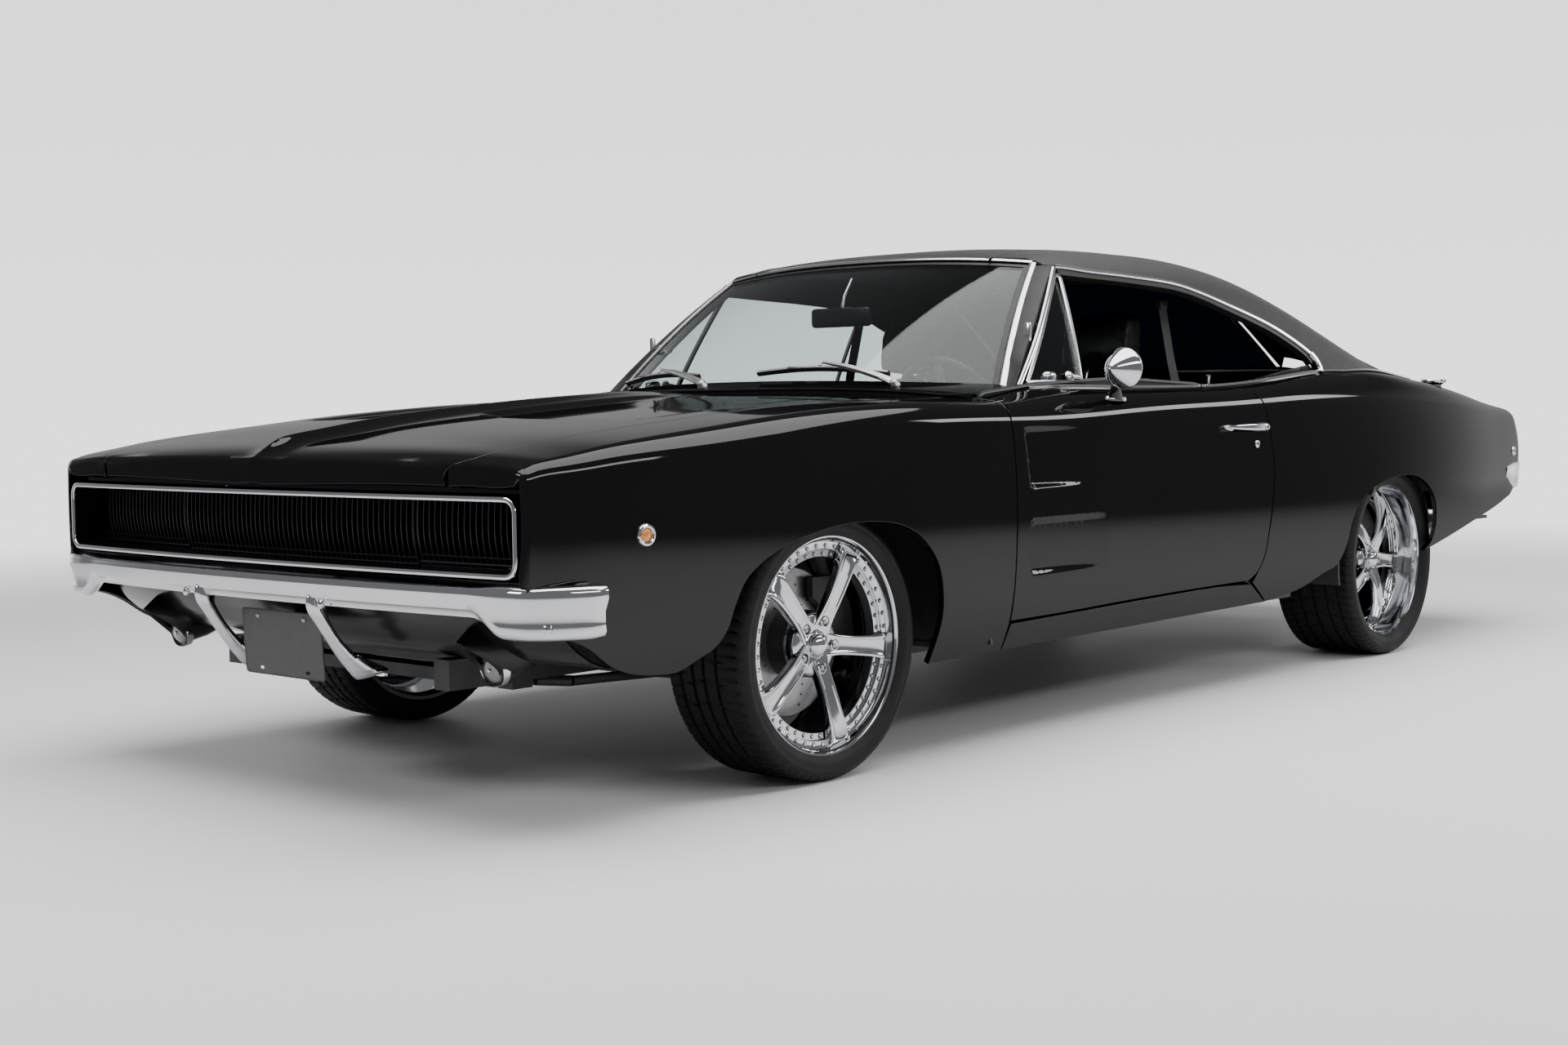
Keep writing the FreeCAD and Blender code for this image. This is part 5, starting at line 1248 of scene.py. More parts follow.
cap = [(-1868 + 51.5 * math.cos(a), find(body_yz, "y", -1868, 773) - 51.5 * math.sin(a)) for a in np.linspace(0, 2 * math.pi, 40, endpoint=False)]
d = panel_data(BODY, QUART, holes=[cap], depth=16.0)
panel("quarter_skin_left", "paint", d, "car_body", ["quarter_left"])
d = panel_data(BODY, QUART, depth=16.0)
panel("quarter_skin_right", "paint", flip_y(*d), "car_body", ["quarter_right"])

# hood, one panel over the middle
hl = hood_line(-3.0, 16, 1040.0, 2560.0)
left = [("y", x, y) for x, y in hl]
nose = [("y", 2586, 683), ("y", 2600, 672), ("q", front_end(648, 24), find(body_yz, "y", 2600, 650)), ("q", front_end(648, 47), find(body_yz, "y", 2600, 651))]
half = lines(BODY.yz, [("q", 1040, 0.0)] + [("y", 1040, y) for y in (200, 400, 600, 739)], left, [left[-1]] + nose,
             [nose[-1]] + [("q", front_end(y, 47 + 12 * (1 - y / 640.0)), find(body_yz, "y", 2600, y) if y else 0.0) for y in (600, 500, 400, 300, 200, 100, 50, 0)])
full = np.concatenate([half, half[1:-1][::-1] * np.array([1, -1])])
fx = [(x, q) for x in np.arange(1060, 2630, 16.0) for q in (-104, -88, -76, -64, -52, -42, -32, -24, -16, -9, -4, 0, 4, 9, 16, 24, 32, 42, 52, 64, 76, 88, 104)]
fx += [(x, sg * find(body_yz, "y", x, y)) for sg in (-1, 1) for y in np.arange(120, 650, 22.0)
       for x in 2008.0 + 92.0 * math.sin(min(1, (y - 60) / 560) * math.pi * 0.86) ** 0.8 + np.arange(-50, 14, 9.0)]
d = panel_data(BODY, full, depth=22.0, back=True, fine=np.array(fx))
panel("hood_skin", "paint", d, "hood_body", ["hood"])

# trunk lid
ly = [(-1566, 553), (-1700, 598), (-1944, 634), (-2323, 634), (-2560, 634)]
half = lines(BODY.yz, [("q", -1566, 0.0)] + [("y", -1566, y) for y in (200, 400, 553)], Y(ly) + [("q", -2600, find(body_yz, "y", -2560, 634))],
             [("q", -2600, find(body_yz, "y", -2560, y) if y else 0.0) for y in (634, 500, 300, 100, 0)])
full = np.concatenate([half, half[1:-1][::-1] * np.array([1, -1])])
d = panel_data(BODY, full, depth=22.0, back=True)
panel("trunk_skin", "paint", d, "trunk_lid_body", ["trunk_lid"])

# nose panel strip under the hood's front edge
y_ = np.linspace(-846, 846, 60)
m = Mesh()
rings = []
for y in y_:
    x = float(front_x(y)) - 7
    zt = 727.0 if abs(y) < 650 else 722.0
    rings.append([(x - 60, y, zt), (x - 26, y, zt), (x - 21, y, zt - 2), (x - 20, y, zt - 7), (x - 20, y, 709), (x - 60, y, 709)])
m.add(*loft(rings))
m.out("nose_strip", "paint", "car_body", ["nose_panel"])

# ---------------------------------------------------------------- greenhouse
GREEN = Skin(green_yz)


def ws_front(y):
    return 476.0 - 66.0 * min(abs(y) / 583.0, 1.13) ** 2.3


RAIL_L = [(384, 1261), (228, 1254), (6, 1247), (-230, 1233), (-340, 1213), (-468, 1180), (-705, 1107), (-862, 1029), (-893, 1000)]
SAIL_IN = [(-560, 526), (-645, 530), (-1125, 568), (-1560, 574), (-1700, 618), (-1735, 646)]


def sail_in(x):
    return float(np.interp(-x, [-p[0] for p in SAIL_IN], [p[1] for p in SAIL_IN]))


front_edge = [("y", ws_front(y), y) for y in (560, 480, 400, 300, 200, 100)] + [("q", 476.0, 0.0)]
half = lines(GREEN.yz,
             [("q", 476.0, 0.0)] + [("y", ws_front(y), y) for y in (100, 200, 300, 400, 480, 560, 590)] + [("z", 398, 1266)],
             [("z", 398, 1266)] + Z(RAIL_L[1:]),
             Z([(-893, 1000), (-900, 962)]),
             Z([(-900, 962), (-1089, 964), (-1247, 962), (-1401, 952), (-1540, 938), (-1640, 926), (-1700, 915)]),
             Z([(-1700, 915)]) + [("q", -1730, find(green_yz, "y", -1730, 690)), ("q", -1738, find(green_yz, "y", -1738, 652))],
             Y([(-1738, 652), (-1700, 618), (-1560, 574), (-1340, 571), (-1125, 568), (-900, 549), (-650, 530)]),
             Y([(-648, 530), (-654, 400), (-656, 200)]) + [("q", -657.0, 0.0)])
full = np.concatenate([half, half[1:-1][::-1] * np.array([1, -1])])
d = panel_data(GREEN, full, depth=24.0, back=True, lip=4.0)
panel("vinyl_top", "vinyl", d, "car_body", ["roof"])

m = Mesh()
# inner walls of the sail panels down to the window and the deck
wall_t, wall_b = [], []
for x in np.linspace(-648, -1737, 70):
    y = sail_in(x)
    zt = float(n_roof(np.array(x), np.array(y))) - 4
    wb = 988.0 if x < -1118 else 988.0 + (x + 1118) / 470.0 * 292.0
    zb = min(zt - 1, wb - 14) if x > -1118 else min(zt - 1, float(n_top(np.array(x), np.array(560.0))) - 12)
    wall_t.append((x, y - 0.5, zt))
    wall_b.append((x, y + 2.0, zb))
k = len(wall_t)
m.add(wall_t + wall_b, [(i, i + 1, k + i + 1, k + i) for i in range(k - 1)])
# windshield pillars
rings = []
for w in np.linspace(-0.10, 0.985, 24):
    a = ws_point(1.0, w)
    z = a[2]
    cx = mix(785.0, 388.0, max(0.0, w)) + (20 * min(0.0, w) / -0.09 if w < 0 else 0)
    cy = green_y(cx, z)
    mx, my = (a[0] + cx) / 2, (a[1] + cy) / 2
    bul = 5.0
    l = math.hypot(cx - a[0], cy - a[1])
    nx, ny = (cy - a[1]) / l, -(cx - a[0]) / l
    if ny < 0:
        nx, ny = -nx, -ny
    rings.append([(a[0] - 2, a[1] + 1, z), (mix(a[0], cx, .25) + nx * bul * .8, mix(a[1], cy, .25) + ny * bul * .8, z),
                  (mx + nx * bul, my + ny * bul, z), (mix(a[0], cx, .78) + nx * bul * .8, mix(a[1], cy, .78) + ny * bul * .8, z),
                  (cx, cy, z), (cx - 30, cy - 10, z), (cx - 44, cy - 30, z), (a[0] - 50, a[1] - 12, z), (a[0] - 26, a[1] - 10, z)])
m.add(*loft(rings))
m.mirrored()
m.out("vinyl_sides", "vinyl", "car_body", ["roof_pillars"], sharp=50)

# seams of the vinyl, two along the roof
m = Mesh()
for sy in (1, -1):
    pts = []
    for x in np.linspace(455, -640, 90):
        y = 470.0 - 14.0 * ((x + 100) / 560.0) ** 2
        pts.append((x, sy * y, float(n_roof(np.array(x), np.array(y))) + 0.6))
    m.add(*sweep(smooth_line(pts, 10), [(-5, -1), (-4, 0.5), (-1.2, 1.1), (0, -0.2), (1.2, 1.1), (4, 0.5), (5, -1)]))
m.out("vinyl_seams", "vinyl", sharp=60)

# rear window, windshield
def grid_sheet(fn, us, vs, t, inward=(0, 0, -1)):
    us, vs = list(us), list(vs)
    nu, nv = len(us), len(vs)
    P = np.array([[fn(u, v) for v in vs] for u in us], dtype=float)
    du = np.gradient(P, axis=0)
    dv = np.gradient(P, axis=1)
    N = np.cross(du, dv)
    N /= np.maximum(1e-9, np.linalg.norm(N, axis=2))[..., None]
    if (N * np.asarray(inward)).sum() > 0:
        N = -N
    v = [tuple(p) for p in P.reshape(-1, 3)] + [tuple(p) for p in (P - N * t).reshape(-1, 3)]
    o = nu * nv
    f = []
    for i in range(nu - 1):
        for j in range(nv - 1):
            a, b, c, e = i * nv + j, (i + 1) * nv + j, (i + 1) * nv + j + 1, i * nv + j + 1
            f.append((a, b, c, e))
            f.append((o + e, o + c, o + b, o + a))
    ring = [i * nv for i in range(nu)] + [(nu - 1) * nv + j for j in range(1, nv)] + [i * nv + nv - 1 for i in range(nu - 2, -1, -1)] + \
           [j for j in range(nv - 2, 0, -1)]
    for i in range(len(ring)):
        a, b = ring[i], ring[(i + 1) % len(ring)]
        f.append((a, a + o, b + o, b))
    p0, p1, p2 = (np.array(v[i]) for i in f[0][:3])
    if np.dot(np.cross(p1 - p0, p2 - p0), N[0, 0]) < 0:
        f = [q[::-1] for q in f]
    return v, f


v, f = grid_sheet(lambda t, w: ws_point(t, w), np.linspace(-1, 1, 41), np.linspace(0, 1, 17), 5.0)
put("windshield_glass", v, f, "glass", "car_body", ["windshield"])
v, f = grid_sheet(lambda t, w: rw_point(t, w), np.linspace(-0.97, 0.97, 31), np.linspace(0.01, 0.99, 13), 5.0)
put("rear_glass", v, f, "darkglass", "car_body", ["rear_window"])

# windshield surround: black rubber and bright trim
STRIP = [(-9, 0), (-9, 2.5), (-6.5, 4.6), (0, 5.4), (6.5, 4.6), (9, 2.5), (9, 0)]


def ws_normal(t, w):
    e = 0.01
    a = np.array(ws_point(t + e, w)) - np.array(ws_point(t - e, w))
    b = np.array(ws_point(t, w + e)) - np.array(ws_point(t, w - e))
    n = np.cross(a, b)
    n = n / np.linalg.norm(n)
    return n if n[2] > 0 else -n


def strip_on(fn, nfn, pts, prof, lift=0.0):
    path = [np.array(fn(*p)) + nfn(*p) * lift for p in pts]
    return sweep(path, prof, up=[nfn(*p) for p in pts])


m = Mesh()
for sg in (1, -1):
    m.add(*strip_on(ws_point, ws_normal, [(sg * 1.004, w) for w in np.linspace(-0.015, 1.0, 30)], STRIP, 2.0))
m.add(*strip_on(ws_point, ws_normal, [(t, 1.012) for t in np.linspace(-1.0, 1.0, 50)], [(a * 0.85, b) for a, b in STRIP], 3.0))
m.add(*strip_on(ws_point, ws_normal, [(t, -0.004) for t in np.linspace(-1.0, 1.0, 50)], [(a * 0.7, b * 0.8) for a, b in STRIP], 1.0))
m.out("windshield_trim", "bright")
m = Mesh()
m.add(*strip_on(ws_point, ws_normal, [(0.978, w) for w in np.linspace(0.0, 0.98, 24)] , [(-8, -3), (-8, 1.5), (8, 1.5), (8, -3)], 0.5))
m.add(*strip_on(ws_point, ws_normal, [(-0.978, w) for w in np.linspace(0.0, 0.98, 24)] , [(-8, -3), (-8, 1.5), (8, 1.5), (8, -3)], 0.5))
m.add(*strip_on(ws_point, ws_normal, [(t, 0.972) for t in np.linspace(-0.98, 0.98, 40)], [(-6, -3), (-6, 1.5), (6, 1.5), (6, -3)], 0.5))
m.out("windshield_rubber", "trim")

# rear window trim
def rw_normal(t, w):
    e = 0.01
    a = np.array(rw_point(t + e, w)) - np.array(rw_point(t - e, w))
    b = np.array(rw_point(t, w + e)) - np.array(rw_point(t, w - e))
    n = np.cross(a, b)
    n = n / np.linalg.norm(n)
    return n if n[2] > 0 else -n


m = Mesh()
for sg in (1, -1):
    m.add(*strip_on(rw_point, rw_normal, [(sg * 0.98, w) for w in np.linspace(0.0, 0.99, 26)], STRIP, 1.0))
m.add(*strip_on(rw_point, rw_normal, [(t, 0.985) for t in np.linspace(-0.98, 0.98, 30)], STRIP, 1.0))
m.add(*strip_on(rw_point, rw_normal, [(t, 0.01) for t in np.linspace(-0.98, 0.98, 30)], STRIP, 1.0))
m.out("rear_window_trim", "bright")


# side trims that follow the side surface
def side_p(x, z, off=0.0):
    return np.array((x, float(n_green(np.array(float(x)), np.array(float(z)))) + off, z))


def side_n(x, z):
    e = 2.0
    a = side_p(x + e, z) - side_p(x - e, z)
    b = side_p(x, z + e) - side_p(x, z - e)
    n = np.cross(b, a)
    n /= np.linalg.norm(n)
    return n if n[1] > 0 else -n


RB = [(-7, -3), (-7, 2.5), (-5, 5.0), (0, 6.0), (5, 5.0), (7, 2.5), (7, -3)]
pl = smooth_line([(768, 921), (620, 1050), (500, 1160), (405, 1247), (386, 1263)], 14)[:-1]
rl = smooth_line([(386, 1263), (330, 1262), (228, 1256), (6, 1249), (-230, 1235), (-340, 1215), (-468, 1182), (-705, 1109), (-862, 1031), (-885, 1010)], 14)
m = Mesh()
path = np.concatenate([pl, rl])
m.add(*sweep([side_p(x, z, 1.0) for x, z in rl], RB, up=[side_n(x, z) for x, z in rl]))
m.add(*sweep([side_p(x, z, 1.0) for x, z in pl], RB, up=[side_n(x, z) for x, z in pl]))
# end piece at the foot of the rail
ep = [(-868, 1026), (-884, 1012), (-893, 996), (-896, 978), (-893, 966)]
m.add(*sweep([side_p(x, z, 2.0) for x, z in smooth_line(ep, 5)], [(-10, -3), (-10, 3), (-7, 7.5), (0, 9), (7, 7.5), (10, 3), (10, -3)],
             up=[side_n(x, z) for x, z in smooth_line(ep, 5)]))
# moulding along the lower edge of the vinyl
lo = smooth_line([(-893, 974), (-1000, 981), (-1089, 984), (-1247, 981), (-1401, 969), (-1540, 953), (-1640, 944)], 16)


def foot_p(x):
    """Where the sail panel meets the body."""
    z = 960.0
    for _ in range(40):
        y = float(n_green(np.array(float(x)), np.array(z)))
        z = float(n_top(np.array(float(x)), np.array(y)))
    return np.array((x, y, z))


fp = [foot_p(x) for x in np.linspace(-893, -1640, 60)]
m.add(*sweep([p + np.array((0, 1.5, 3.0)) for p in fp], [(-4.5, -4), (-4.5, 2), (-2.5, 4), (2.5, 4), (4.5, 2), (4.5, -4)], up=(0, 0.6, 0.8)))
m.mirrored()
m.out("side_trim", "bright")
# black weather strip inside the rail
m = Mesh()
ws = smooth_line([(376, 1245), (228, 1240), (6, 1233), (-230, 1219), (-345, 1199), (-468, 1166), (-705, 1093), (-850, 1021), (-872, 996)], 16)
m.add(*sweep([side_p(x, z, -10.0) for x, z in ws], [(-11, -14), (-11, 8), (11, 8), (11, -14)], up=[side_n(x, z) for x, z in ws]))
m.mirrored()
m.out("rail_seal", "trim")

# belt mouldings on the doors and the quarters
def belt(x0, x1, n=40):
    pts = []
    for x in np.linspace(x0, x1, n):
        y = 797.0 + (3.0 if x > -200 else 3.0 + 13.0 * n_step(-200.0, -800.0, x))
        pts.append((x, float(y), float(n_top(np.array(x), np.array(float(y)))) + 1.0))
    return pts


BELT = [(-5, -6), (-5, 3), (-3, 5.5), (3, 5.5), (5, 3), (5, -6)]
m = Mesh()
m.add(*sweep(belt(750, -146), BELT))
m.out("belt_trim_left", "bright", "door_left_body")
m.flipped().out("belt_trim_right", "bright", "door_right_body")
m = Mesh()
m.add(*sweep(belt(-154, -880), BELT))
m.mirrored()
m.out("belt_trim_rear", "bright")

# vent windows: bright frame, glass and latch
def side_line(pts, off, prof, closed=False):
    return sweep([side_p(x, z, off) for x, z in pts], prof, up=[side_n(x, z) for x, z in pts], closed=closed)


FR = [(-6, -5), (-6, 4), (-4, 6), (4, 6), (6, 4), (6, -5)]
m = Mesh()
m.add(*side_line(smooth_line([(722, 930), (560, 1085), (404, 1232)], 20), -4, FR))
m.add(*side_line(smooth_line([(401, 1234), (388, 1235), (378, 1228)], 6), -4, FR))
m.add(*side_line(smooth_line([(380, 1228), (428, 1078), (473, 930)], 20), -4, [(a * 1.3, b) for a, b in FR]))
m.add(*side_line(smooth_line([(722, 931), (600, 931), (473, 931)], 30), -4, FR))
m.add(*block((455, 778, 905), (735, 792, 932), 3))
# latch
lp = side_p(525, 945, -2)
m.add(*lathe([(0, 0), (14, 0), (17, 4), (14, 9), (7, 12), (0, 13)], lp, (0.05, 0.93, 0.35), 24))
m.add(*sweep([lp + np.array((0, 12, 3)), lp + np.array((-26, 13, 2)), lp + np.array((-48, 10, -1))], [(-6, -2), (-6, 2), (-3, 4), (3, 4), (6, 2), (6, -2)], up=(0, 1, 0.3)))
lp = side_p(648, 975, -2)
m.add(*block(tuple(side_p(640, 1070, -6) - np.array((6, 6, 26))), tuple(side_p(640, 1070, 2) + np.array((6, 5, 26))), 4))
g = Mesh()
tri = [(704, 940), (412, 1218), (396, 1218), (480, 940)]
vv, ff = [], []
for k in range(13):
    u = k / 12.0
    for j in range(7):
        w = j / 6.0
        a = (mix(tri[0][0], tri[1][0], u), mix(tri[0][1], tri[1][1], u))
        b = (mix(tri[3][0], tri[2][0], u), mix(tri[3][1], tri[2][1], u))
        vv.append(side_p(mix(a[0], b[0], w), mix(a[1], b[1], w), -4.0))
for k in range(12):
    for j in range(6):
        ff.append((k * 7 + j, k * 7 + j + 1, (k + 1) * 7 + j + 1, (k + 1) * 7 + j))
g.add(vv, ff)
g.add([(a, b - 4, c) for a, b, c in vv], [q[::-1] for q in ff])
m.out("vent_frame_left", "bright", "door_left_body", ["vent_window_left"], sharp=40)
g.out("vent_glass_left", "glass", "door_left_body", sharp=None)


def side_sheet(outline, off, nx=24, nz=10):
    """Glass between a lower and an upper line given as (x, z) points from front to rear."""
    lo_, hi_ = outline
    lx = smooth_line(lo_, 10)
    hx = smooth_line(hi_, 10)
    li = np.linspace(0, len(lx) - 1, nx)
    hi2 = np.linspace(0, len(hx) - 1, nx)
    vv = []
    for i in range(nx):
        a = lx[int(round(li[i]))]
        b = hx[int(round(hi2[i]))]
        for j in range(nz):
            w = j / (nz - 1.0)
            vv.append(side_p(mix(a[0], b[0], w), mix(a[1], b[1], w), off))
    ff = [(i * nz + j, i * nz + j + 1, (i + 1) * nz + j + 1, (i + 1) * nz + j) for i in range(nx - 1) for j in range(nz - 1)]
    return vv, ff


g2 = Mesh()
vv, ff = side_sheet(([(460, 926), (60, 926), (-340, 926)], [(366, 1236), (228, 1246), (6, 1239), (-230, 1226), (-325, 1208), (-350, 1196)]), -5)
g2.add(vv, ff)
g2.add([(a, b - 5, c) for a, b, c in vv], [q[::-1] for q in ff])
r = m.flipped()
r.out("vent_frame_right", "bright", "door_right_body", ["door_glass_right"], sharp=40)
g.flipped().out("vent_glass_right", "glass", "door_right_body", sharp=None)
g2.flipped().out("door_pane_right", "glass", "door_right_body", sharp=None)
g3 = Mesh()
vv, ff = side_sheet(([(-348, 930), (-540, 948), (-700, 966), (-884, 984)], [(-359, 1192), (-468, 1172), (-700, 1099), (-850, 1025), (-886, 998)]), -5)
g3.add(vv, ff)
g3.add([(a, b - 5, c) for a, b, c in vv], [q[::-1] for q in ff])
g3.flipped().out("quarter_pane_right", "glass", "car_body", ["quarter_glass_right"], sharp=None)
m = Mesh()
m.add(*side_line(smooth_line([(-352, 932), (-362, 1188)], 20), -6, [(-6, -5), (-6, 4), (6, 4), (6, -5)]))
m.flipped().out("quarter_frame_right", "bright")

# interior mirror on its stalk
m = Mesh()
m.add(*block((548, -112, 1108), (578, 112, 1166), 12, 3), 0)
m.add(*sweep([(560, 0, 1166), (548, 0, 1200), (512, 0, 1252)], circle(6, 10), (0, 1, 0)), 1)
m.add(*block((544, -104, 1114), (549, 104, 1160), 2), 1)
m.out("cabin_mirror", ["gloss", "chrome"])

# ---------------------------------------------------------------- nose: grille, frame, lamps, bumper
def round_rect(y0, z0, y1, z1, r, k=7):
    pts = []
    for cy, cz, a0 in ((y1 - r, z1 - r, 0), (y0 + r, z1 - r, 90), (y0 + r, z0 + r, 180), (y1 - r, z0 + r, 270)):
        for i in range(k):
            a = math.radians(a0 + 90.0 * i / (k - 1))
            pts.append((cy + r * math.cos(a), cz + r * math.sin(a)))
    out = []
    n = len(pts)
    for i in range(n):
        a, b = np.array(pts[i]), np.array(pts[(i + 1) % n])
        l = np.linalg.norm(b - a)
        m_ = max(1, int(l / 30.0))
        for j in range(m_):
            out.append(tuple(a + (b - a) * j / m_))
    return out


# bright frame, bent to the plan curve of the nose, with black side walls behind it
loop = round_rect(-852, 537, 852, 705, 34)
cen = (0.0, 621.0)
ins = round_rect(-840, 549, 840, 693, 24)
m = Mesh()


def ring_strip(outer, inner, xo, xi, n_extra=()):
    v, f = [], []
    n = len(outer)
    for (y, z) in outer:
        v.append((float(front_x(y)) + xo, y, z))
    return v


n = len(loop)
# same number of points on both loops
def resample(pl, n):
    p = np.array(pl + [pl[0]])
    s = np.concatenate([[0], np.cumsum(np.linalg.norm(np.diff(p, axis=0), axis=1))])
    t = np.linspace(0, s[-1], n, endpoint=False)
    return [(float(np.interp(q, s, p[:, 0])), float(np.interp(q, s, p[:, 1]))) for q in t]


N_ = 260
L0 = resample(loop, N_)
prof = []
rows = []


def inset(pl, d):
    """Shrink a loop towards its inside."""
    p = np.array(pl)
    t = np.roll(p, -1, 0) - np.roll(p, 1, 0)
    t /= np.linalg.norm(t, axis=1)[:, None]
    nrm = np.stack([-t[:, 1], t[:, 0]], -1)
    return [tuple(a) for a in p + nrm * d]


for dd, dx in ((0.5, -20), (0, -4), (1.5, -0.5), (4.5, 0.8), (8.5, 0.8), (11.5, -0.5), (12.8, -3), (13.0, -9)):
    rows.append([(float(front_x(y)) + dx, y, z) for y, z in inset(L0, dd)])
v = [p for r in rows for p in r]
f = []
for i in range(len(rows) - 1):
    for j in range(N_):
        k = (j + 1) % N_
        f.append((i * N_ + j, (i + 1) * N_ + j, (i + 1) * N_ + k, i * N_ + k))
m.add(v, f, 0)
rows = []
for dd, dx in ((13.0, -8), (13.5, -88)):
    rows.append([(float(front_x(y)) + dx, y, z) for y, z in inset(L0, dd)])
for dd, dx in ((0.8, -88), (0.8, -18)):
    rows.append([(float(front_x(y)) + dx, y, z) for y, z in inset(L0, dd)])
v = [p for r in rows for p in r]
f = []
for i in range(len(rows) - 1):
    for j in range(N_):
        k = (j + 1) % N_
        f.append((i * N_ + j, (i + 1) * N_ + j, (i + 1) * N_ + k, i * N_ + k))
m.add(v, f, 1)
m.out("grille_surround", ["chrome", "gloss"], "car_body", ["grille_frame"])


def grille_x(y):
    return float(front_x(y)) - 96.0


def slats(y0, y1, z0, z1, pitch=18.4, thin=2.4, depth=16.0, frame_w=5.0):
    """Upright bowed blades with a thin front edge in a lighter grey, which is a painted highlight, in a slim frame, in
    front of a closed back.
    """
    m = Mesh()

    def bow(z):
        t = (z - z0) / (z1 - z0)
        return -15.0 * max(0.0, 1 - t / 0.56) ** 2 - 4.0 * max(0.0, (t - 0.56) / 0.44) ** 2
    n = int(round((y1 - y0 - 2 * frame_w) / pitch))
    ys = np.linspace(y0 + frame_w, y1 - frame_w, n + 1)
    zs = np.linspace(z0 + 3, z1 - 3, 11)
    for a in ys:
        x = grille_x(a)
        v, f = loft([[(x + bow(z) - depth, a - thin * .6, z), (x + bow(z) - 0.6, a - thin * .4, z), (x + bow(z) - 0.6, a + thin * .4, z), (x + bow(z) - depth, a + thin * .6, z)] for z in zs])
        m.add(v, f, 0)
        # front edge strip of each blade, in the lighter grey: a painted highlight
        v, f = loft([[(x + bow(z) - 0.6, a - thin * .42, z), (x + bow(z), a - thin * .25, z), (x + bow(z), a + thin * .25, z), (x + bow(z) - 0.6, a + thin * .42, z)] for z in zs])
        m.add(v, f, 1)
    yy = np.linspace(y0, y1, 30)
    for zc in (z0 + frame_w / 2, z1 - frame_w / 2, z0 + 17.0):
        xo = -12.0 if zc < (z0 + z1) / 2 else -3.0
        hw = frame_w / 2 if zc != z0 + 17.0 else 1.4
        rings = [[(grille_x(y) + xo - 11, y, zc - hw), (grille_x(y) + xo + 0.5, y, zc - hw), (grille_x(y) + xo + 1.2, y, zc), (grille_x(y) + xo + 0.5, y, zc + hw),
                  (grille_x(y) + xo - 11, y, zc + hw)] for y in yy]
        m.add(*loft(rings), 0)
    for a in (y0 + frame_w / 2, y1 - frame_w / 2):
        x = grille_x(a)
        rings = [[(x + bow(z) - 16, a - frame_w / 2, z), (x + bow(z) - 1, a - frame_w / 2, z), (x + bow(z) - 1, a + frame_w / 2, z), (x + bow(z) - 16, a + frame_w / 2, z)] for z in np.linspace(z0, z1, 11)]
        m.add(*loft(rings), 0)
    # closed back
    v, f = [], []
    zq = np.linspace(z0, z1, 11)
    g_, h_ = grid_sheet(lambda u, w: (grille_x(mix(y0, y1, u)) + bow(mix(z0, z1, w)) - 17.0, mix(y0, y1, u), mix(z0, z1, w)), np.linspace(0, 1, 30), np.linspace(0, 1, 11), 1.0, (-1, 0, 0))
    m.add(g_, h_, 0)
    return m


slats(-438, 438, 545, 698).out("grille_blades", ["trim", "edge"], "car_body", ["grille"], sharp=30)
dl = slats(446, 836, 552, 694)
dl.out("lamp_door_left", ["trim", "edge"], "headlamp_door_left_body", ["headlamp_door_left"], sharp=30)
dl.flipped().out("lamp_door_right", ["trim", "edge"], "headlamp_door_right_body", ["headlamp_door_right"], sharp=30)

# headlamps behind the doors and parking lamps in their pods
m = Mesh()
for y, x0 in ((548, 2330.0), (728, 2300.0)):
    m.add(*lathe([(0, 3), (40, 1.5), (62, -3), (66, -8), (66, -12)], (x0, y, 622), (1, 0, 0), 40), 0)
    m.add(*lathe([(66, -12), (70, -8), (73, -6), (75, -10), (75, -22), (60, -55), (24, -70)], (x0, y, 622), (1, 0, 0), 40), 1)
m.add(*block((2245, 455, 545), (2262, 830, 700), 4), 2)
m.mirrored()
park = Mesh()
a = np.array((2446.0, 602.0, 327.8))
ax = unit(np.array((1.0, 0.0, -0.215)))
park.add(*lathe([(0, 9), (18, 8), (30, 4), (34, -1)], a, ax, 32), 3)
park.add(*lathe([(34, -1), (35, 3), (38.5, 4), (40, 0), (40, -14)], a, ax, 32), 1)
park.add(*lathe([(0, 13), (4, 13), (5, 10), (5, 5)], a, ax, 12), 1)
park.mirrored()
m.add(park.v, park.f, 0)
o = len(m.m) - len(park.m)
m.m[o:] = park.m
m.out("front_lamp_units", ["lamp", "chrome", "trim", "lampdark"], "car_body", ["front_lamps"])


# valance: pan that curls under, with teardrop pods
def valance_p(u, v):
    y = mix(-838.0, 838.0, u)
    k = abs(y) / 838.0
    prof = [(2566, 531), (2560, 500), (2548, 465), (2530, 430), (2508, 402), (2480, 378), (2445, 356), (2400, 340)]
    t = v * (len(prof) - 1)
    i = min(int(t), len(prof) - 2)
    f_ = t - i
    x, z = mix(prof[i][0], prof[i + 1][0], f_), mix(prof[i][1], prof[i + 1][1], f_)
    # shallow scoop either side of the plate
    c = math.exp(-((abs(y) - 300.0) / 150.0) ** 2) * math.sin(math.pi * min(1, v * 1.1)) * 14.0
    return (x + float(front_x(y)) - 2624.0 - 30.0 * k ** 4 - c, y, z)


v, f = grid_sheet(valance_p, np.linspace(0, 1, 90), np.linspace(0, 1, 22), -4.0, (-1, 0, 0.4))
m = Mesh()
m.add(v, f, 0)


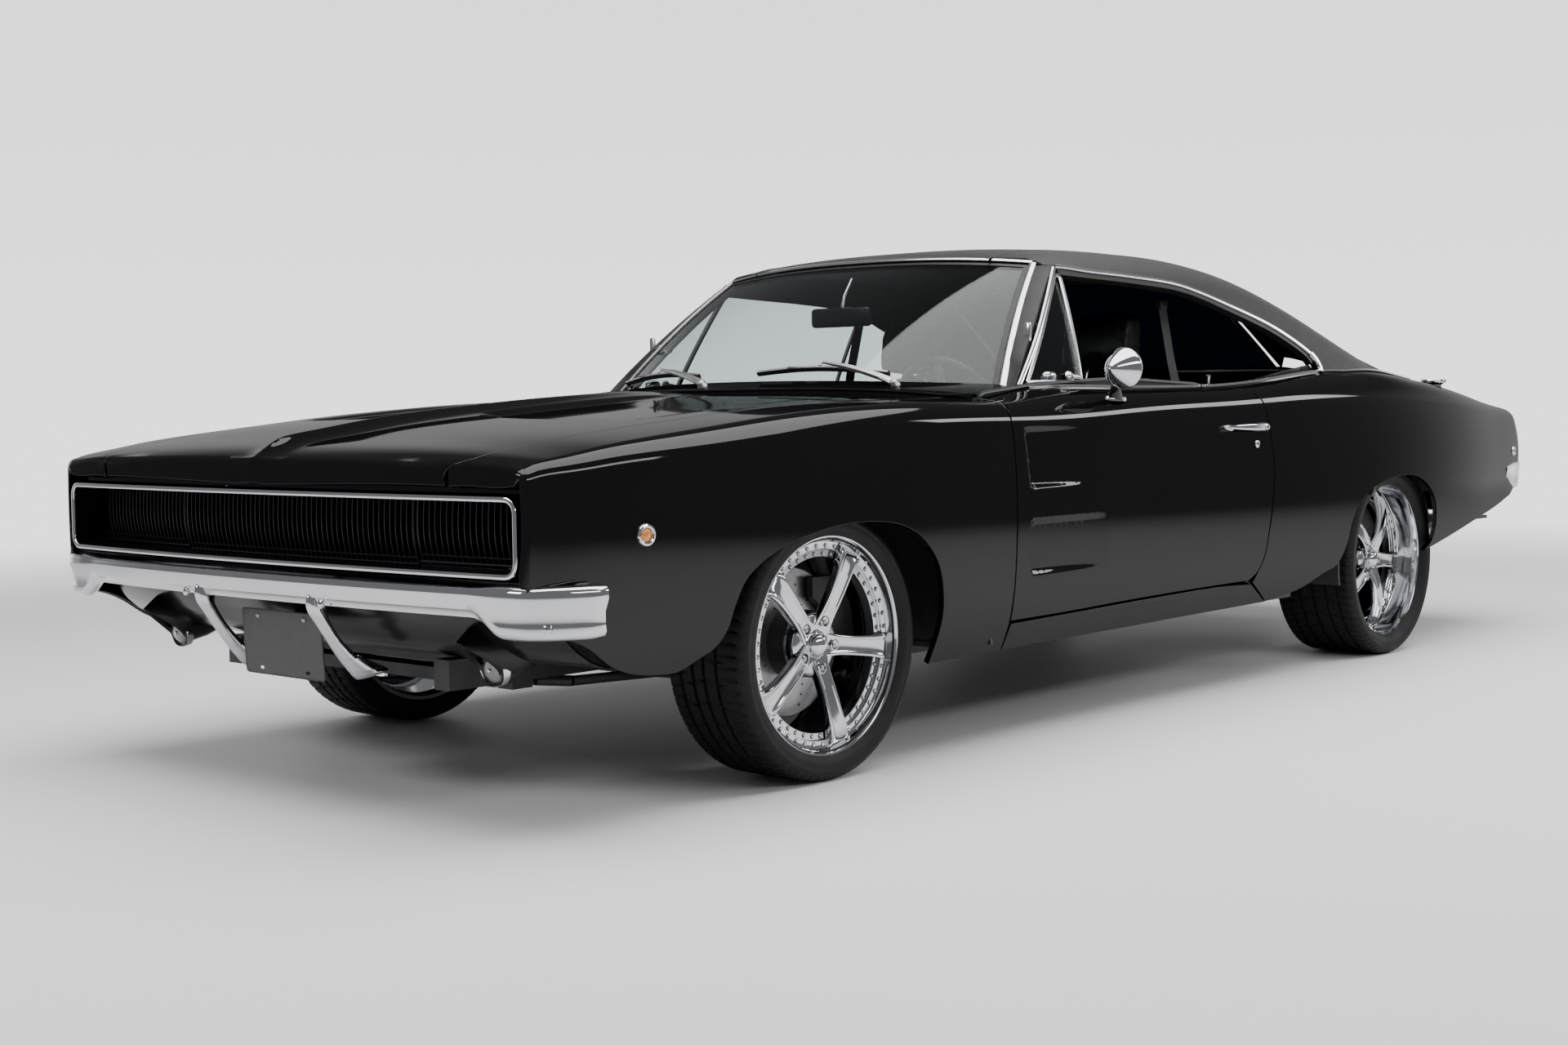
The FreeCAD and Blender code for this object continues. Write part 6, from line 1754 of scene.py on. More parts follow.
def pod(sg):
    """Bulge under the pan with a teardrop scoop; the lamp sits at its low rear end."""
    q = Mesh()
    # rim loop: round below, drawn out to a narrow tip above and ahead
    def rim_pt(a, grow=0.0, sink=0.0):
        c, s_ = math.cos(a), math.sin(a)
        t = (1 - s_) / 2.0                      # 0 at the tip, 1 at the round end
        wy = (12.0 + 29.0 * t ** 0.8 + grow) * c
        l = mix(96.0, -30.0, t) + (grow if s_ > 0 else -grow) * abs(s_)
        x = 2466.0 + 0.80 * l - 14.0 * (c * c) * t
        z = 336.0 + 0.60 * l - 10.0 * t
        return np.array((x - sink, sg * (602.0 + wy), z + sink * 0.25))
    A_ = np.linspace(0, 2 * math.pi, 48, endpoint=False)
    loops = []
    for grow, dx, dz in ((26.0, -86, 34), (20.0, -48, 14), (12.0, -20, 2), (6.0, -6, -1), (3.0, 0, 0), (0.5, 2.0, 0.5), (-2.0, 0, 1.0), (-5.0, -8, 3)):
        loops.append([tuple(rim_pt(a, grow) + np.array((dx, 0, dz))) for a in A_])
    bowl = []
    for t in (0.35, 0.7, 1.0):
        row = []
        for a in A_:
            p = rim_pt(a, -5.0) + np.array((-8, 0, 3))
            e = np.array((2447.0, sg * (602.0 + 36.0 * math.cos(a)), 327.0 + 36.0 * math.sin(a)))
            row.append(tuple(p * (1 - t) + e * t))
        bowl.append(row)
    v, f = loft(loops + bowl, caps=False)
    q.add(v, f)
    return q


for sg in (1, -1):
    p = pod(sg)
    if sg > 0:
        p.f = [a[::-1] for a in p.f]
    m.add(p.v, p.f, 0)
    m.add(p.v, [a[::-1] for a in p.f], 0)
m.out("front_pan", "gloss", "car_body", ["front_valance"], sharp=45)


# front bumper
def bumper_rows():
    path = []
    for y in np.concatenate([np.arange(0, 840, 30.0), [840, 865, 890, 910, 925, 936, 945]]):
        t = y / 945.0
        x = 2641.5 - 60.0 * t ** 2.2
        if y > 840:
            x -= 90.0 * ((y - 840) / 105.0) ** 2.2
        path.append((x, y))
    path += [(2474.0, 951.0), (2455.0, 952.0), (2440.0, 950.0)]
    path = smooth_line(path, 14)
    rows = []
    n = len(path)
    for i in range(n):
        x, y = path[i]
        a, b = path[max(0, i - 1)], path[min(n - 1, i + 1)]
        tx, ty = b[0] - a[0], b[1] - a[1]
        if i == 0:
            tx, ty = 0.0, 1.0
        l = math.hypot(tx, ty)
        nx, ny = ty / l, -tx / l
        end = step(715.0, 805.0, y)
        zt = mix(521.0, 527.0, end)
        zb = mix(457.0, 416.0, end)
        fat_ = 3.0 * end
        zm = mix(zb, zt, 0.5)
        prof = [(-34, zt - 8), (-24, zt - 2), (-15, zt), (-7, zt - 2), (-1 + fat_ * .5, zt - 7), (1.0 + fat_, zt - 15), (0.5 + fat_, mix(zm, zt, 0.45)),
                (-1 + fat_ - 7 * end, zm), (-5 + fat_ - 3 * end, mix(zm, zb, 0.45)), (-11 + fat_ + 5 * end, zb + 15), (-16 + fat_ * .5 + 7 * end, zb + 6), (-17, zb + 1), (-25, zb), (-34, zb + 5)]
        rows.append([(x + nx * p, y + ny * p, z) for p, z in prof])
    return rows


rows = bumper_rows()
m = Mesh()
v, f = loft(rows, closed=False, caps=False)
f.append(tuple(range((len(rows) - 1) * 14, len(rows) * 14)))
m.add(v, f)
m.mirrored()
# guards: bars that sweep down and back from the bumper, ending in a point
for sg in (1, -1):
    # horizontal sections: ridge x, back x, half width, inner and outer offset of the foot
    st = [(484, 2630, 2612, 5, 0), (480, 2637, 2602, 12, 0), (470, 2641, 2594, 16, 0), (455, 2640.5, 2592, 18, 0), (438, 2634, 2594, 18.5, 0), (420, 2621, 2586, 18, 0),
          (400, 2607, 2574, 17.5, 0), (375, 2589.5, 2556, 18, 0), (350, 2572, 2532, 19, 1), (330, 2557, 2508, 20, 3), (312, 2543, 2478, 22, 5),
          (300, 2533, 2452, 23.5, 7), (291, 2525, 2436, 23, 8), (285, 2518, 2446, 19, 7), (281, 2512, 2462, 12, 5)]
    tab = smooth_line([(p[1], p[2], p[0]) for p in st], 5)
    K_ = len(tab)
    rings = []
    zz = np.array([p[0] for p in st], float)[::-1]
    wv = np.array([p[3] for p in st], float)[::-1]
    ov_ = np.array([p[4] for p in st], float)[::-1]
    for xf_, xb_, z_ in tab:
        w = float(np.interp(z_, zz, wv))
        o_ = float(np.interp(z_, zz, ov_))
        L_ = xf_ - xb_
        ring = []
        for k_, (fx_, fw_) in enumerate(((0.0, 0.0), (0.045, 0.30), (0.13, 0.58), (0.28, 0.86), (0.46, 1.0), (0.66, 1.0), (0.84, 0.86), (0.95, 0.56), (1.0, 0.2))):
            ring.append((xf_ - L_ * fx_, 217.0 + o_ * fx_ + w * fw_, z_ + (8.0 * fx_ if z_ < 330 else 0.0)))
        ring += [(a, 2 * (217.0 + o_ * ((xf_ - a) / L_)) - b, c) for a, b, c in ring[1:][::-1]]
        rings.append(ring)
    v, f = loft(rings)
    v = [(a, sg * b, c) for a, b, c in v]
    m.add(v, f if sg < 0 else [q[::-1] for q in f])
bo = Mesh()
for sg in (1, -1):
    for (x, y, z, nx) in ((2631, 270, 440, 1), (2537, 893, 439, 1)):
        if y > 500:
            ax = unit((0.86, 0.5 * sg, -0.1))
            c = (2556, sg * 899, 441)
        else:
            ax = unit((0.99, 0.02 * sg, -0.08))
            c = (2636, sg * 262, 462)
        bo.add(*lathe([(0, 5.5), (6, 5), (9.5, 2.5), (10.5, -1), (10.5, -4)], c, ax, 20))
m.out("front_bumper_bar", "chrome", "car_body", ["front_bumper"], sharp=50)
bo.out("bumper_bolts", "alloy")

# black filler panel between the frame and the bumper
m = Mesh()
rings = []
for y in np.linspace(-848, 848, 70):
    x = float(front_x(y))
    rings.append([(x - 16, y, 536), (x - 9, y, 533), (x - 22, y, 512), (x - 52, y, 500), (x - 60, y, 500), (x - 60, y, 536)])
m.add(*loft(rings))
m.out("bumper_filler", "gloss")

# blank plate with its slots and screws
m = Mesh()


def plate_outline(w, h, r):
    pts = []
    for cy, cz, a0 in ((w - r, h - r, 0), (-w + r, h - r, 90), (-w + r, -h + r, 180), (w - r, -h + r, 270)):
        for i in range(7):
            a = math.radians(a0 + 15.0 * i)
            pts.append((cy + r * math.cos(a), cz + r * math.sin(a)))
    return pts


po = plate_outline(152.5, 76.0, 10)
slots = []
for sy in (-1, 1):
    for sz in (-1, 1):
        cy, cz = sy * 89.0, sz * 60.5
        slots.append([(cy + 7 * math.copysign(1, math.cos(a)) * (abs(math.cos(a)) > 1e-6) * 0.6 + 4.2 * math.cos(a), cz + 3.8 * math.sin(a)) for a in np.linspace(0, 2 * math.pi, 18, endpoint=False)])
loops = [np.array(po)] + [np.array(s)[::-1] for s in slots]
pts, edges, o = [], [], 0
for l in loops:
    pts += [Vector((float(a), float(b))) for a, b in l]
    edges += [(o + i, o + (i + 1) % len(l)) for i in range(len(l))]
    o += len(l)
vv, ee, ff, ov, oe, of_ = geometry.delaunay_2d_cdt(pts, edges, [], 0, 0.001, True)
vv = np.array([(a.x, a.y) for a in vv])
tri = np.array([q for q in ff if len(q) == 3])
cen_ = vv[tri].mean(1)
keep = inside(np.array(po), cen_)
for s in slots:
    keep &= ~inside(np.array(s), cen_)
tri = tri[keep]
PX = 2555.0
P0 = [(PX + 0.06 * b, a, 350 + b) for a, b in vv]
P1 = [(PX - 2.5 + 0.06 * b, a, 350 + b) for a, b in vv]
a, b, c = (np.array(P0[i]) for i in tri[0])
fl = np.cross(b - a, c - a)[0] < 0
F0 = [tuple(t[::-1]) if fl else tuple(t) for t in tri]
m.add(P0, F0, 0)
m.add(P1, [t[::-1] for t in F0], 0)
for l in loops:
    n_ = len(l)
    m.add([(PX + 0.06 * b, a, 350 + b) for a, b in l] + [(PX - 2.5 + 0.06 * b, a, 350 + b) for a, b in l], [(i, (i + 1) % n_, n_ + (i + 1) % n_, n_ + i) for i in range(n_)], 0)
for sy in (-1, 1):
    m.add(*lathe([(0, 4.2), (4, 3.6), (6.2, 1.0), (6.2, 0)], (PX + 3.6, sy * 89.0, 350 + 60.5), (1, 0, 0), 16), 1)
# raised rim of the blank plate
rim_o = plate_outline(150.5, 74.0, 9)
m.add(*sweep([(PX + 0.2 + 0.06 * b, a, 350 + b) for a, b in rim_o], [(-1.2, 0), (0, 0.9), (1.2, 0)], up=(1, 0, 0), closed=True), 0)
m.add(*block((2478, -30, 384), (PX - 1, 30, 396), 3), 2)
m.out("blank_plate", ["plate", "steel", "trim"], "car_body", ["licence_plate"])

# side marker lamps
def marker(x, z, r, lens, name):
    y = float(n_side(np.array(float(x)), np.array(float(z))))
    e = 2.0
    a = np.array((2 * e, float(n_side(np.array(x + e), np.array(float(z)))) - float(n_side(np.array(x - e), np.array(float(z)))), 0))
    b = np.array((0, float(n_side(np.array(float(x)), np.array(z + e))) - float(n_side(np.array(float(x)), np.array(z - e))), 2 * e))
    nn = np.cross(b, a)
    nn /= np.linalg.norm(nn)
    if nn[1] < 0:
        nn = -nn
    m = Mesh()
    c = np.array((x, y, z))
    m.add(*lathe([(0, 5.5), (r * 0.3, 5), (r * 0.52, 3.0), (r * 0.56, 1.5)], c, nn, 28), 0)
    m.add(*lathe([(r * 0.56, 1.0), (r * 0.62, 4.5), (r * 0.75, 6.2), (r * 0.9, 5.0), (r, 1.2), (r, -1)], c, nn, 28), 1)
    m.mirrored()
    m.out(name, [lens, "chrome"])


marker(2305.0, 616.0, 25.0, "amber", "marker_front")
marker(-2478.0, 668.0, 19.0, "red", "marker_rear")

# ---------------------------------------------------------------- wheels
def spoke(cx, cz, ang, stations, depth=20.0, k=17):
    """Spoke with raised edges. stations: (radius, half width, face y, ridge height)."""
    st = smooth_line([(a, b, c, d_) for a, b, c, d_ in stations], 6)
    er = np.array((math.cos(ang), 0.0, math.sin(ang)))
    et = np.array((-math.sin(ang), 0.0, math.cos(ang)))
    rings = []
    prof = [(-1.0, -1.0), (-1.0, -0.35), (-0.97, -0.12), (-0.88, 0.0), (-0.76, 0.0), (-0.66, -0.10), (-0.58, -0.26), (-0.3, -0.33), (0, -0.35),
            (0.3, -0.33), (0.58, -0.26), (0.66, -0.10), (0.76, 0.0), (0.88, 0.0), (0.97, -0.12), (1.0, -0.35), (1.0, -1.0)]
    for r, w, yf, h in st:
        c = np.array((cx, 0.0, cz)) + er * r
        rings.append([tuple(c + et * (w * a) + np.array((0, yf + (h * b if b > -0.5 else -depth), 0))) for a, b in prof])
    v, f = loft(rings, closed=True, caps=True)
    return v, [q[::-1] for q in f]


def wheel(end, cx, cz, lip_r, y_lip, y_out, y_in, ring_y, ring_r, hub_y, st, disc_y, disc_r, body, tyre_dim, nodes):
    """Three-piece wheel; left side. y grows outward."""
    A = (0.0, 1.0, 0.0)
    O = (cx, 0.0, cz)
    m = Mesh()
    r1, r2, r3 = ring_r
    # outer lip and dish, down to the two riveted rings
    prof = [(lip_r - 12, y_in + 6), (lip_r - 2, y_in + 8), (lip_r, y_in + 12), (lip_r - 3, y_in + 18), (lip_r - 20, y_in + 34), (lip_r - 30, y_in + 80),
            (lip_r - 30, ring_y - 60)]
    m.add(*lathe([(r_, y_) for r_, y_ in prof], O, A, 120), 1)
    dish = [(lip_r - 9, y_lip - 9), (lip_r - 2.0, y_lip - 5.5), (lip_r, y_lip - 2.5), (lip_r - 1.0, y_lip - 0.6), (lip_r - 3.2, y_lip), (lip_r - 6.0, y_lip - 1.0),
            (lip_r - 8.0, y_lip - 4.0), (lip_r - 9.5, y_lip - 9.0), (lip_r - 12.0, mix(y_lip, ring_y, 0.45)), (r3 + 3.0, ring_y + 4.0), (r3 + 1.0, ring_y + 1.0),
            (r3 - 1.5, ring_y), (r2 + 1.0, ring_y), (r2, ring_y - 1.0), (r2, ring_y - 7.0), (r2 - 1.0, ring_y - 8.0), (r1 + 1.5, ring_y - 8.0), (r1, ring_y - 9.5),
            (r1 - 0.5, ring_y - 34.0), (r1 + 8, ring_y - 40.0), (lip_r - 30, ring_y - 60)]
    m.add(*lathe(dish, O, A, 144), 0)
    # rivets, each in a dark ring that is a painted shadow round its head
    rv = [(0, 4.4), (2.2, 4.1), (3.9, 2.4), (4.6, 0.4), (4.6, -1)]
    for row, (rr, yy) in enumerate(((mix(r1, r2, 0.46), ring_y - 8.0), (mix(r2, r3, 0.5), ring_y))):
        for i in range(45):
            a = 2 * math.pi * (i + 0.5) / 45 + math.radians(186)
            da = abs(((math.degrees(a) - 186 + 36) % 72) - 36)
            if da < (11.5 if row == 0 else 10.0):
                continue
            m.add(*lathe(rv, (cx + rr * math.cos(a), yy, cz + rr * math.sin(a)), A, 8), 2)
            # dark castiron ring round the rivet head: a painted shadow
            m.add(*lathe([(4.4, 0.5), (6.0, 0.5)], (cx + rr * math.cos(a), yy, cz + rr * math.sin(a)), A, 8), 3)
    for k_ in range(5):
        m.add(*spoke(cx, cz, math.radians(186 + 72 * k_), st), 0)
    # hub disc with pockets and nuts, domed cap
    m.add(*lathe([(0, hub_y - 4), (34, hub_y - 4), (40, hub_y - 2), (66, hub_y - 3), (74, hub_y - 8), (78, hub_y - 16), (78, hub_y - 40)], O, A, 72), 0)
    m.add(*lathe([(0, hub_y + 20), (10, hub_y + 19), (20, hub_y + 15), (27, hub_y + 8), (30, hub_y + 1), (31, hub_y - 4)], O, A, 48), 2)
    m.add(*lathe([(31, hub_y - 4), (33.5, hub_y - 1), (36, hub_y - 4)], O, A, 48), 0)
    for k_ in range(5):
        a = math.radians(186 + 72 * k_)
        c = (cx + 57.15 * math.cos(a), 0, cz + 57.15 * math.sin(a))
        m.add(*lathe([(13.0, hub_y + 1), (14.0, hub_y + 4.5), (11.6, hub_y + 5.2), (10.6, hub_y + 3), (10.2, hub_y - 2)], c, A, 20), 0)
        m.add(*lathe([(0, hub_y + 1.0), (10.4, hub_y + 1.0)], c, A, 20), 3)
        m.add(*lathe([(0, hub_y + 5.0), (4.5, hub_y + 4.6), (6.8, hub_y + 3.0), (7.2, hub_y + 0.5)], c, A, 6), 4)
    # rotor with holes, hat and hub
    m.add(*lathe([(64, disc_y + 4), (80, disc_y + 12), (82, disc_y + 14), (disc_r - 2, disc_y + 14), (disc_r, disc_y + 12), (disc_r, disc_y + 4), (disc_r - 5, disc_y + 3),
                  (disc_r - 5, disc_y - 3), (disc_r, disc_y - 4), (disc_r, disc_y - 12), (disc_r - 2, disc_y - 14), (82, disc_y - 14), (60, disc_y - 12)], O, A, 96), 4)
    m.add(*lathe([(82, disc_y + 14), (80, disc_y + 16), (80, hub_y - 40), (40, hub_y - 38)], O, A, 48), 3)
    # the holes are flat dark castiron discs on the rotor face: painted shade standing in for open holes
    for i in range(12):
        a0 = 2 * math.pi * i / 12
        for j in range(4):
            rr = 96 + j * (disc_r - 108) / 3.4
            a = a0 + 0.10 * j
            c = (cx + rr * math.cos(a), disc_y + 14.2, cz + rr * math.sin(a))
            m.add(*lathe([(0, 0), (3.4, 0)], c, A, 8), 3)
    sb = "left"
    mats = ["alloy", "alloy", "chrome", "castiron", "rotor"]
    m.out("wheel_%s_left_rim" % end, mats, "wheel_%s_left" % end, ["rim_%s_left" % end], sharp=32)
    m.flipped().out("wheel_%s_right_rim" % end, mats, "wheel_%s_right" % end, ["rim_%s_right" % end], sharp=32)

    # tyre with grooves and blocks
    ro, y0, y1, ri = tyre_dim
    W = y1 - y0
    prof = [(ri - 6, y0 + 24, 0), (ri, y0 + 20, 0), (ri + 4, y0 + 10, 0), (ri + 12, y0 + 3, 0), (mix(ri, ro, .5), y0 + 0.0, 0), (ro - 22, y0 + 1.0, 0), (ro - 16, y0 + 4, 0),
            (ro - 10, y0 + 8, 1), (ro - 5.5, y0 + 13, 1), (ro - 2.5, y0 + 20, 1)]
    gro = [0.14, 0.34, 0.52, 0.72] if end == "front" else [0.12, 0.3, 0.5, 0.7, 0.88]
    t0, t1 = y0 + 26, y1 - 26
    mids = []
    last = t0
    for g_ in gro:
        yc = mix(t0, t1, g_)
        mids += [(last, 2), ((last + yc) / 2, 2), (yc - 5.2, 2), (yc - 4.2, 3), (yc + 4.2, 3), (yc + 5.2, 2)]
        last = yc + 5.3
    mids += [(last + 0.5, 2), ((last + t1) / 2, 2), (t1, 2)]
    for y_, kind in mids:
        crown = 2.0 * ((y_ - (y0 + y1) / 2) / (W / 2)) ** 2
        prof.append((ro - crown if kind == 2 else ro - 8.0, y_, kind))
    prof += [(ro - 2.5, y1 - 20, 1), (ro - 5.5, y1 - 13, 1), (ro - 10, y1 - 8, 1), (ro - 16, y1 - 4, 0), (ro - 22, y1 - 1.0, 0), (ro - 27, y1 - 0.6, 0), (ro - 28.5, y1 - 1.6, 0),
             (mix(ri, ro, .45), y1 - 1.2, 0), (ri + 17, y1 - 3, 0), (ri + 15, y1 - 5, 0), (ri + 9, y1 - 8, 0), (ri + 4, y1 - 13, 0), (ri + 1, y1 - 17, 0), (ri - 6, y1 - 24, 0)]
    NS = 432
    per = 6
    v, f = [], []
    k = len(prof)
    for i in range(NS):
        th = 2 * math.pi * i / NS
        for r_, y_, kind in prof:
            rr = r_
            if kind in (1, 2):
                off = int(abs(y_ - (y0 + y1) / 2) / W * 14)
                edge = abs(y_ - (y0 + y1) / 2) / (W / 2)
                if (i + off) % per == 0 and (edge > 0.42 or ((i + off) // per) % 2 == 0):
                    rr = r_ - (5.0 if kind == 2 else 3.6)
            v.append((cx + rr * math.cos(th), y_, cz + rr * math.sin(th)))
    for i in range(NS):
        j = (i + 1) % NS
        for q in range(k - 1):
            f.append((i * k + q, i * k + q + 1, j * k + q + 1, j * k + q))
    m = Mesh()
    m.add(v, f)
    m.out("wheel_%s_left_tyre" % end, "rubber", "wheel_%s_left" % end, ["tyre_%s_left" % end], sharp=40)
    m.flipped().out("wheel_%s_right_tyre" % end, "rubber", "wheel_%s_right" % end, ["tyre_%s_right" % end], sharp=40)


FRONT_ST = [(34, 30, 822, 5), (48, 27, 824, 6), (70, 24, 829, 8), (100, 23, 836, 9), (140, 24, 843, 10), (180, 26, 848, 10), (208, 29, 850, 10), (224, 31, 848, 9),
            (236, 33, 842, 7), (244, 34, 832, 5)]
REAR_ST = [(34, 30, 798, 5), (48, 27, 802, 6), (70, 24, 808, 8), (100, 23, 813, 9), (140, 24, 813, 10), (180, 26, 806, 10), (208, 29, 796, 10), (228, 31, 786, 9),
           (240, 33, 776, 7), (248, 34, 766, 5)]
wheel("front", FRONT_AXLE_X, 318.0, 259.5, 858.0, 872, 627, 834.0, (206.0, 224.0, 242.0), 822.0, FRONT_ST, 716.0, 178.0, None, (318.0, 627.0, 872.0, 253.0), None)
wheel("rear", REAR_AXLE_X, 324.0, 268.5, 852.0, 874, 588, 774.0, (208.0, 226.0, 246.0), 796.0, REAR_ST, 680.0, 175.0, None, (324.0, 588.0, 874.0, 262.0), None)

# ---------------------------------------------------------------- tail: recessed panel, round lamps, bumper, pan, deck
m = Mesh()
yy = np.linspace(-740, 740, 61)
# panel face, dished a little, with its returns
prof = [(-2598, 648), (-2590, 656), (-2574, 658), (-2572, 662), (-2571, 720), (-2572, 780), (-2574, 785), (-2556, 787)]
rings = [[(x, y, z) for x, z in prof] for y in yy]
v, f = loft(rings, closed=False, caps=False)
m.add(v, f, 0)
m.add(v, [q[::-1] for q in f], 0)
for sg in (1, -1):
    pl = [(-2598, sg * 741, 646), (-2556, sg * 741, 646), (-2556, sg * 741, 815), (-2598, sg * 741, 810)]
    m.add(pl, [(0, 1, 2, 3), (3, 2, 1, 0)], 0)
    m.add(*block((-2600, min(sg * 741, sg * 755), 642), (-2556, max(sg * 741, sg * 755), 816), 3), 0)
m.add(*block((-2600, -754, 641), (-2552, 754, 656), 3), 0)
# bright edge round the recess
for pts in ([(-2600, -740, 657), (-2600, 740, 657)], [(-2598, -736, 786), (-2598, 736, 786)]):
    m.add(*sweep(smooth_line(pts, 40), [(-3, -2), (-2.2, 1.5), (0, 2.6), (2.2, 1.5), (3, -2)], up=(-1, 0, 0)), 1)
m.out("tail_recess", ["gloss", "bright"], "car_body", ["tail_panel"], sharp=35)

m = Mesh()
for y in (330, 560):
    O_ = (-2588.0, float(y), 727.0)
    A_ = (-1, 0, 0)
    m.add(*lathe([(60, -34), (62.5, -6), (63.5, 1.5), (61.8, 4.2), (58.5, 4.4), (55.5, 1.0), (54.0, -6)], O_, A_, 64), 1)
    pr = [(0, 2.2)]
    for k in range(1, 12):
        r_ = 54.0 * k / 12.0
        pr += [(r_ - 1.6, 2.2 - 3.2 * (k / 12.0) ** 2), (r_, 1.0 - 3.2 * (k / 12.0) ** 2)]
    pr += [(54.2, -6.0)]
    m.add(*lathe(pr, O_, A_, 56), 0)
    m.add(*lathe([(0, 3.2), (11, 3.0), (13.5, 1.8), (14.5, -0.5)], O_, A_, 32), 1)
m.mirrored()
m.out("tail_lamps", ["red", "chrome"], "car_body", ["taillights"], sharp=25)

# rear bumper
rows = []
path = []
for y in np.concatenate([np.arange(0, 735, 30.0), [740, 760, 780, 795, 807, 816]]):
    t = y / 818.0
    x = -2640.5 + 10.0 * t ** 2
    if y > 740:
        x += 60.0 * ((y - 740) / 78.0) ** 2.0
    path.append((x, y))
path += [(-2560.0, 825.0), (-2500.0, 832.0), (-2440.0, 840.0), (-2380.0, 848.0)]
path = smooth_line(path, 14)
n = len(path)
for i in range(n):
    x, y = path[i]
    a, b = path[max(0, i - 1)], path[min(n - 1, i + 1)]
    tx, ty = b[0] - a[0], b[1] - a[1]
    if i == 0:
        tx, ty = 0.0, 1.0
    l = math.hypot(tx, ty)
    nx, ny = -ty / l, tx / l
    k = min(1.0, max(0.0, (x + 2560) / 200.0))
    zt, zb = mix(632.0, 612.0, k), mix(520.0, 560.0, k)
    zm = mix(zb, zt, 0.5)
    prof = [(-26, zt - 8), (-20, zt - 2), (-13, zt), (-6, zt - 1.5), (-2, zt - 6), (-0.5, zt - 13), (-1.0, mix(zm, zt, .5)), (-3.5, zm + 4), (-5.0, mix(zm, zb, .4)),
            (-8.5, zb + 16), (-13, zb + 6), (-20, zb + 1), (-26, zb + 2), (-28, zb + 10)]
    rows.append([(x + nx * p, y + ny * p, z) for p, z in prof])
m = Mesh()
v, f = loft([r[::-1] for r in rows], closed=False, caps=False)
f.append(tuple(range((len(rows) - 1) * 14, len(rows) * 14)))
m.add(v, f, 0)
m.mirrored()
o = Mesh()
for y in (300, 700):
    o.add(*lathe([(0, 4.5), (6, 4), (9.5, 1.5), (10.5, -2)], (-2641.0 + 10.0 * (y / 818.0) ** 2 + 5, y, 566), (-1, 0, -0.12), 20), 0)
o.mirrored()
m.add(o.v, o.f, 1)
m.out("rear_bumper_bar", ["chrome", "alloy"], "car_body", ["rear_bumper"], sharp=50)

# pan under the rear bumper with the pad for the plate
m = Mesh()
prof = [(-2590, 513), (-2596, 508), (-2600, 498), (-2597, 484), (-2586, 466), (-2570, 446), (-2556, 434), (-2540, 428), (-2528, 430), (-2524, 440), (-2534, 458), (-2556, 496), (-2566, 512)]
yy = np.linspace(-766, 766, 61)
m.add(*loft([[(x + 26.0 * abs(y / 766.0) ** 4, y, z + 0.62 * (513.0 - z) * min(1.0, max(0.0, (abs(y) - 590.0) / 160.0)) ** 1.5) for x, z in prof]
              for y in yy]), 0)
m.add(*block((-2593.5, -112, 465), (-2562, 112, 495), 3), 0)
for sg in (1, -1):
    m.add(*lathe([(0, -6), (3.4, -6), (3.6, 0.2)], (-2593.6, sg * 89.0, 480), (-1, 0, 0), 18), 1)
    m.add(*lathe([(3.6, 0.1), (5.5, 0.7), (8.5, 0.7), (9.0, 0.0)], (-2593.6, sg * 89.0, 480), (-1, 0, 0), 22), 2)
m.out("rear_pan", ["paint", "castiron", "steel"], "car_body", ["rear_valance"], sharp=40)

# deck between the rear window and the lid
def deck_p(u, v):
    y = v * mix(563.0, 570.0, u)
    t = y / 563.0
    xa, za = -1124.0 + 30.0 * t * t, 984.0 - 4 * t * t
    xb, zb = -1566.0 + 4.0, float(n_top(np.array(-1562.0), np.array(y)))
    e = max(0.0, (u - 0.955) / 0.045)
    return (mix(xa, xb, u), y, mix(za, zb, u) - 3.0 * 4 * u * (1 - u) - 3.0 * e * e)


us = np.concatenate([np.linspace(0, 0.95, 14), [0.965, 0.98, 0.99, 1.0]])
v, f = grid_sheet(deck_p, us, np.linspace(-1, 1, 41), -10.0, (0, 0, -1))
put("deck_skin", v, f, "paint", "car_body", ["deck_panel"], sharp=50)

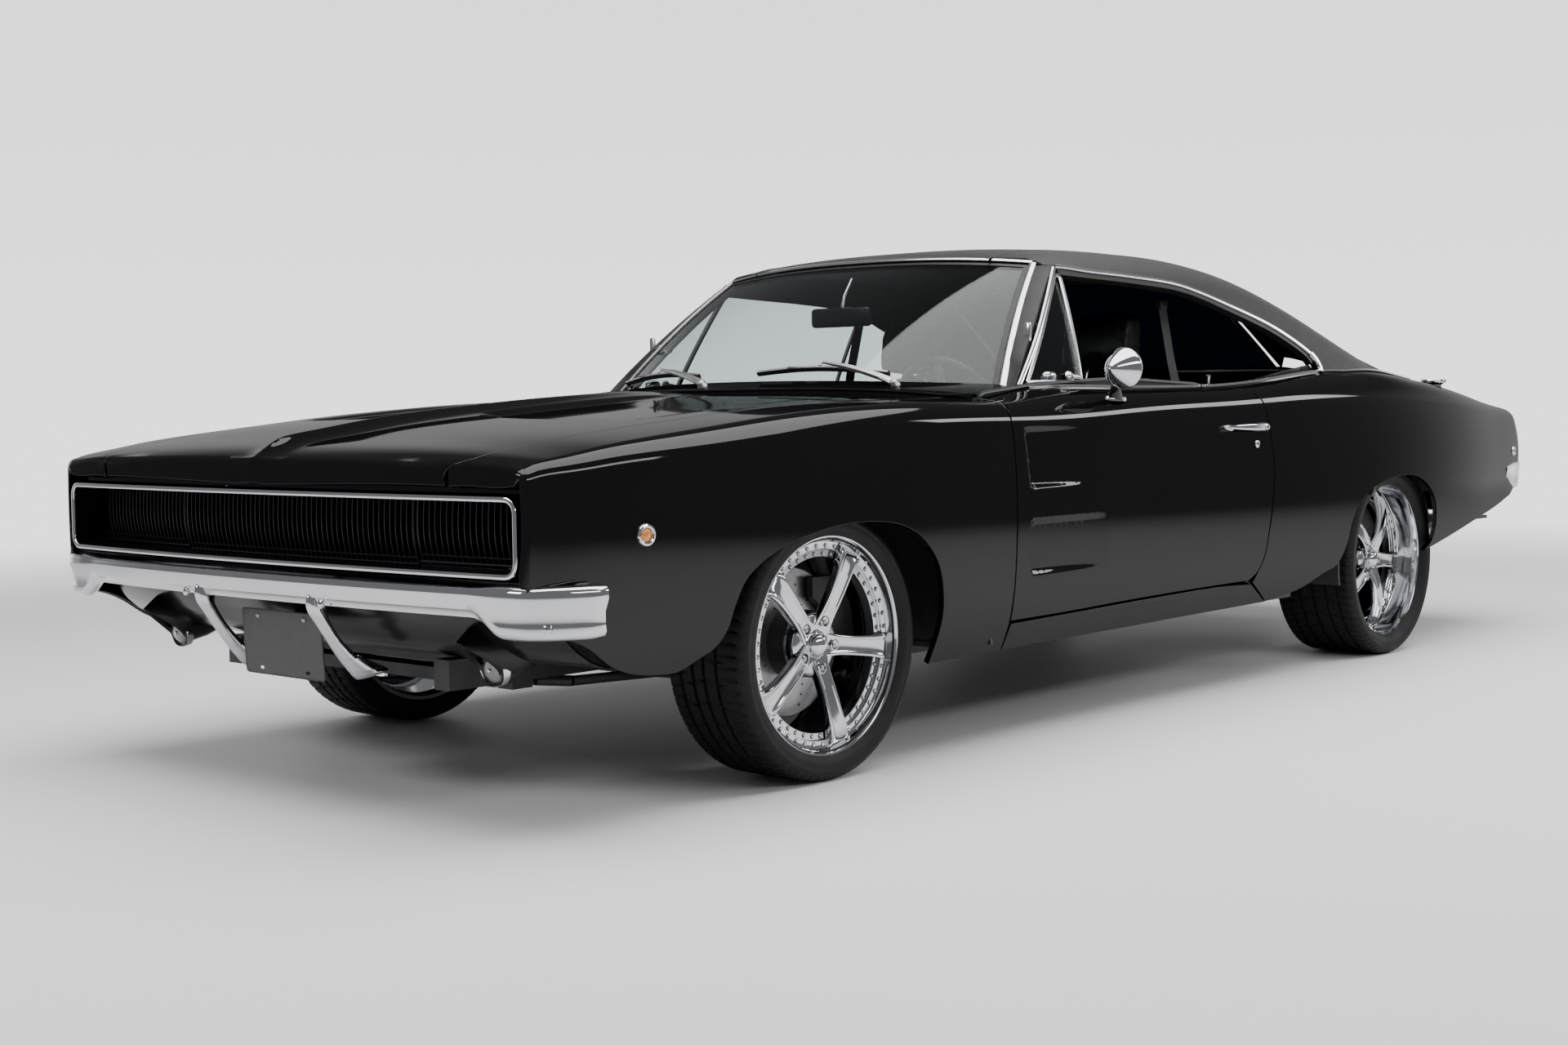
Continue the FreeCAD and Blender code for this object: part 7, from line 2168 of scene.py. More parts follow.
# ---------------------------------------------------------------- cabin
def soft(name, rings_fn, mat, voxel, cap, body="car_body", replaces=(), pressure=4.0, channels=None, sub=0, pin=None):
    """A padded form: closed loft, remeshed, blown up a little as cloth, then its sewn channels pressed in."""
    me = bpy.data.meshes.new(name)
    v, f = rings_fn
    me.from_pydata([tuple(np.array(p) / 1000.0) for p in v], [], f)
    me.validate()
    bm = bmesh.new()
    bm.from_mesh(me)
    bmesh.ops.recalc_face_normals(bm, faces=bm.faces)
    bm.to_mesh(me)
    bm.free()
    ob = bpy.data.objects.new(name, me)
    bpy.context.scene.collection.objects.link(ob)
    r = ob.modifiers.new("remesh", "REMESH")
    r.mode = "VOXEL"
    r.voxel_size = voxel / 1000.0
    s = ob.modifiers.new("ease", "SMOOTH")
    s.iterations = 3
    s.factor = 0.5
    dg = bpy.context.evaluated_depsgraph_get()
    base = bpy.data.meshes.new_from_object(ob.evaluated_get(dg))
    bpy.data.objects.remove(ob)
    ob = bpy.data.objects.new(name, base)
    bpy.context.scene.collection.objects.link(ob)
    n = len(base.vertices)
    co = np.empty(n * 3)
    base.vertices.foreach_get("co", co)
    rest = co.reshape(-1, 3).copy()
    c = ob.modifiers.new("cloth", "CLOTH")
    st = c.settings
    st.use_pressure = True
    st.uniform_pressure_force = pressure
    st.effector_weights.gravity = 0.0
    st.quality = 4
    st.mass = 0.35
    st.tension_stiffness = 18
    st.compression_stiffness = 18
    st.bending_stiffness = 1.2
    c.collision_settings.use_collision = False
    c.point_cache.frame_start = 1
    c.point_cache.frame_end = 20
    for fr in range(1, 19):
        bpy.context.scene.frame_set(fr)
    dg = bpy.context.evaluated_depsgraph_get()
    sim = bpy.data.meshes.new_from_object(ob.evaluated_get(dg))
    co = np.empty(len(sim.vertices) * 3)
    sim.vertices.foreach_get("co", co)
    now = co.reshape(-1, 3)
    d = now - rest
    l = np.linalg.norm(d, axis=1)
    lim = cap / 1000.0
    k = np.where(l > lim, lim / np.maximum(l, 1e-9), 1.0)
    pts = rest + d * k[:, None]
    ob.modifiers.clear()
    bpy.data.meshes.remove(sim)
    bpy.context.scene.frame_set(1)
    if channels is not None:
        nr = np.empty(n * 3)
        base.vertex_normals.foreach_get("vector", nr)
        nr = nr.reshape(-1, 3)
        pts = channels(pts * 1000.0, nr) / 1000.0
    base.vertices.foreach_set("co", pts.reshape(-1))
    base.update()
    base.shade_smooth()
    base.materials.clear()
    base.materials.append(MATS[mat])
    if sub:
        q = ob.modifiers.new("sub", "SUBSURF")
        q.levels = q.render_levels = sub
    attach(ob, body)
    if replaces:
        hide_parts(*replaces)
    return ob


def slab_rings(stations, side_k=9):
    """Closed loft along y from (y, [(x, z)...]) outlines."""
    return loft([[(x, y, z) for x, z in pl] for y, pl in stations])


def squeeze(pl, k, c=None):
    p = np.array(pl, dtype=float)
    c = p.mean(0) if c is None else np.array(c)
    return [tuple(c + (q - c) * k) for q in p]


def groove(pts, nr, mask, dist, w, depth):
    g = np.exp(-(dist / w) ** 2) * depth * mask
    return pts - nr * g[:, None]


CUSH = [(-160, 300), (-178, 360), (-170, 412), (-120, 424), (0, 436), (120, 448), (230, 452), (300, 444), (325, 420), (322, 380), (300, 330), (270, 300)]
BACK = [(-168, 440), (-100, 446), (-78, 470), (-92, 560), (-120, 680), (-152, 800), (-186, 900), (-210, 948), (-236, 962), (-262, 956), (-296, 930), (-300, 860), (-262, 700), (-214, 540), (-186, 460)]
HEAD = [(-246, 985), (-228, 990), (-226, 1040), (-238, 1110), (-256, 1140), (-290, 1150), (-322, 1140), (-330, 1110), (-326, 1050), (-314, 1000), (-290, 984)]


def seat_channels(kind, yc):
    def fn(p, nr):
        y = p[:, 1] - yc
        ay = np.abs(y)
        if kind == "cushion":
            top = (nr[:, 2] > 0.3)
            p = groove(p, nr, top * (p[:, 0] < 262), np.abs(ay - 148), 7.0, 13.0)
            for x0 in np.arange(-110, 260, 46.0):
                p = groove(p, nr, top * (ay < 146), np.abs(p[:, 0] - x0), 6.0, 7.0)
            p = groove(p, nr, top * (ay < 150), np.abs(p[:, 0] - 262), 7.0, 9.0)
            bol = top * np.clip((ay - 150) / 60.0, 0, 1) * np.clip((235 - ay) / 30.0, 0, 1)
            p = p + np.array([0, 0, 1.0]) * (bol * 26.0)[:, None]
        elif kind == "back":
            fr = (nr[:, 0] > 0.3)
            p = groove(p, nr, fr * (p[:, 2] < 880), np.abs(ay - 140), 7.0, 13.0)
            for z0 in np.arange(500, 880, 46.0):
                p = groove(p, nr, fr * (ay < 138), np.abs(p[:, 2] - z0), 6.0, 7.0)
            p = groove(p, nr, fr * (ay < 150), np.abs(p[:, 2] - 882), 7.0, 9.0)
            bol = fr * np.clip((ay - 142) / 50.0, 0, 1) * np.clip((228 - ay) / 30.0, 0, 1) * np.clip((900 - p[:, 2]) / 120.0, 0, 1)
            p = p + np.array([1.0, 0, 0]) * (bol * 26.0)[:, None]
        else:
            p = groove(p, nr, 1.0, np.abs(ay - 96), 5.0, 4.0)
        return p
    return fn


for side, yc in (("left", 372.0), ("right", -372.0)):
    ys = [(-228, .90), (-224, .96), (-205, 1.0), (-100, 1.0), (0, 1.0), (100, 1.0), (205, 1.0), (224, .96), (228, .90)]
    soft("seat_cushion_" + side, slab_rings([(yc + a, squeeze(CUSH, k)) for a, k in ys]), "leather", 8.0, 22.0,
         replaces=["front_seats"] if side == "left" else (), channels=seat_channels("cushion", yc))
    ys = [(-222, .88), (-216, .95), (-196, 1.0), (-100, 1.0), (0, 1.0), (100, 1.0), (196, 1.0), (216, .95), (222, .88)]
    soft("seat_back_" + side, slab_rings([(yc + a, squeeze(BACK, k)) for a, k in ys]), "leather", 8.0, 22.0,
         channels=seat_channels("back", yc))
    ys = [(-122, .80), (-116, .92), (-100, 1.0), (0, 1.02), (100, 1.0), (116, .92), (122, .80)]
    soft("headrest_" + side, slab_rings([(yc + a, squeeze(HEAD, k)) for a, k in ys]), "leather", 7.0, 12.0,
         channels=seat_channels("head", yc))
    m = Mesh()
    for dy in (-52, 52):
        m.add(*sweep([(-262, yc + dy, 930), (-272, yc + dy, 960), (-280, yc + dy, 1000)], [(math.cos(a) * 6, math.sin(a) * 6) for a in np.linspace(0, 6.283, 14, endpoint=False)]), 0)
    m.add(*block((-176, yc - 210, 256), (286, yc + 210, 318), 10), 1)
    for dy in (-180, 180):
        m.add(*block((-170, yc + dy - 16, 250), (300, yc + dy + 16, 262), 3), 2)
    m.out("seat_frame_" + side, ["chrome", "trim", "steel"])

RC = [(-752, 300), (-756, 380), (-750, 430), (-700, 446), (-600, 456), (-500, 458), (-450, 450), (-432, 425), (-436, 360), (-446, 300)]
RB = [(-762, 470), (-752, 500), (-790, 620), (-830, 740), (-868, 846), (-890, 880), (-930, 886), (-965, 872), (-958, 830), (-900, 660), (-850, 520), (-800, 478)]


def rear_ch(kind):
    def fn(p, nr):
        ay = np.abs(p[:, 1])
        up_ = (nr[:, 2] > 0.3) if kind == "c" else (nr[:, 0] > 0.25)
        p = groove(p, nr, up_, np.abs(ay - 60), 8.0, 12.0)
        p = groove(p, nr, up_, np.abs(ay - 470), 8.0, 10.0)
        step_ = np.arange(-700, -450, 50.0) if kind == "c" else np.arange(540, 860, 50.0)
        co_ = p[:, 0] if kind == "c" else p[:, 2]
        for a in step_:
            p = groove(p, nr, up_ * (ay > 64) * (ay < 466), np.abs(co_ - a), 7.0, 7.0)
        return p
    return fn


ys = [(-522, .86), (-514, .95), (-490, 1.0), (-250, 1.0), (0, 1.0), (250, 1.0), (490, 1.0), (514, .95), (522, .86)]
soft("rear_cushion", slab_rings([(a, squeeze(RC, k)) for a, k in ys]), "leather", 10.0, 22.0, replaces=["rear_seat"], channels=rear_ch("c"))
soft("rear_backrest", slab_rings([(a, squeeze(RB, k)) for a, k in ys]), "leather", 10.0, 22.0, channels=rear_ch("b"))

# floor trim: moulded carpet over the pan, tunnel and sills
def carpet_p(u, v):
    y = mix(-772.0, 772.0, v)
    x = mix(-765.0, 994.0, u)
    ay = abs(y)
    zt = 354.0 if x < 200 else mix(354.0, 424.0, min(1.0, (x - 200) / 500.0))
    tn = 1.0 / (1.0 + math.exp((ay - 146.0) / 7.0))
    z = mix(254.0, zt, tn)
    sd = 1.0 / (1.0 + math.exp(-(ay - 758.0) / 4.0))
    z = mix(z, 312.0, sd)
    return (x, y, z)


vs_ = np.concatenate([np.linspace(0, 0.02, 4), np.linspace(0.03, 0.39, 18), np.linspace(0.395, 0.43, 10), np.linspace(0.44, 0.56, 6), np.linspace(0.57, 0.605, 10), np.linspace(0.61, 0.97, 18), np.linspace(0.98, 1.0, 4)])
v, f = grid_sheet(carpet_p, np.linspace(0, 1, 40), vs_, 4.0, (0, 0, -1))
put("floor_trim", v, f, "carpet", sharp=60)
m = Mesh()
for y0, y1 in ((-560, -520), (520, 560)):
    pass
v, f = grid_sheet(lambda u, v: (mix(-1112.0, -998.0, u), mix(-556, 556, v), 913.0), [0, 0.5, 1], np.linspace(0, 1, 12), 3.0, (0, 0, -1))
m.add(v, f)
for sg in (1, -1):
    for y in (300,):
        m.add(*lathe([(0, 2.4), (60, 2.0), (74, 1.0), (76, -1)], (-1056, sg * y, 913), (0, 0, 1), 36))
m.out("parcel_shelf", "carpet")

# dashboard: padded top, brow and instrument panel
DP = [(905, 898), (860, 905), (785, 908), (720, 902), (670, 895), (640, 889), (618, 878), (606, 862), (602, 842), (612, 832), (640, 828), (646, 800), (650, 760), (660, 716), (676, 690), (704, 668), (752, 662), (772, 676), (800, 760), (880, 860)]
rings = []
for y in np.linspace(-758, 758, 45):
    e = max(0.0, (abs(y) - 560) / 200.0)
    br = math.exp(-((y - 360.0) / 150.0) ** 4)
    pl = []
    for x, z in DP:
        dz = 0.0
        if z > 826 and x < 760:
            dz = 8.0 * br
        zz = z + dz - (16.0 * e * e if x > 700 and z > 880 else 0.0)
        xx = x + 26.0 * e * e * (1.0 if x < 700 else 0.0)
        pl.append((xx, y, min(zz, 908.0 if x > 740 else 916.0)))
    rings.append(pl)
m = Mesh()
m.add(*loft(rings), 0)


def face_pt(y, t):
    """Point of the instrument face, sloping from the brow down to the knee roll."""
    return (mix(640.0, 653.0, t), y, mix(824.0, 700.0, t))


fn_ = unit((-1.0, 0, -0.1))
for y, r, t in ((430, 48, .42), (300, 48, .42), (520, 30, .3), (520, 30, .78), (220, 30, .3), (220, 30, .78)):
    c = face_pt(y, t)
    m.add(*lathe([(r + 1, -6), (r + 4, 3), (r + 2, 6), (r - 2, 5.5), (r - 3, 1), (r - 3.5, -1)], c, fn_, 40), 1)
    m.add(*lathe([(0, -1), (r - 3.4, -1)], c, fn_, 40), 2)
    m.add(*lathe([(0, 2.5), (r * .10, 2.2), (r * .12, 0)], c, fn_, 14), 1)
    base_ = np.array(c)
    for k_ in range(25):
        a = math.radians(-40 + 260.0 * k_ / 24.0)
        d_ = np.array((0, math.cos(a), math.sin(a)))
        p0, p1 = base_ + d_ * (r * (0.74 if k_ % 4 == 0 else 0.80)) + fn_ * -0.2, base_ + d_ * (r * 0.88) + fn_ * -0.2
        m.add(*sweep([tuple(p0), tuple(p1)], [(-0.6, 0), (0, .5), (0.6, 0)], up=tuple(fn_)), 3)
    a = math.radians(200)
    d_ = np.array((0, math.cos(a), math.sin(a)))
    m.add(*sweep([tuple(base_ + fn_ * 1.2), tuple(base_ + d_ * r * .78 + fn_ * 1.2)], [(-1.0, 0), (0, .8), (1.0, 0)], up=tuple(fn_)), 4)
# radio, vents, glove box
m.add(*block((636, -70, 742), (654, 90, 790), 4), 1)
m.add(*block((633, -60, 750), (640, 80, 782), 3), 2)
for y in (-58, 78):
    m.add(*lathe([(0, 14), (8, 14), (9.5, 12), (10, 0)], (640, y, 766), (-1, 0, -0.1), 18), 1)
for k_ in range(5):
    m.add(*block((634, -44 + k_ * 23, 728), (646, -28 + k_ * 23, 738), 2), 1)
m.add(*block((640, -560, 706), (652, -210, 806), 8), 0)
m.add(*lathe([(0, 8), (9, 7.5), (11, 4), (11, -2)], (640, -385, 792), (-1, 0, 0), 20), 1)
m.add(*sweep([(640.0, y, 702.0) for y in np.linspace(-700, 700, 20)], [(-2, 0), (0, 2.2), (2, 0)], up=(-1, 0, 0)), 1)
# column
m.add(*sweep([(531, 360, 826.5), (600, 360, 794.0), (760, 360, 719)], [(math.cos(a) * 24, math.sin(a) * 24) for a in np.linspace(0, 6.283, 24, endpoint=False)], up=(0, 1, 0)), 0)
m.add(*tube([(545, 372, 822), (548, 440, 850), (552, 478, 862)], 4.0, 10), 1)
m.add(*lathe([(0, 10), (8, 8), (10, 0), (8, -8), (0, -10)], (552, 480, 863), (0.05, 0.9, 0.3), 14), 0)
m.out("dash_unit", ["dash", "chrome", "gloss", "lamp", "amber"], "car_body", ["dashboard"], sharp=40)

# steering wheel
c = np.array((500.0, 360.0, 841.0))
d_ = unit(np.array((500.0 - 760.0, 0.0, 841.0 - 719.0)))
sd_ = np.array((0.0, 1.0, 0.0))
up_ = np.cross(d_, sd_)
m = Mesh()
ring = [tuple(c + (sd_ * math.cos(a) + up_ * math.sin(a)) * 176.0) for a in np.linspace(0, 2 * math.pi, 120, endpoint=False)]
m.add(*sweep(ring, [(math.cos(a) * 13, math.sin(a) * 12) for a in np.linspace(0, 6.283, 18, endpoint=False)], up=tuple(d_), closed=True), 0)
for ang in (20, 160, 270):
    a = math.radians(ang)
    e_ = sd_ * math.cos(a) + up_ * math.sin(a)
    w_ = np.cross(e_, d_)
    rings = []
    for t in np.linspace(0.0, 1.0, 14):
        o_ = c - d_ * mix(12.0, 1.0, t) + e_ * mix(20.0, 172.0, t)
        hw = mix(20.0, 12.0, t)
        rings.append([tuple(o_ + w_ * hw * q + d_ * h_) for q, h_ in ((-1, -1.5), (-1, 1.0), (-.85, 2.0), (.85, 2.0), (1, 1.0), (1, -1.5))])
    m.add(*loft(rings), 1)
m.add(*lathe([(0, 8), (20, 7), (30, 3), (35, -6), (36, -16), (34, -26), (24, -29)], c, tuple(d_), 40), 0)
m.add(*lathe([(30, 4.2), (33, 2.5), (34.5, -2)], c, tuple(d_), 40), 1)
m.out("helm", ["leather", "bright"], "steering_wheel_body", ["steering_wheel"], sharp=45)

# door cards, with armrest, handle and crank; door shell closed behind them
def card(sg):
    m = Mesh()
    top = [(960, 905), (700, 925), (300, 938), (0, 930), (-136, 922)]
    fr = [(-322, 890), (-318, 700), (-300, 560), (-240, 420), (-150, 338), (300, 326), (700, 322), (950, 325), (962, 620), (960, 905)]
    out_ = [(-136, 924), (-322, 893), (-316, 740), (-304, 560), (-244, 420), (-132, 334), (300, 325), (700, 318), (955, 320), (965, 620), (962, 900), (700, 925), (300, 940)]
    pl = resample(out_[::-1], 150)
    rows = []
    for dd, dy in ((0, 797.0), (0.5, 794.5), (3.0, 792.6), (8.0, 792.0)):
        rows.append([(x, dy, z) for x, z in inset(pl, dd)])
    v = [p for r in rows for p in r]
    n_ = len(pl)
    f = []
    for i in range(len(rows) - 1):
        for j in range(n_):
            k_ = (j + 1) % n_
            f.append((i * n_ + j, (i + 1) * n_ + j, (i + 1) * n_ + k_, i * n_ + k_))
    m.add(v, f, 0)
    last = rows[-1]
    pts = [Vector((p[0], p[2])) for p in last]
    cx_, cz_ = np.meshgrid(np.linspace(-300, 940, 62), np.linspace(340, 920, 30))
    inn = np.stack([cx_.ravel(), cz_.ravel()], -1)
    inn = inn[inside(np.array([(p[0], p[2]) for p in last]), inn)]
    pts += [Vector((float(a), float(b))) for a, b in inn]
    vv, ee, ff, ov, oe, of_ = geometry.delaunay_2d_cdt(pts, [(i, (i + 1) % n_) for i in range(n_)], [], 1, 0.001, True)
    P = []
    for a in vv:
        x, z = a.x, a.y
        y = 792.0
        y -= 7.0 * (step(560, 590, z) - step(850, 880, z)) * step(-270, -240, x) * (1 - step(900, 930, x))
        for z0 in (640, 700, 760, 820):
            y += 2.2 * math.exp(-((z - z0) / 5.0) ** 2) * step(-240, -220, x) * (1 - step(880, 900, x))
        P.append((x, y, z))
    m.add(P, [tuple(q) for q in ff], 0)
    # armrest
    rings = []
    for t in np.linspace(0, 1, 26):
        x = mix(-120.0, 420.0, t)
        e = 1.0 - abs(2 * t - 1) ** 6
        h_, w_ = 26.0 * (0.55 + 0.45 * e), 58.0 * (0.45 + 0.55 * e)
        rings.append([(x, 791.0 - (w_ * 0.5) * (1 - math.cos(a)), 606.0 + h_ * math.sin(a) + 8 * t) for a in np.linspace(math.pi * 0.04, 2 * math.pi - math.pi * 0.04, 18)])
    m.add(*loft(rings), 0)
    # pull, crank and lock knob, bright strip
    m.add(*lathe([(0, 16), (16, 15), (20, 11), (21, 0)], (560, 790, 735), (0, -1, 0), 26), 1)
    m.add(*sweep([(560, 772, 735), (540, 768, 722), (480, 764, 700)], [(-7, -2), (-6, 2), (6, 2), (7, -2)], up=(0, -1, 0)), 1)
    m.add(*lathe([(0, 24), (7, 24), (9, 20), (8, 4), (5, 0)], (476, 766, 699), (0, -1, 0), 18), 2)
    m.add(*lathe([(0, 14), (14, 13), (18, 9), (19, 0)], (700, 790, 800), (0, -1, 0), 26), 1)
    m.add(*sweep([(700, 774, 800), (670, 770, 800), (610, 772, 796)], [(-6, -2), (-5, 2), (5, 2), (6, -2)], up=(0, -1, 0)), 1)
    m.add(*sweep([(x, 791.5, 872.0) for x in np.linspace(-270, 930, 20)], [(-4, 0), (-3, 2), (3, 2), (4, 0)], up=(0, -1, 0)), 1)
    m.add(*lathe([(4, 0), (4, 22), (6.5, 30), (6, 36), (0, 38)], (-190, 806, 918), (0, 0, 1), 16), 1)
    return m


c_ = card(1)
c_.out("door_card_left", ["leather", "chrome", "trim"], "door_left_body", sharp=50)
c_.flipped().out("door_card_right", ["leather", "chrome", "trim"], "door_right_body", sharp=50)

# rear side trim, sills and belts
m = Mesh()
qt = [(-346, 890), (-330, 700), (-316, 560), (-330, 400), (-400, 316), (-560, 316), (-780, 316), (-1000, 400), (-1000, 905), (-860, 990), (-700, 966), (-540, 946)]
pl = resample(qt[::-1], 120)
P = [(x, 778.0 if z < 940 else 782.0, z) for x, z in pl]
pts = [Vector((p[0], p[2])) for p in P]
n_ = len(pts)
cx_, cz_ = np.meshgrid(np.linspace(-980, -340, 30), np.linspace(330, 980, 26))
inn = np.stack([cx_.ravel(), cz_.ravel()], -1)
inn = inn[inside(np.array(pl), inn)]
pts += [Vector((float(a), float(b))) for a, b in inn]
vv, ee, ff, ov, oe, of_ = geometry.delaunay_2d_cdt(pts, [(i, (i + 1) % n_) for i in range(n_)], [], 1, 0.001, True)
P = []
for a in vv:
    x, z = a.x, a.y
    y = 776.0 - 10.0 * (step(470, 500, z) - step(560, 590, z)) * step(-900, -860, x) - 5.0 * step(620, 640, z) * (1 - step(850, 870, z))
    if z > 900:
        y = mix(y, float(n_green(np.array(x), np.array(960.0))) - 26, min(1.0, (z - 900) / 60.0))
    P.append((x, y, z))
m.add(P, [tuple(q) for q in ff], 0)
m.add([(x, y + 2, z) for x, y, z in P], [tuple(q)[::-1] for q in ff], 0)
# sill plate over the rocker
rings = [[(x, 776, 312), (x, 780, 316), (x, 800, 317), (x, 862, 316), (x, 880, 312), (x, 882, 300), (x, 776, 300)] for x in np.linspace(-310, 960, 30)]
m.add(*loft(rings), 1)
for k_ in range(9):
    m.add(*sweep([(x, 806 + k_ * 6.0, 316.8) for x in np.linspace(-220, 880, 14)], [(-1.2, -.5), (0, 0.9), (1.2, -.5)], up=(0, 0, 1)), 2)
m.mirrored()
m.out("rear_side_trim", ["leather", "trim", "bright"], sharp=50)

m = Mesh()
for sg in (1, -1):
    # shoulder belt from its roof anchor down to the sill, outboard of the seat
    path = smooth_line([(-262, sg * 604, 1168), (-258, sg * 622, 1080), (-256, sg * 650, 950), (-300, sg * 704, 700), (-360, sg * 716, 420), (-380, sg * 718, 320)], 18)
    m.add(*sweep(path, [(-23, -0.7), (-23, 0.7), (23, 0.7), (23, -0.7)], up=(0, 1, 0)), 0)
    m.add(*block((-284, min(sg * 590, sg * 612), 1158), (-240, max(sg * 590, sg * 612), 1190), 6), 1)
    m.add(*block((-278, min(sg * 648, sg * 660), 900), (-240, max(sg * 648, sg * 660), 926), 3), 2)
m.out("belts", ["webbing", "trim", "chrome"], sharp=40)

# ---------------------------------------------------------------- fittings
def ell(c, ru, rv, u, v, n=24):
    c, u, v = np.array(c, float), unit(u), unit(v)
    return [tuple(c + u * ru * math.cos(a) + v * rv * math.sin(a)) for a in np.linspace(0, 2 * math.pi, n, endpoint=False)]


# round mirror with a pointed back, on a swept pedestal
m = Mesh()
mc = (500.0, 932.0, 967.0)
ax = unit((1.0, 0.02, -0.03))
m.add(*lathe([(0, 62), (7, 60.5), (14, 56), (26, 44), (38, 28), (48, 12), (54, 1), (57.0, -6), (57.6, -11), (57.0, -16), (54.5, -18.5), (52.5, -17.5), (51.8, -15)], mc, ax, 64), 0)
m.add(*lathe([(51.9, -15.2), (0, -14.6)], mc, ax, 48), 1)
rings = []
for t in np.linspace(0, 1, 12):
    cx = mix(436.0, 532.0, t ** 1.15)
    cy = mix(876.0, 929.0, t)
    cz = mix(889.0, 948.0, t ** 0.9)
    ra = mix(30.0, 17.0, t) + 10.0 * (1 - t) ** 6
    rb_ = mix(14.0, 8.0, t) + 6.0 * (1 - t) ** 6
    rings.append(ell((cx, cy, cz), ra, rb_, (1, 0.12, 0.18 + 0.2 * t), (-0.1, 1, -0.55)))
m.add(*loft(rings), 2)
m.add(*loft([ell((434, 874, z), 46 * k, 20 * k, (1, 0, 0), (0, 1, -0.2)) for z, k in ((882, 1.0), (888, 1.0), (891, .96), (893, .86))]), 0)
m.out("mirror_left", ["chrome", "lamp", "gloss"], "door_left_body", sharp=50)


def handle(sg):
    m = Mesh()
    # escutcheons at both ends
    for x0, x1, h_ in ((-345, -284, 13), (-136, -94, 10)):
        xc = (x0 + x1) / 2
        ys_ = float(n_side(np.array(xc), np.array(795.0)))
        rr = []
        for yo, k in ((-5, 1.0), (6, 1.0), (12, .95), (16, .8), (17, .5)):
            rr.append(ell((xc, ys_ + yo, 795), (x1 - x0) / 2 * k, h_ * k, (1, 0, 0), (0, 0, 1), 28))
        m.add(*loft(rr), 0)
    # grip: flat bar tapering to a point at the front
    rings = []
    for t in np.linspace(0, 1, 26):
        x = mix(-330.0, -86.0, t)
        y = 922.0 + 16.0 * math.sin(math.pi * min(1.0, t * 1.02)) ** 0.5 - 4 * t
        w = mix(11.0, 3.2, t ** 2.2)
        d_ = mix(7.0, 3.4, t)
        rings.append([(x, y + d_ * math.sin(a) * .6, 795.0 + 3 * t + w * math.cos(a)) for a in np.linspace(0, 2 * math.pi, 18, endpoint=False)])
    m.add(*loft(rings), 0)
    m.add(*lathe([(0, 31), (8, 30), (10, 27), (10, 4)], (-318, 908, 795), (0, 1, 0), 26), 0)
    m.add(*lathe([(10.5, 25), (12.5, 22), (13, 8)], (-318, 908, 795), (0, 1, 0), 26), 1)
    # lock
    ys_ = float(n_side(np.array(-286.0), np.array(744.0)))
    m.add(*lathe([(0, 4.5), (4, 4.3), (9, 3.4), (12, 1.2), (12.5, -1)], (-286, ys_, 744), (0, 1, -0.06), 28), 0)
    m.add(*block((-288.5, ys_ + 3.6, 740), (-283.5, ys_ + 5.0, 748), .4, 1), 1)
    return m


h_ = handle(1)
h_.out("handle_left", ["chrome", "castiron"], "door_left_body", ["door_fittings_left"], sharp=45)
h_.flipped().out("handle_right", ["chrome", "castiron"], "door_right_body", ["door_handle_right"], sharp=45)

# vent window latches
m = Mesh()
for x, z, s_ in ((575, 1072, 1.0), (600, 943, 1.0)):
    y = float(n_green(np.array(float(x)), np.array(float(z)))) - 16.0
    if z > 1000:
        m.add(*block((x - 6, y - 10, z - 24), (x + 6, y + 3, z + 24), 5), 0)
        m.add(*lathe([(0, 12), (8, 11), (11, 6), (11, 0)], (x, y - 2, z + 14), (0, -1, 0), 16), 0)
    else:
        m.add(*loft([ell((x, y + 2, z + k_), 34 * q, 12 * q, (1, 0, 0), (0, 1, 0)) for k_, q in ((-8, 1.0), (6, 1.0), (12, .9), (16, .7), (18, .35))]), 0)
m.out("vent_latches_left", "chrome", "door_left_body")
m.flipped().out("vent_latches_right", "chrome", "door_right_body")


# wipers
def glass_pt(y, w, lift=0.0):
    t = y / 732.0
    for k_ in range(12):
        p = ws_point(t, w)
        t += (y - p[1]) / 732.0
    return np.array(p) + ws_normal(t, w) * lift


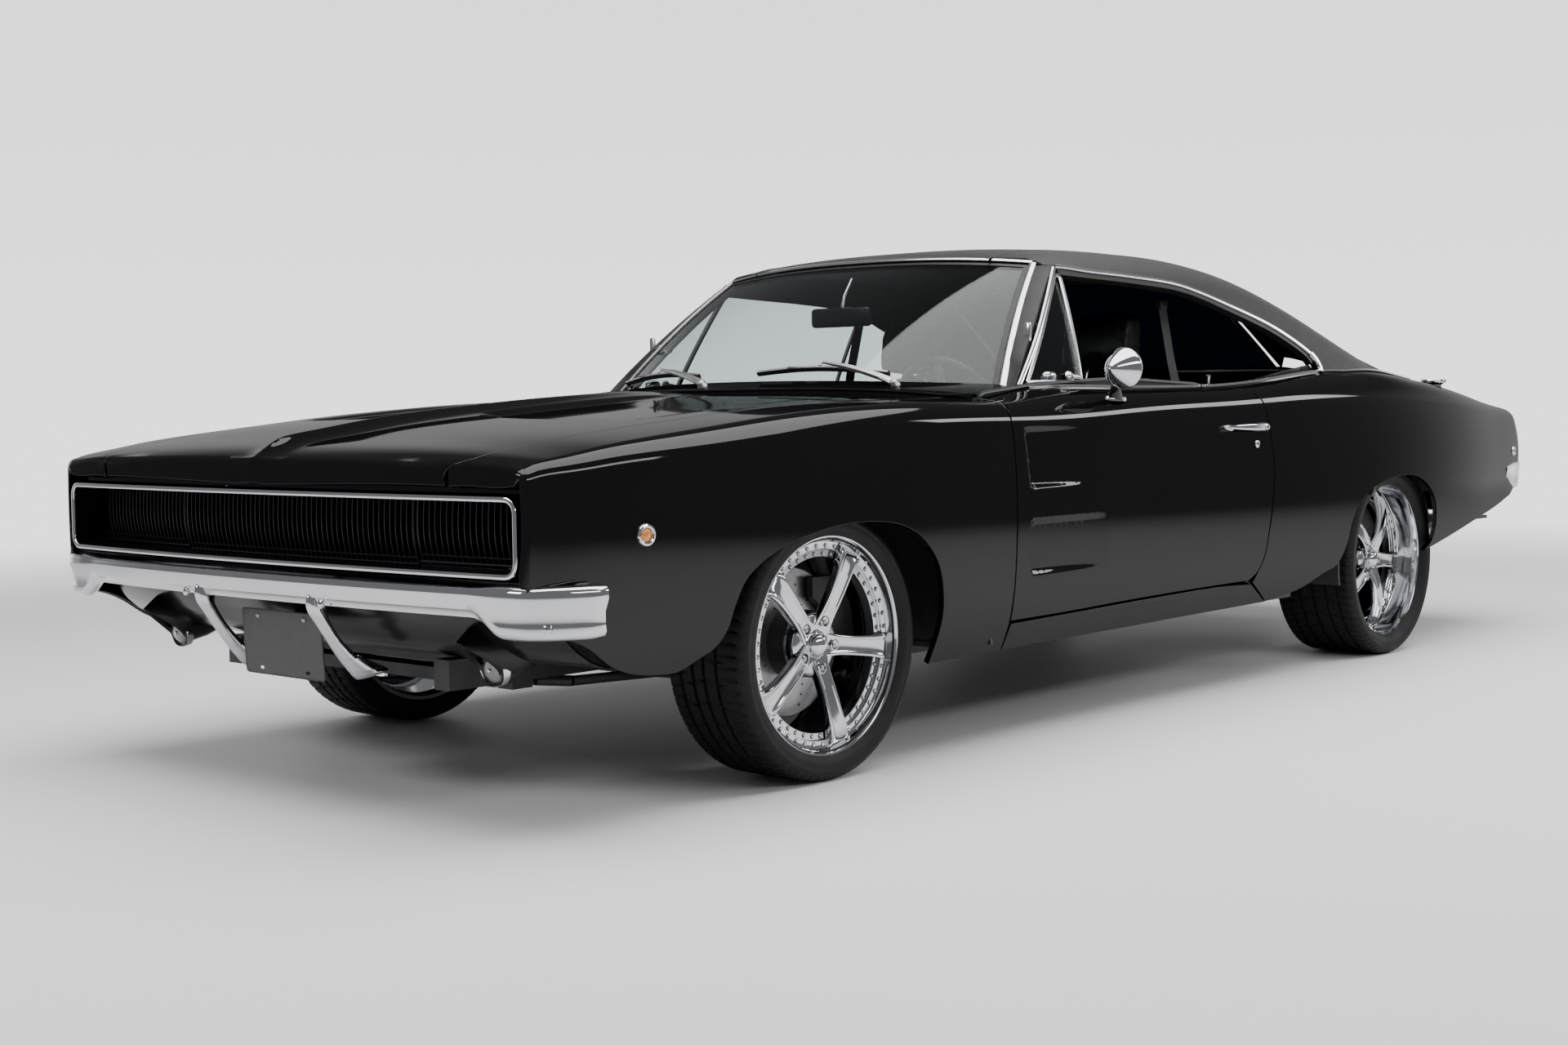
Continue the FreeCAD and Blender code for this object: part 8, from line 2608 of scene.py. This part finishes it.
m = Mesh()
for py, mid_y, b0, b1 in ((474.0, 205.0, 425.0, -12.0), (-196.0, -476.0, -262.0, -690.0)):
    piv = glass_pt(py, -0.03, 16.0)
    piv = piv + np.array((10.0, 0, -4.0))
    m.add(*lathe([(0, 20), (6, 19.5), (10, 16), (11, 6), (13, 4), (15, -2), (15, -30)], tuple(piv), (0.62, 0, 0.78), 24), 0)
    end = glass_pt(mid_y, 0.105, 22.0)
    elb = piv + (end - piv) * 0.16 + np.array((2, 0, 12.0))
    knee = piv + (end - piv) * 0.62 + np.array((1, 0, 10.0))
    rings = []
    P_ = smooth_line([tuple(piv + np.array((0, 0, 8.0))), tuple(elb), tuple(knee), tuple(end)], 9)
    n_ = len(P_)
    for i in range(n_):
        p = np.array(P_[i])
        a, b = np.array(P_[max(0, i - 1)]), np.array(P_[min(n_ - 1, i + 1)])
        t_ = unit(b - a)
        nn = unit((0.62, 0, 0.78))
        s_ = unit(np.cross(t_, nn))
        k_ = i / (n_ - 1)
        w_ = mix(11.0, 7.5, min(1, k_ / .55)) if k_ < .6 else mix(7.5, 3.5, (k_ - .6) / .4)
        h_ = 5.0 if k_ < .6 else mix(5.0, 2.4, (k_ - .6) / .4)
        rings.append([tuple(p + s_ * w_ * q + nn * h_ * r_) for q, r_ in ((-1, -1), (-1, .4), (-.7, 1), (.7, 1), (1, .4), (1, -1))])
    m.add(*loft(rings), 0)
    # bridge and blade on the glass
    bp_ = [tuple(glass_pt(mix(b0, b1, t), 0.045 + 0.03 * math.sin(math.pi * t) + 0.006, 16.0)) for t in np.linspace(0, 1, 16)]
    m.add(*sweep(smooth_line(bp_, 12), [(-3.0, -2), (-3.4, 1.0), (-1.5, 3.0), (1.5, 3.0), (3.4, 1.0), (3.0, -2)], up=(0.6, 0, 0.8)), 1)
    bl = [tuple(glass_pt(mix(b0 + 4, b1 - 4, t), 0.045 + 0.03 * math.sin(math.pi * t) + 0.004, 8.0)) for t in np.linspace(0, 1, 16)]
    m.add(*sweep(smooth_line(bl, 12), [(-1.2, -7), (-4.4, 2), (-4.4, 7), (4.4, 7), (4.4, 2), (1.2, -7)], up=(0.6, 0, 0.8)), 2)
    for t in (0.3, 0.7):
        q = glass_pt(mix(b0, b1, t), 0.072, 18.0)
        m.add(*block(tuple(q - np.array((4, 26, 3))), tuple(q + np.array((4, 26, 4))), 2), 1)
    m.add(*tube([tuple(end), tuple(glass_pt(mid_y, 0.082, 20.0))], 4.0, 10), 0)
m.out("wiper_arms", ["steel", "steel", "rubber"], "car_body", ["wipers"], sharp=45)


# cowl, firewall and kick panels
def cowl_p(u, v):
    y = v * 784.0
    t = min(1.0, abs(y) / 732.0)
    b = ws_base(t)
    xa, za = b[0] + 3.0, b[2] - 2.0
    if abs(y) > 732:
        za = mix(b[2] - 2.0, 905.0, (abs(y) - 732) / 54.0)
    xb = 1034.0
    zb = float(n_top(np.array(xb), np.array(min(738.0, abs(y)))))
    e = max(0.0, (u - 0.94) / 0.06)
    return (mix(xa, xb, u), y, mix(za, zb, u) - 9.0 * 4 * u * (1 - u) - 4.0 * e * e)


us = np.concatenate([np.linspace(0, 0.92, 14), [0.945, 0.965, 0.985, 1.0]])
v, f = grid_sheet(cowl_p, us, np.linspace(-1, 1, 73), -8.0, (0, 0, -1))
m = Mesh()
m.add(v, f, 0)
for sg in (1, -1):
    for k_ in range(15):
        y = sg * (90.0 + 30.0 * k_)
        a, b = cowl_p(0.34, y / 784.0), cowl_p(0.62, y / 784.0)
        pth = [(mix(a[0], b[0], t), y, cowl_p(mix(.34, .62, t), y / 784.0)[2] + 1.0) for t in np.linspace(0, 1, 5)]
        m.add(*sweep(pth, [(-4.5, -1.5), (-3.6, 0.4), (3.6, 0.4), (4.5, -1.5)], up=(0, 0, 1)), 1)
m.add(*block((1000, -770, 258), (1011, 770, 872), 4), 2)
for sg in (1, -1):
    kk = [(1010, 258), (1010, 874), (990, 892), (800, 902), (740, 896), (764, 860), (904, 700), (904, 258)]
    rings = [[(x, sg * yq, z) for x, z in kk] for yq in (770.5, 785.0)]
    m.add(*loft(rings), 2)
m.out("cowl_unit", ["paint", "castiron", "chassis"], "car_body", ["cowl"], sharp=40)

# fuel filler: cup in the panel, bright flange, hinged cap
m = Mesh()
cq = [(-1868 + 51.5 * math.cos(a), find(body_yz, "y", -1868, 773) - 51.5 * math.sin(a)) for a in np.linspace(0, 2 * math.pi, 48, endpoint=False)]
rim_ = [BODY.pos(np.array([a]), np.array([b]))[0] for a, b in cq]
rim_ = [tuple(np.asarray(p, float)) for p in rim_]
c0 = np.mean(np.array(rim_), axis=0)
rings = [rim_, [tuple(c0 + (np.array(p) - c0) * .97 - np.array((0, 0, 2.5))) for p in rim_], [tuple(c0 + (np.array(p) - c0) * .95 * np.array((1, 1, .4)) - np.array((0, 0, 16))) for p in rim_],
         [tuple(c0 + (np.array(p) - c0) * .55 * np.array((1, 1, .1)) - np.array((0, 0, 26))) for p in rim_], [tuple(c0 + (np.array(p) - c0) * .05 * np.array((1, 1, .1)) - np.array((0, 0, 26))) for p in rim_]]
v, f = loft(rings, caps=False)
m.add(v, f, 1)
m.add(v, [q[::-1] for q in f], 1)
m.out("filler_cup", ["chrome", "paint"])
m = Mesh()
O_ = (-1868.0, 773.0, 932.0)
m.add(*lathe([(30, -26), (31, -8), (38, -3), (45, -1), (46.5, 3), (46, 8), (43.5, 11.0), (38, 11.8), (34, 10.6), (31, 11.4), (16, 12.0), (0, 12.0)], O_, (0, 0, 1), 56), 0)
m.add(*lathe([(30, -26), (0, -26)], O_, (0, 0, 1), 32), 1)
for k_ in range(8):
    a = 2 * math.pi * k_ / 8
    m.add(*lathe([(0, 1.6), (2, 1.4), (3.2, 0), (3.2, -1)], (-1868 + 40.5 * math.cos(a), 773 + 40.5 * math.sin(a), 943.2), (0, 0, 1), 10), 0)
m.add(*block((-1874, 724, 936), (-1862, 742, 943), 2.5), 0)
m.add(*block((-1878, 806, 936), (-1858, 822, 942), 2.5), 0)
m.out("filler_cap", ["chrome", "castiron"], "fuel_cap_body", ["fuel_cap"], sharp=40)

# engine: block, heads, covers, manifold, round air cleaner, belts, headers, gearbox and shaft
m = Mesh()
m.add(*block((1200, -140, 290), (1790, 140, 560), 14), 0)
m.add(*block((1230, -120, 265), (1560, 120, 300), 16), 0)
for sg in (1, -1):
    rings = [[(x, sg * (105 + 0), 520), (x, sg * 235, 560), (x, sg * 245, 600), (x, sg * 200, 660), (x, sg * 110, 640)] for x in (1225, 1232, 1768, 1775)]
    m.add(*loft([r if sg > 0 else r[::-1] for r in rings]), 0)
    rings = []
    for x, k in ((1236, .82), (1244, .96), (1262, 1.0), (1740, 1.0), (1758, .96), (1766, .82)):
        c_ = np.array((x, sg * 185.0, 652.0))
        pl = [(-52, -22), (-52, 8), (-40, 30), (-14, 40), (20, 40), (42, 28), (52, 6), (52, -22)]
        rings.append([tuple(c_ + np.array((0, sg * a * k * .9 + 0.35 * b * sg, b * k - 0.3 * a * k))) for a, b in pl])
    m.add(*loft([r if sg > 0 else r[::-1] for r in rings]), 1)
    for k_ in range(7):
        x = 1285 + 72.0 * k_
        m.add(*sweep([(x, sg * (185 + q * .9 + .35 * 40), 692 - 0.3 * q + 1.0) for q in (-16, 0, 20)], [(-4, 0), (-2.5, 3), (2.5, 3), (4, 0)], up=(0, 0, 1)), 1)
    for k_ in range(4):
        x = 1290 + 140.0 * k_
        pth = smooth_line([(x, sg * 236, 585), (x - 6, sg * 285, 560), (x - 30, sg * 300, 470), (1240 + 18 * k_, sg * 270, 380), (1195, sg * 238, 318)], 16)
        m.add(*tube(pth, 19.0, 12), 2)
    m.add(*tube([(1205, sg * 236, 322), (1180, sg * 230, 300), (1150, sg * 232, 284)], 30.0, 16), 2)
    pl = [(1300 + 128 * i, sg * 236, 612) for i in range(4)]
    for p in pl:
        m.add(*tube(smooth_line([p, (p[0] + 10, sg * 262, 650), (p[0] - 10, sg * 250, 700), (1330, sg * 60, 716)], 16), 4.0, 8), 3)
m.add(*block((1300, -100, 620), (1700, 100, 672), 14), 0)
m.add(*block((1440, -66, 668), (1570, 66, 706), 8), 2)
m.add(*lathe([(0, 64), (8, 63), (12, 56), (150, 52), (166, 48), (170, 40), (168, 34)], (1500, 0, 714), (0, 0, 1), 64), 1)
m.add(*lathe([(160, 34), (162, 8), (160, 6)], (1500, 0, 714), (0, 0, 1), 64), 4)
m.add(*lathe([(168, 8), (170, 2), (166, -4), (60, -12), (58, -40)], (1500, 0, 714), (0, 0, 1), 64), 1)
m.add(*lathe([(0, 74), (10, 72), (14, 66), (6, 62)], (1500, 0, 714), (0, 0, 1), 20), 2)
# front covers, pulleys, belts and fan
for y, z, r_ in ((0, 400, 86), (0, 556, 66), (-150, 600, 46), (150, 590, 46)):
    m.add(*lathe([(0, 24), (r_ * .3, 24), (r_ * .4, 16), (r_ - 6, 16), (r_, 20), (r_ - 4, 10), (r_, 0), (r_ - 8, -4), (12, -6), (12, -60)], (1818, y, z), (1, 0, 0), 40), 2)
for loop_ in ([(0, 400, 84), (0, 556, 64)],):
    pass
bel = []
for a in np.linspace(math.pi, 2 * math.pi, 14):
    bel.append((1828.0, 84 * math.cos(a), 400 + 84 * math.sin(a)))
for a in np.linspace(0, math.pi, 14):
    bel.append((1828.0, 64 * math.cos(a), 556 + 64 * math.sin(a)))
m.add(*sweep(bel, [(-2, -5), (2, -4), (2, 4), (-2, 5)], up=(1, 0, 0), closed=True), 4)
for k_ in range(7):
    a0 = 2 * math.pi * k_ / 7
    rr = []
    for r_ in np.linspace(30, 215, 7):
        tw = mix(0.75, 0.35, r_ / 215)
        e_, t_ = np.array((0, math.cos(a0), math.sin(a0))), np.array((0, -math.sin(a0), math.cos(a0)))
        c_ = np.array((1868.0, 0, 556.0)) + e_ * r_
        w_ = 34.0
        q_ = t_ * math.cos(tw) + np.array((1.0, 0, 0)) * math.sin(tw)
        p_ = unit(np.cross(q_, e_)) * 1.2
        rr.append([tuple(c_ - q_ * w_ - p_), tuple(c_ + q_ * w_ - p_), tuple(c_ + q_ * w_ + p_), tuple(c_ - q_ * w_ + p_)])
    m.add(*loft(rr), 2)
m.add(*lathe([(0, 26), (26, 24), (34, 14), (36, -20), (30, -40)], (1868, 0, 556), (1, 0, 0), 32), 2)
# gearbox, tail housing and shaft
m.add(*lathe([(112, 4), (112, -20), (104, -60), (86, -110), (78, -180), (74, -300), (62, -330), (48, -420), (42, -540), (40, -560)], (1196, 0, 322), (1, 0, 0.02), 48), 0)
m.add(*sweep([(660, 0, 297), (200, 0, 291), (-400, 0, 290), (-1150, 0, 300)], circle(38, 28), (0, 1, 0)), 5)
for x in (610, -1145):
    m.add(*lathe([(0, 28), (30, 26), (46, 12), (46, -12), (30, -26), (0, -28)], (x, 0, 294), (1, 0, 0), 28), 2)
m.out("engine_unit", ["castiron", "chrome", "steel", "rubber", "trim", "chassis"], "car_body", ["engine_driveline"], sharp=35)

# radiator: core with fins, tanks, cap and hoses
m = Mesh()
m.add(*block((2203, -332, 350), (2233, 332, 742), 3), 0)
for k_ in range(64):
    y = -328 + k_ * 10.4
    m.add([(2199, y - 1, 352), (2237, y - 1, 352), (2237, y + 1, 352), (2199, y + 1, 352), (2199, y - 1, 740), (2237, y - 1, 740), (2237, y + 1, 740), (2199, y + 1, 740)],
          [(0, 1, 5, 4), (1, 2, 6, 5), (2, 3, 7, 6), (3, 0, 4, 7)], 1)
m.add(*block((2191, -358, 742), (2237, 358, 765), 8), 2)
m.add(*block((2191, -358, 331), (2237, 358, 350), 6), 2)
for sg in (1, -1):
    m.add(*block((2194, min(sg * 332, sg * 346), 345), (2236, max(sg * 332, sg * 346), 750), 4), 2)
m.add(*lathe([(0, 14), (16, 13), (20, 9), (20, 3), (16, 0)], (2214, 210, 764), (0, 0, 1), 28), 3)
m.add(*tube(smooth_line([(2196, -200, 745), (2120, -190, 740), (1960, -80, 700), (1800, -30, 660)], 18), 19.0, 14), 4)
m.add(*tube(smooth_line([(2196, 210, 372), (2100, 210, 372), (1960, 120, 400), (1840, 90, 440)], 18), 19.0, 14), 4)
m.out("radiator_unit", ["castiron", "steel", "chassis", "chrome", "rubber"], "car_body", ["radiator"], sharp=40)

# battery, reservoir and booster beside the engine
m = Mesh()
m.add(*block((1880, 250, 520), (2060, 420, 690), 8), 0)
for y in (290, 380):
    m.add(*lathe([(0, 16), (8, 15), (9, 0)], (1915, y, 690), (0, 0, 1), 14), 1)
m.add(*lathe([(0, 60), (40, 56), (96, 30), (104, 6), (104, -6), (96, -30), (30, -40)], (1080, 330, 700), (1, 0, 0), 48), 2)
m.add(*block((1130, 296, 672), (1230, 364, 728), 12), 2)
m.add(*block((1230, -420, 600), (1420, -300, 700), 16), 3)
m.add(*tube(smooth_line([(1400, -340, 690), (1560, -300, 720), (1800, -120, 640)], 18), 9.0, 10), 4)
m.add(*lathe([(0, 8), (18, 7), (20, 0)], (1320, -360, 700), (0, 0, 1), 20), 2)
m.out("bay_fittings", ["trim", "steel", "gloss", "lamp", "rubber"], sharp=40)

# exhaust: pipes, boxes and open tips
m = Mesh()
e_ = [(1150, 232, 284), (1100, 240, 240), (1040, 250, 206), (900, 250, 204), (200, 250, 204), (-190, 250, 204)]
m.add(*tube(smooth_line(e_, 25), 30.0, 22), 0)
m.add(*lathe([(28, -4), (34, 0), (58, 14), (60, 24), (60, 500), (58, 508), (34, 522), (28, 526)], (-182, 250, 172 + 6), (-1, 0, 0), 36), 0)
e_ = [(-700, 250, 176), (-900, 262, 172), (-1300, 330, 180), (-1700, 400, 205), (-1860, 428, 226), (-2060, 468, 282), (-2250, 502, 342), (-2430, 522, 368), (-2540, 527, 371)]
m.add(*tube(smooth_line(e_, 25), 26.5, 22), 0)
ta = unit(np.array((-2540, 527, 371.0)) - np.array((-2430, 522, 368.0)))
tp_ = np.array((-2482, 524.5, 369.5))
m.add(*lathe([(27, -60), (31, -54), (32, 70), (31.5, 80), (29.5, 82), (28, 78), (27, -30), (0, -34)], tuple(tp_), tuple(ta), 36), 1)
for x in (-60.0, 500.0, -1650.0):
    m.add(*lathe([(31, -8), (35, -6), (35, 6), (31, 8)], (x, 250 if x > -700 else 391, 204 if x > -700 else 202), (1, 0, 0), 24), 2)
m.mirrored()
m.out("exhaust_run", ["steel", "chrome", "castiron"], "car_body", ["exhaust"], sharp=40)

# springs, hoses and fixings seen in the wheel wells
m = Mesh()
for pts_ in ([(1612, 560, 484), (1588, 532, 512), (1560, 492, 545), (1546, 446, 560)],):
    m.add(*tube(smooth_line(pts_, 14), 5.0, 10), 0)
cl_ = [(1646 + 0.0, 476.0 + 0.0, 330.0)]
hx = []
for k_ in range(0, 150):
    t = k_ / 149.0
    a = t * 2 * math.pi * 6
    b0_ = np.array((1646.0, 497.0, 262.0))
    b1_ = np.array((1646.0, 460.0, 600.0))
    d0 = unit(b1_ - b0_)
    u0 = unit(np.cross(d0, (1, 0, 0)))
    w0 = np.cross(d0, u0)
    hx.append(tuple(b0_ + (b1_ - b0_) * t + (u0 * math.cos(a) + w0 * math.sin(a)) * 44.0))
m.add(*tube(hx, 6.5, 10), 1)
for x, z in ((1180, 640), (1300, 742), (1700, 760)):
    m.add(*lathe([(0, 5), (7, 4.6), (10, 2), (10, 0)], (x, 440, z) if z < 700 else (x, 700, 699), (0, 1, 0) if z < 700 else (0, 0, -1), 12), 2)
m.mirrored()
m.out("well_fittings", ["rubber", "steel", "castiron"], sharp=50)
# splash shield behind the front wheel with its screw
m = Mesh()
rings = []
for y in (560, 640, 720, 800, 850, 880):
    rings.append([(x_, y, z_) for x_, z_ in ((1036, 262), (1060, 420), (1110, 540), (1180, 640), (1230, 700), (1224, 702), (1172, 646), (1102, 544), (1052, 422), (1028, 262))])
m.add(*loft(rings), 0)
m.add(*lathe([(0, 5), (6, 4.4), (9, 1.8), (9, 0)], (1100, 858, 520), (0.9, 0.1, -0.35), 14), 1)
m.mirrored()
m.out("splash_shields", ["chassis", "steel"], sharp=45)

# inner braces of the hood and the lid
m = Mesh()
for sg in (1, -1):
    m.add(*sweep([(1100, sg * 640, float(n_top(np.array(1100.0), np.array(640.0))) - 34), (1700, sg * 620, float(n_top(np.array(1700.0), np.array(620.0))) - 34), (2480, sg * 560, float(n_top(np.array(2480.0), np.array(560.0))) - 36)],
                 [(-40, 0), (-30, 14), (30, 14), (40, 0)], up=(0, 0, 1)))
    m.add(*sweep([(1100, sg * 600, float(n_top(np.array(1100.0), np.array(600.0))) - 34), (2450, sg * 60, float(n_top(np.array(2450.0), np.array(60.0))) - 36)],
                 [(-32, 0), (-24, 14), (24, 14), (32, 0)], up=(0, 0, 1)))
m.out("hood_braces", "gloss", "hood_body", sharp=40)
m = Mesh()
for sg in (1, -1):
    m.add(*sweep([(-1620, sg * 520, float(n_top(np.array(-1620.0), np.array(520.0))) - 32), (-2100, sg * 560, float(n_top(np.array(-2100.0), np.array(560.0))) - 32), (-2520, sg * 560, float(n_top(np.array(-2520.0), np.array(560.0))) - 34)],
                 [(-36, 0), (-28, 12), (28, 12), (36, 0)], up=(0, 0, 1)))
m.out("lid_braces", "gloss", "trunk_lid_body", sharp=40)

# door shells: jamb faces behind the outer skin
def door_shell():
    m = Mesh()
    pl = [(985, 880), (985, 822), (988, 740), (990, 657), (991, 574), (989, 490), (980, 406), (966, 322), (724, 323), (314, 330), (-141, 334), (-272, 334),
          (-306, 366), (-326, 410), (-334, 480), (-350, 603), (-358, 677), (-352, 752), (-336, 862)]
    pl = resample(pl[::-1], 160)
    rows = []
    for k_, (dd, t) in enumerate(((2.5, 0.0), (2.5, 0.5), (2.5, 1.0))):
        r = []
        for x, z in inset(pl, dd):
            yo = float(n_side(np.array(x), np.array(z))) - 9.0
            yi = 797.0
            r.append((x - (0.0 if x > -100 else -14.0 * t), mix(yo, yi, t), z))
        rows.append(r)
    v = [p for r in rows for p in r]
    n_ = len(pl)
    f = []
    for i in range(2):
        for j in range(n_):
            k_ = (j + 1) % n_
            if v[j][2] > 855 and v[k_][2] > 855:
                continue
            f.append((i * n_ + j, (i + 1) * n_ + j, (i + 1) * n_ + k_, i * n_ + k_))
    m.add(v, f, 0)
    m.add([(a, b, c) for a, b, c in v], [q[::-1] for q in f], 0)
    for x, z in ((978, 480), (978, 740)):
        m.add(*block((970, 830, z - 26), (992, 858, z + 26), 4), 1)
    m.add(*block((-352, 826, 600), (-340, 850, 650), 3), 1)
    return m


d_ = door_shell()
d_.out("door_shell_left", ["paint", "steel"], "door_left_body", sharp=40)
d_.flipped().out("door_shell_right", ["paint", "steel"], "door_right_body", sharp=40)

# soft edges on the folded chassis parts
for nm in ("chassis_rails", "floor_pan", "front_suspension", "rear_axle", "knuckle_left", "knuckle_right", "fuel_tank"):
    ob = frame["nodes"].get(nm)
    if ob is not None:
        b = ob.modifiers.new("edge", "BEVEL")
        b.width = 0.0022
        b.segments = 2
        b.limit_method = "ANGLE"
        b.angle_limit = math.radians(35)

# wheel housings with their outer edges cut back behind the lips of the arches
src = frame["nodes"].get("wheel_housings")
if src is not None:
    bm = bmesh.new()
    bm.from_mesh(src.data)
    bm.transform(src.matrix_world)
    bmesh.ops.remove_doubles(bm, verts=bm.verts, dist=1e-5)
    for co, no in (((-1.560, 0, 0), (1, 0, 0)), ((-1.080, 0, 0), (1, 0, 0)), ((0, 0, 0.430), (0, 0, 1)), ((0, 0, 0.560), (0, 0, 1)),
                   ((0, 0.850, 0), (0, 1, 0)), ((0, -0.850, 0), (0, 1, 0)), ((-0.800, 0, 0), (1, 0, 0))):
        bmesh.ops.bisect_plane(bm, geom=bm.verts[:] + bm.edges[:] + bm.faces[:], plane_co=co, plane_no=no, dist=1e-6)
    gone = []
    for fc in bm.faces:
        c = fc.calc_center_median()
        if (c.x < -1.560 and (c.z < 0.430 or abs(c.y) > 0.850 and c.z < 0.560)) or (-1.080 < c.x < -0.800 and abs(c.y) > 0.850 and c.z < 0.560):
            gone.append(fc)
    bmesh.ops.delete(bm, geom=gone, context="FACES")
    rim_edges = [e for e in bm.edges if len(e.link_faces) == 1]
    bmesh.ops.holes_fill(bm, edges=rim_edges, sides=0)
    bmesh.ops.recalc_face_normals(bm, faces=bm.faces[:])
    v = [tuple(q.co * 1000.0) for q in bm.verts]
    bm.verts.index_update()
    f = [tuple(q.index for q in fc.verts) for fc in bm.faces]
    bm.free()
    ob = put("wheel_wells", v, f, "castiron", "car_body", ["wheel_housings"], sharp=35)
    b = ob.modifiers.new("edge", "BEVEL")
    b.width = 0.0022
    b.segments = 2
    b.limit_method = "ANGLE"
    b.angle_limit = math.radians(35)

# ---------------------------------------------------------------- what is left of the CAD nodes gets its finish
SLOT_MAT = {"black_paint": "paint", "vinyl": "vinyl", "chrome": "chrome", "black_trim": "trim", "lamp_glass": "lamp", "red_lens": "red",
            "glass": "glass", "polished_alloy": "alloy", "tyre": "rubber", "leather": "leather", "dash_plastic": "dash",
            "chassis_black": "chassis", "cast_iron": "castiron", "steel": "steel", "plate_grey": "plate"}
for sp in frame["record"]["subparts"]:
    ob = frame["nodes"].get(sp["node"])
    if ob is None:
        continue
    ob.data.materials.clear()
    ob.data.materials.append(MATS[SLOT_MAT[sp["material_slot"]]])

# ---------------------------------------------------------------- camera, floor and light
FOCAL = 2466.145 * 36.0 / 1920.0
CAM = (5.20529, 3.87256, 0.88240)
yaw, pitch, roll = [math.radians(a) for a in (-138.47108587, -3.38372614, -0.65126141)]
fw = np.array([math.cos(yaw) * math.cos(pitch), math.sin(yaw) * math.cos(pitch), math.sin(pitch)])
ri = np.array([math.sin(yaw), -math.cos(yaw), 0.0])
upv = np.cross(ri, fw)
cc, ss = math.cos(roll), math.sin(roll)
right = cc * ri + ss * upv
upc = cc * upv - ss * ri
cam = bpy.data.cameras.new("camera")
cam.lens = FOCAL
cam.sensor_width = 36.0
cam.clip_end = 200.0
co = bpy.data.objects.new("camera", cam)
bpy.context.scene.collection.objects.link(co)
co.matrix_world = Matrix((
    (right[0], upc[0], -fw[0], CAM[0]),
    (right[1], upc[1], -fw[1], CAM[1]),
    (right[2], upc[2], -fw[2], CAM[2]),
    (0, 0, 0, 1)))
bpy.context.scene.camera = co


def stage_mesh(name, verts, faces, mat):
    me = bpy.data.meshes.new(name)
    me.from_pydata(verts, [], faces)
    me.shade_smooth()
    ob = bpy.data.objects.new(name, me)
    bpy.context.scene.collection.objects.link(ob)
    me.materials.append(MATS[mat])
    return ob


# flat floor, 120 m square, reaching far behind the car
stage_mesh("floor", [(-60, -60, 0), (60, -60, 0), (60, 60, 0), (-60, 60, 0)], [(0, 1, 2, 3)], "floor")


def area(name, loc, target, size, size_y, power, color=(1, 1, 1), spread=180):
    l = bpy.data.lights.new(name, "AREA")
    l.shape = "RECTANGLE"
    l.size, l.size_y = size, size_y
    l.energy = power
    l.color = color
    l.spread = math.radians(spread)
    o = bpy.data.objects.new(name, l)
    bpy.context.scene.collection.objects.link(o)
    o.location = loc
    dv = Vector(target) - Vector(loc)
    o.rotation_euler = dv.to_track_quat("-Z", "Y").to_euler()
    o.visible_camera = False
    return o


area("top_soft", (0.2, 0.8, 5.2), (0, 0.2, 0.0), 9.0, 5.0, 780)
area("front_soft", (6.8, -1.2, 3.4), (1.5, 0, 0.4), 2.6, 1.2, 120)
area("side_soft", (0.6, 6.6, 3.6), (0, 0, 0.7), 7.0, 0.9, 150)
area("rear_soft", (-6.0, 4.0, 3.4), (-1.5, 0, 0.6), 2.4, 1.0, 90)

# studio room: pale beyond the car, dim above and behind the camera
world = bpy.data.worlds.new("studio")
bpy.context.scene.world = world
world.use_nodes = True
nt = world.node_tree
bg = nt.nodes["Background"]
tc = nt.nodes.new("ShaderNodeTexCoord")


def wmath(op, a, b=0.0, clamp=False):
    q = nt.nodes.new("ShaderNodeMath")
    q.operation = op
    q.use_clamp = clamp
    for s_, v_ in ((q.inputs[0], a), (q.inputs[1], b)):
        if isinstance(v_, bpy.types.NodeSocket):
            nt.links.new(v_, s_)
        else:
            s_.default_value = v_
    return q.outputs[0]


def wspan(v_, a0, a1, b0, b1):
    q = nt.nodes.new("ShaderNodeMapRange")
    q.interpolation_type = "SMOOTHSTEP"
    nt.links.new(v_, q.inputs["Value"])
    q.inputs["From Min"].default_value = a0
    q.inputs["From Max"].default_value = a1
    q.inputs["To Min"].default_value = b0
    q.inputs["To Max"].default_value = b1
    return q.outputs["Result"]


sep = nt.nodes.new("ShaderNodeSeparateXYZ")
nt.links.new(tc.outputs["Generated"], sep.inputs[0])
away = wmath("ADD", wmath("MULTIPLY", sep.outputs["X"], -0.75), wmath("MULTIPLY", sep.outputs["Y"], -0.66))
far = wspan(away, 0.30, 0.80, 0.0, 1.0)
low = wspan(sep.outputs["Z"], 0.20, 0.42, 1.0, 0.0)
pale = wmath("MULTIPLY", far, low)
ground = wspan(sep.outputs["Z"], 0.0, -0.03, 0.0, 1.0)
lvl = wmath("MAXIMUM", wmath("MULTIPLY", pale, wspan(sep.outputs["Z"], -0.02, 0.20, 1.0, 0.84)), wmath("MULTIPLY", ground, far))
mixn = nt.nodes.new("ShaderNodeMix")
mixn.data_type = "RGBA"
nt.links.new(lvl, mixn.inputs[0])
mixn.inputs[6].default_value = (0.105, 0.105, 0.109, 1)
mixn.inputs[7].default_value = (0.985, 0.985, 1.0, 1)
nt.links.new(mixn.outputs[2], bg.inputs["Color"])
bg.inputs["Strength"].default_value = 2.1

import json
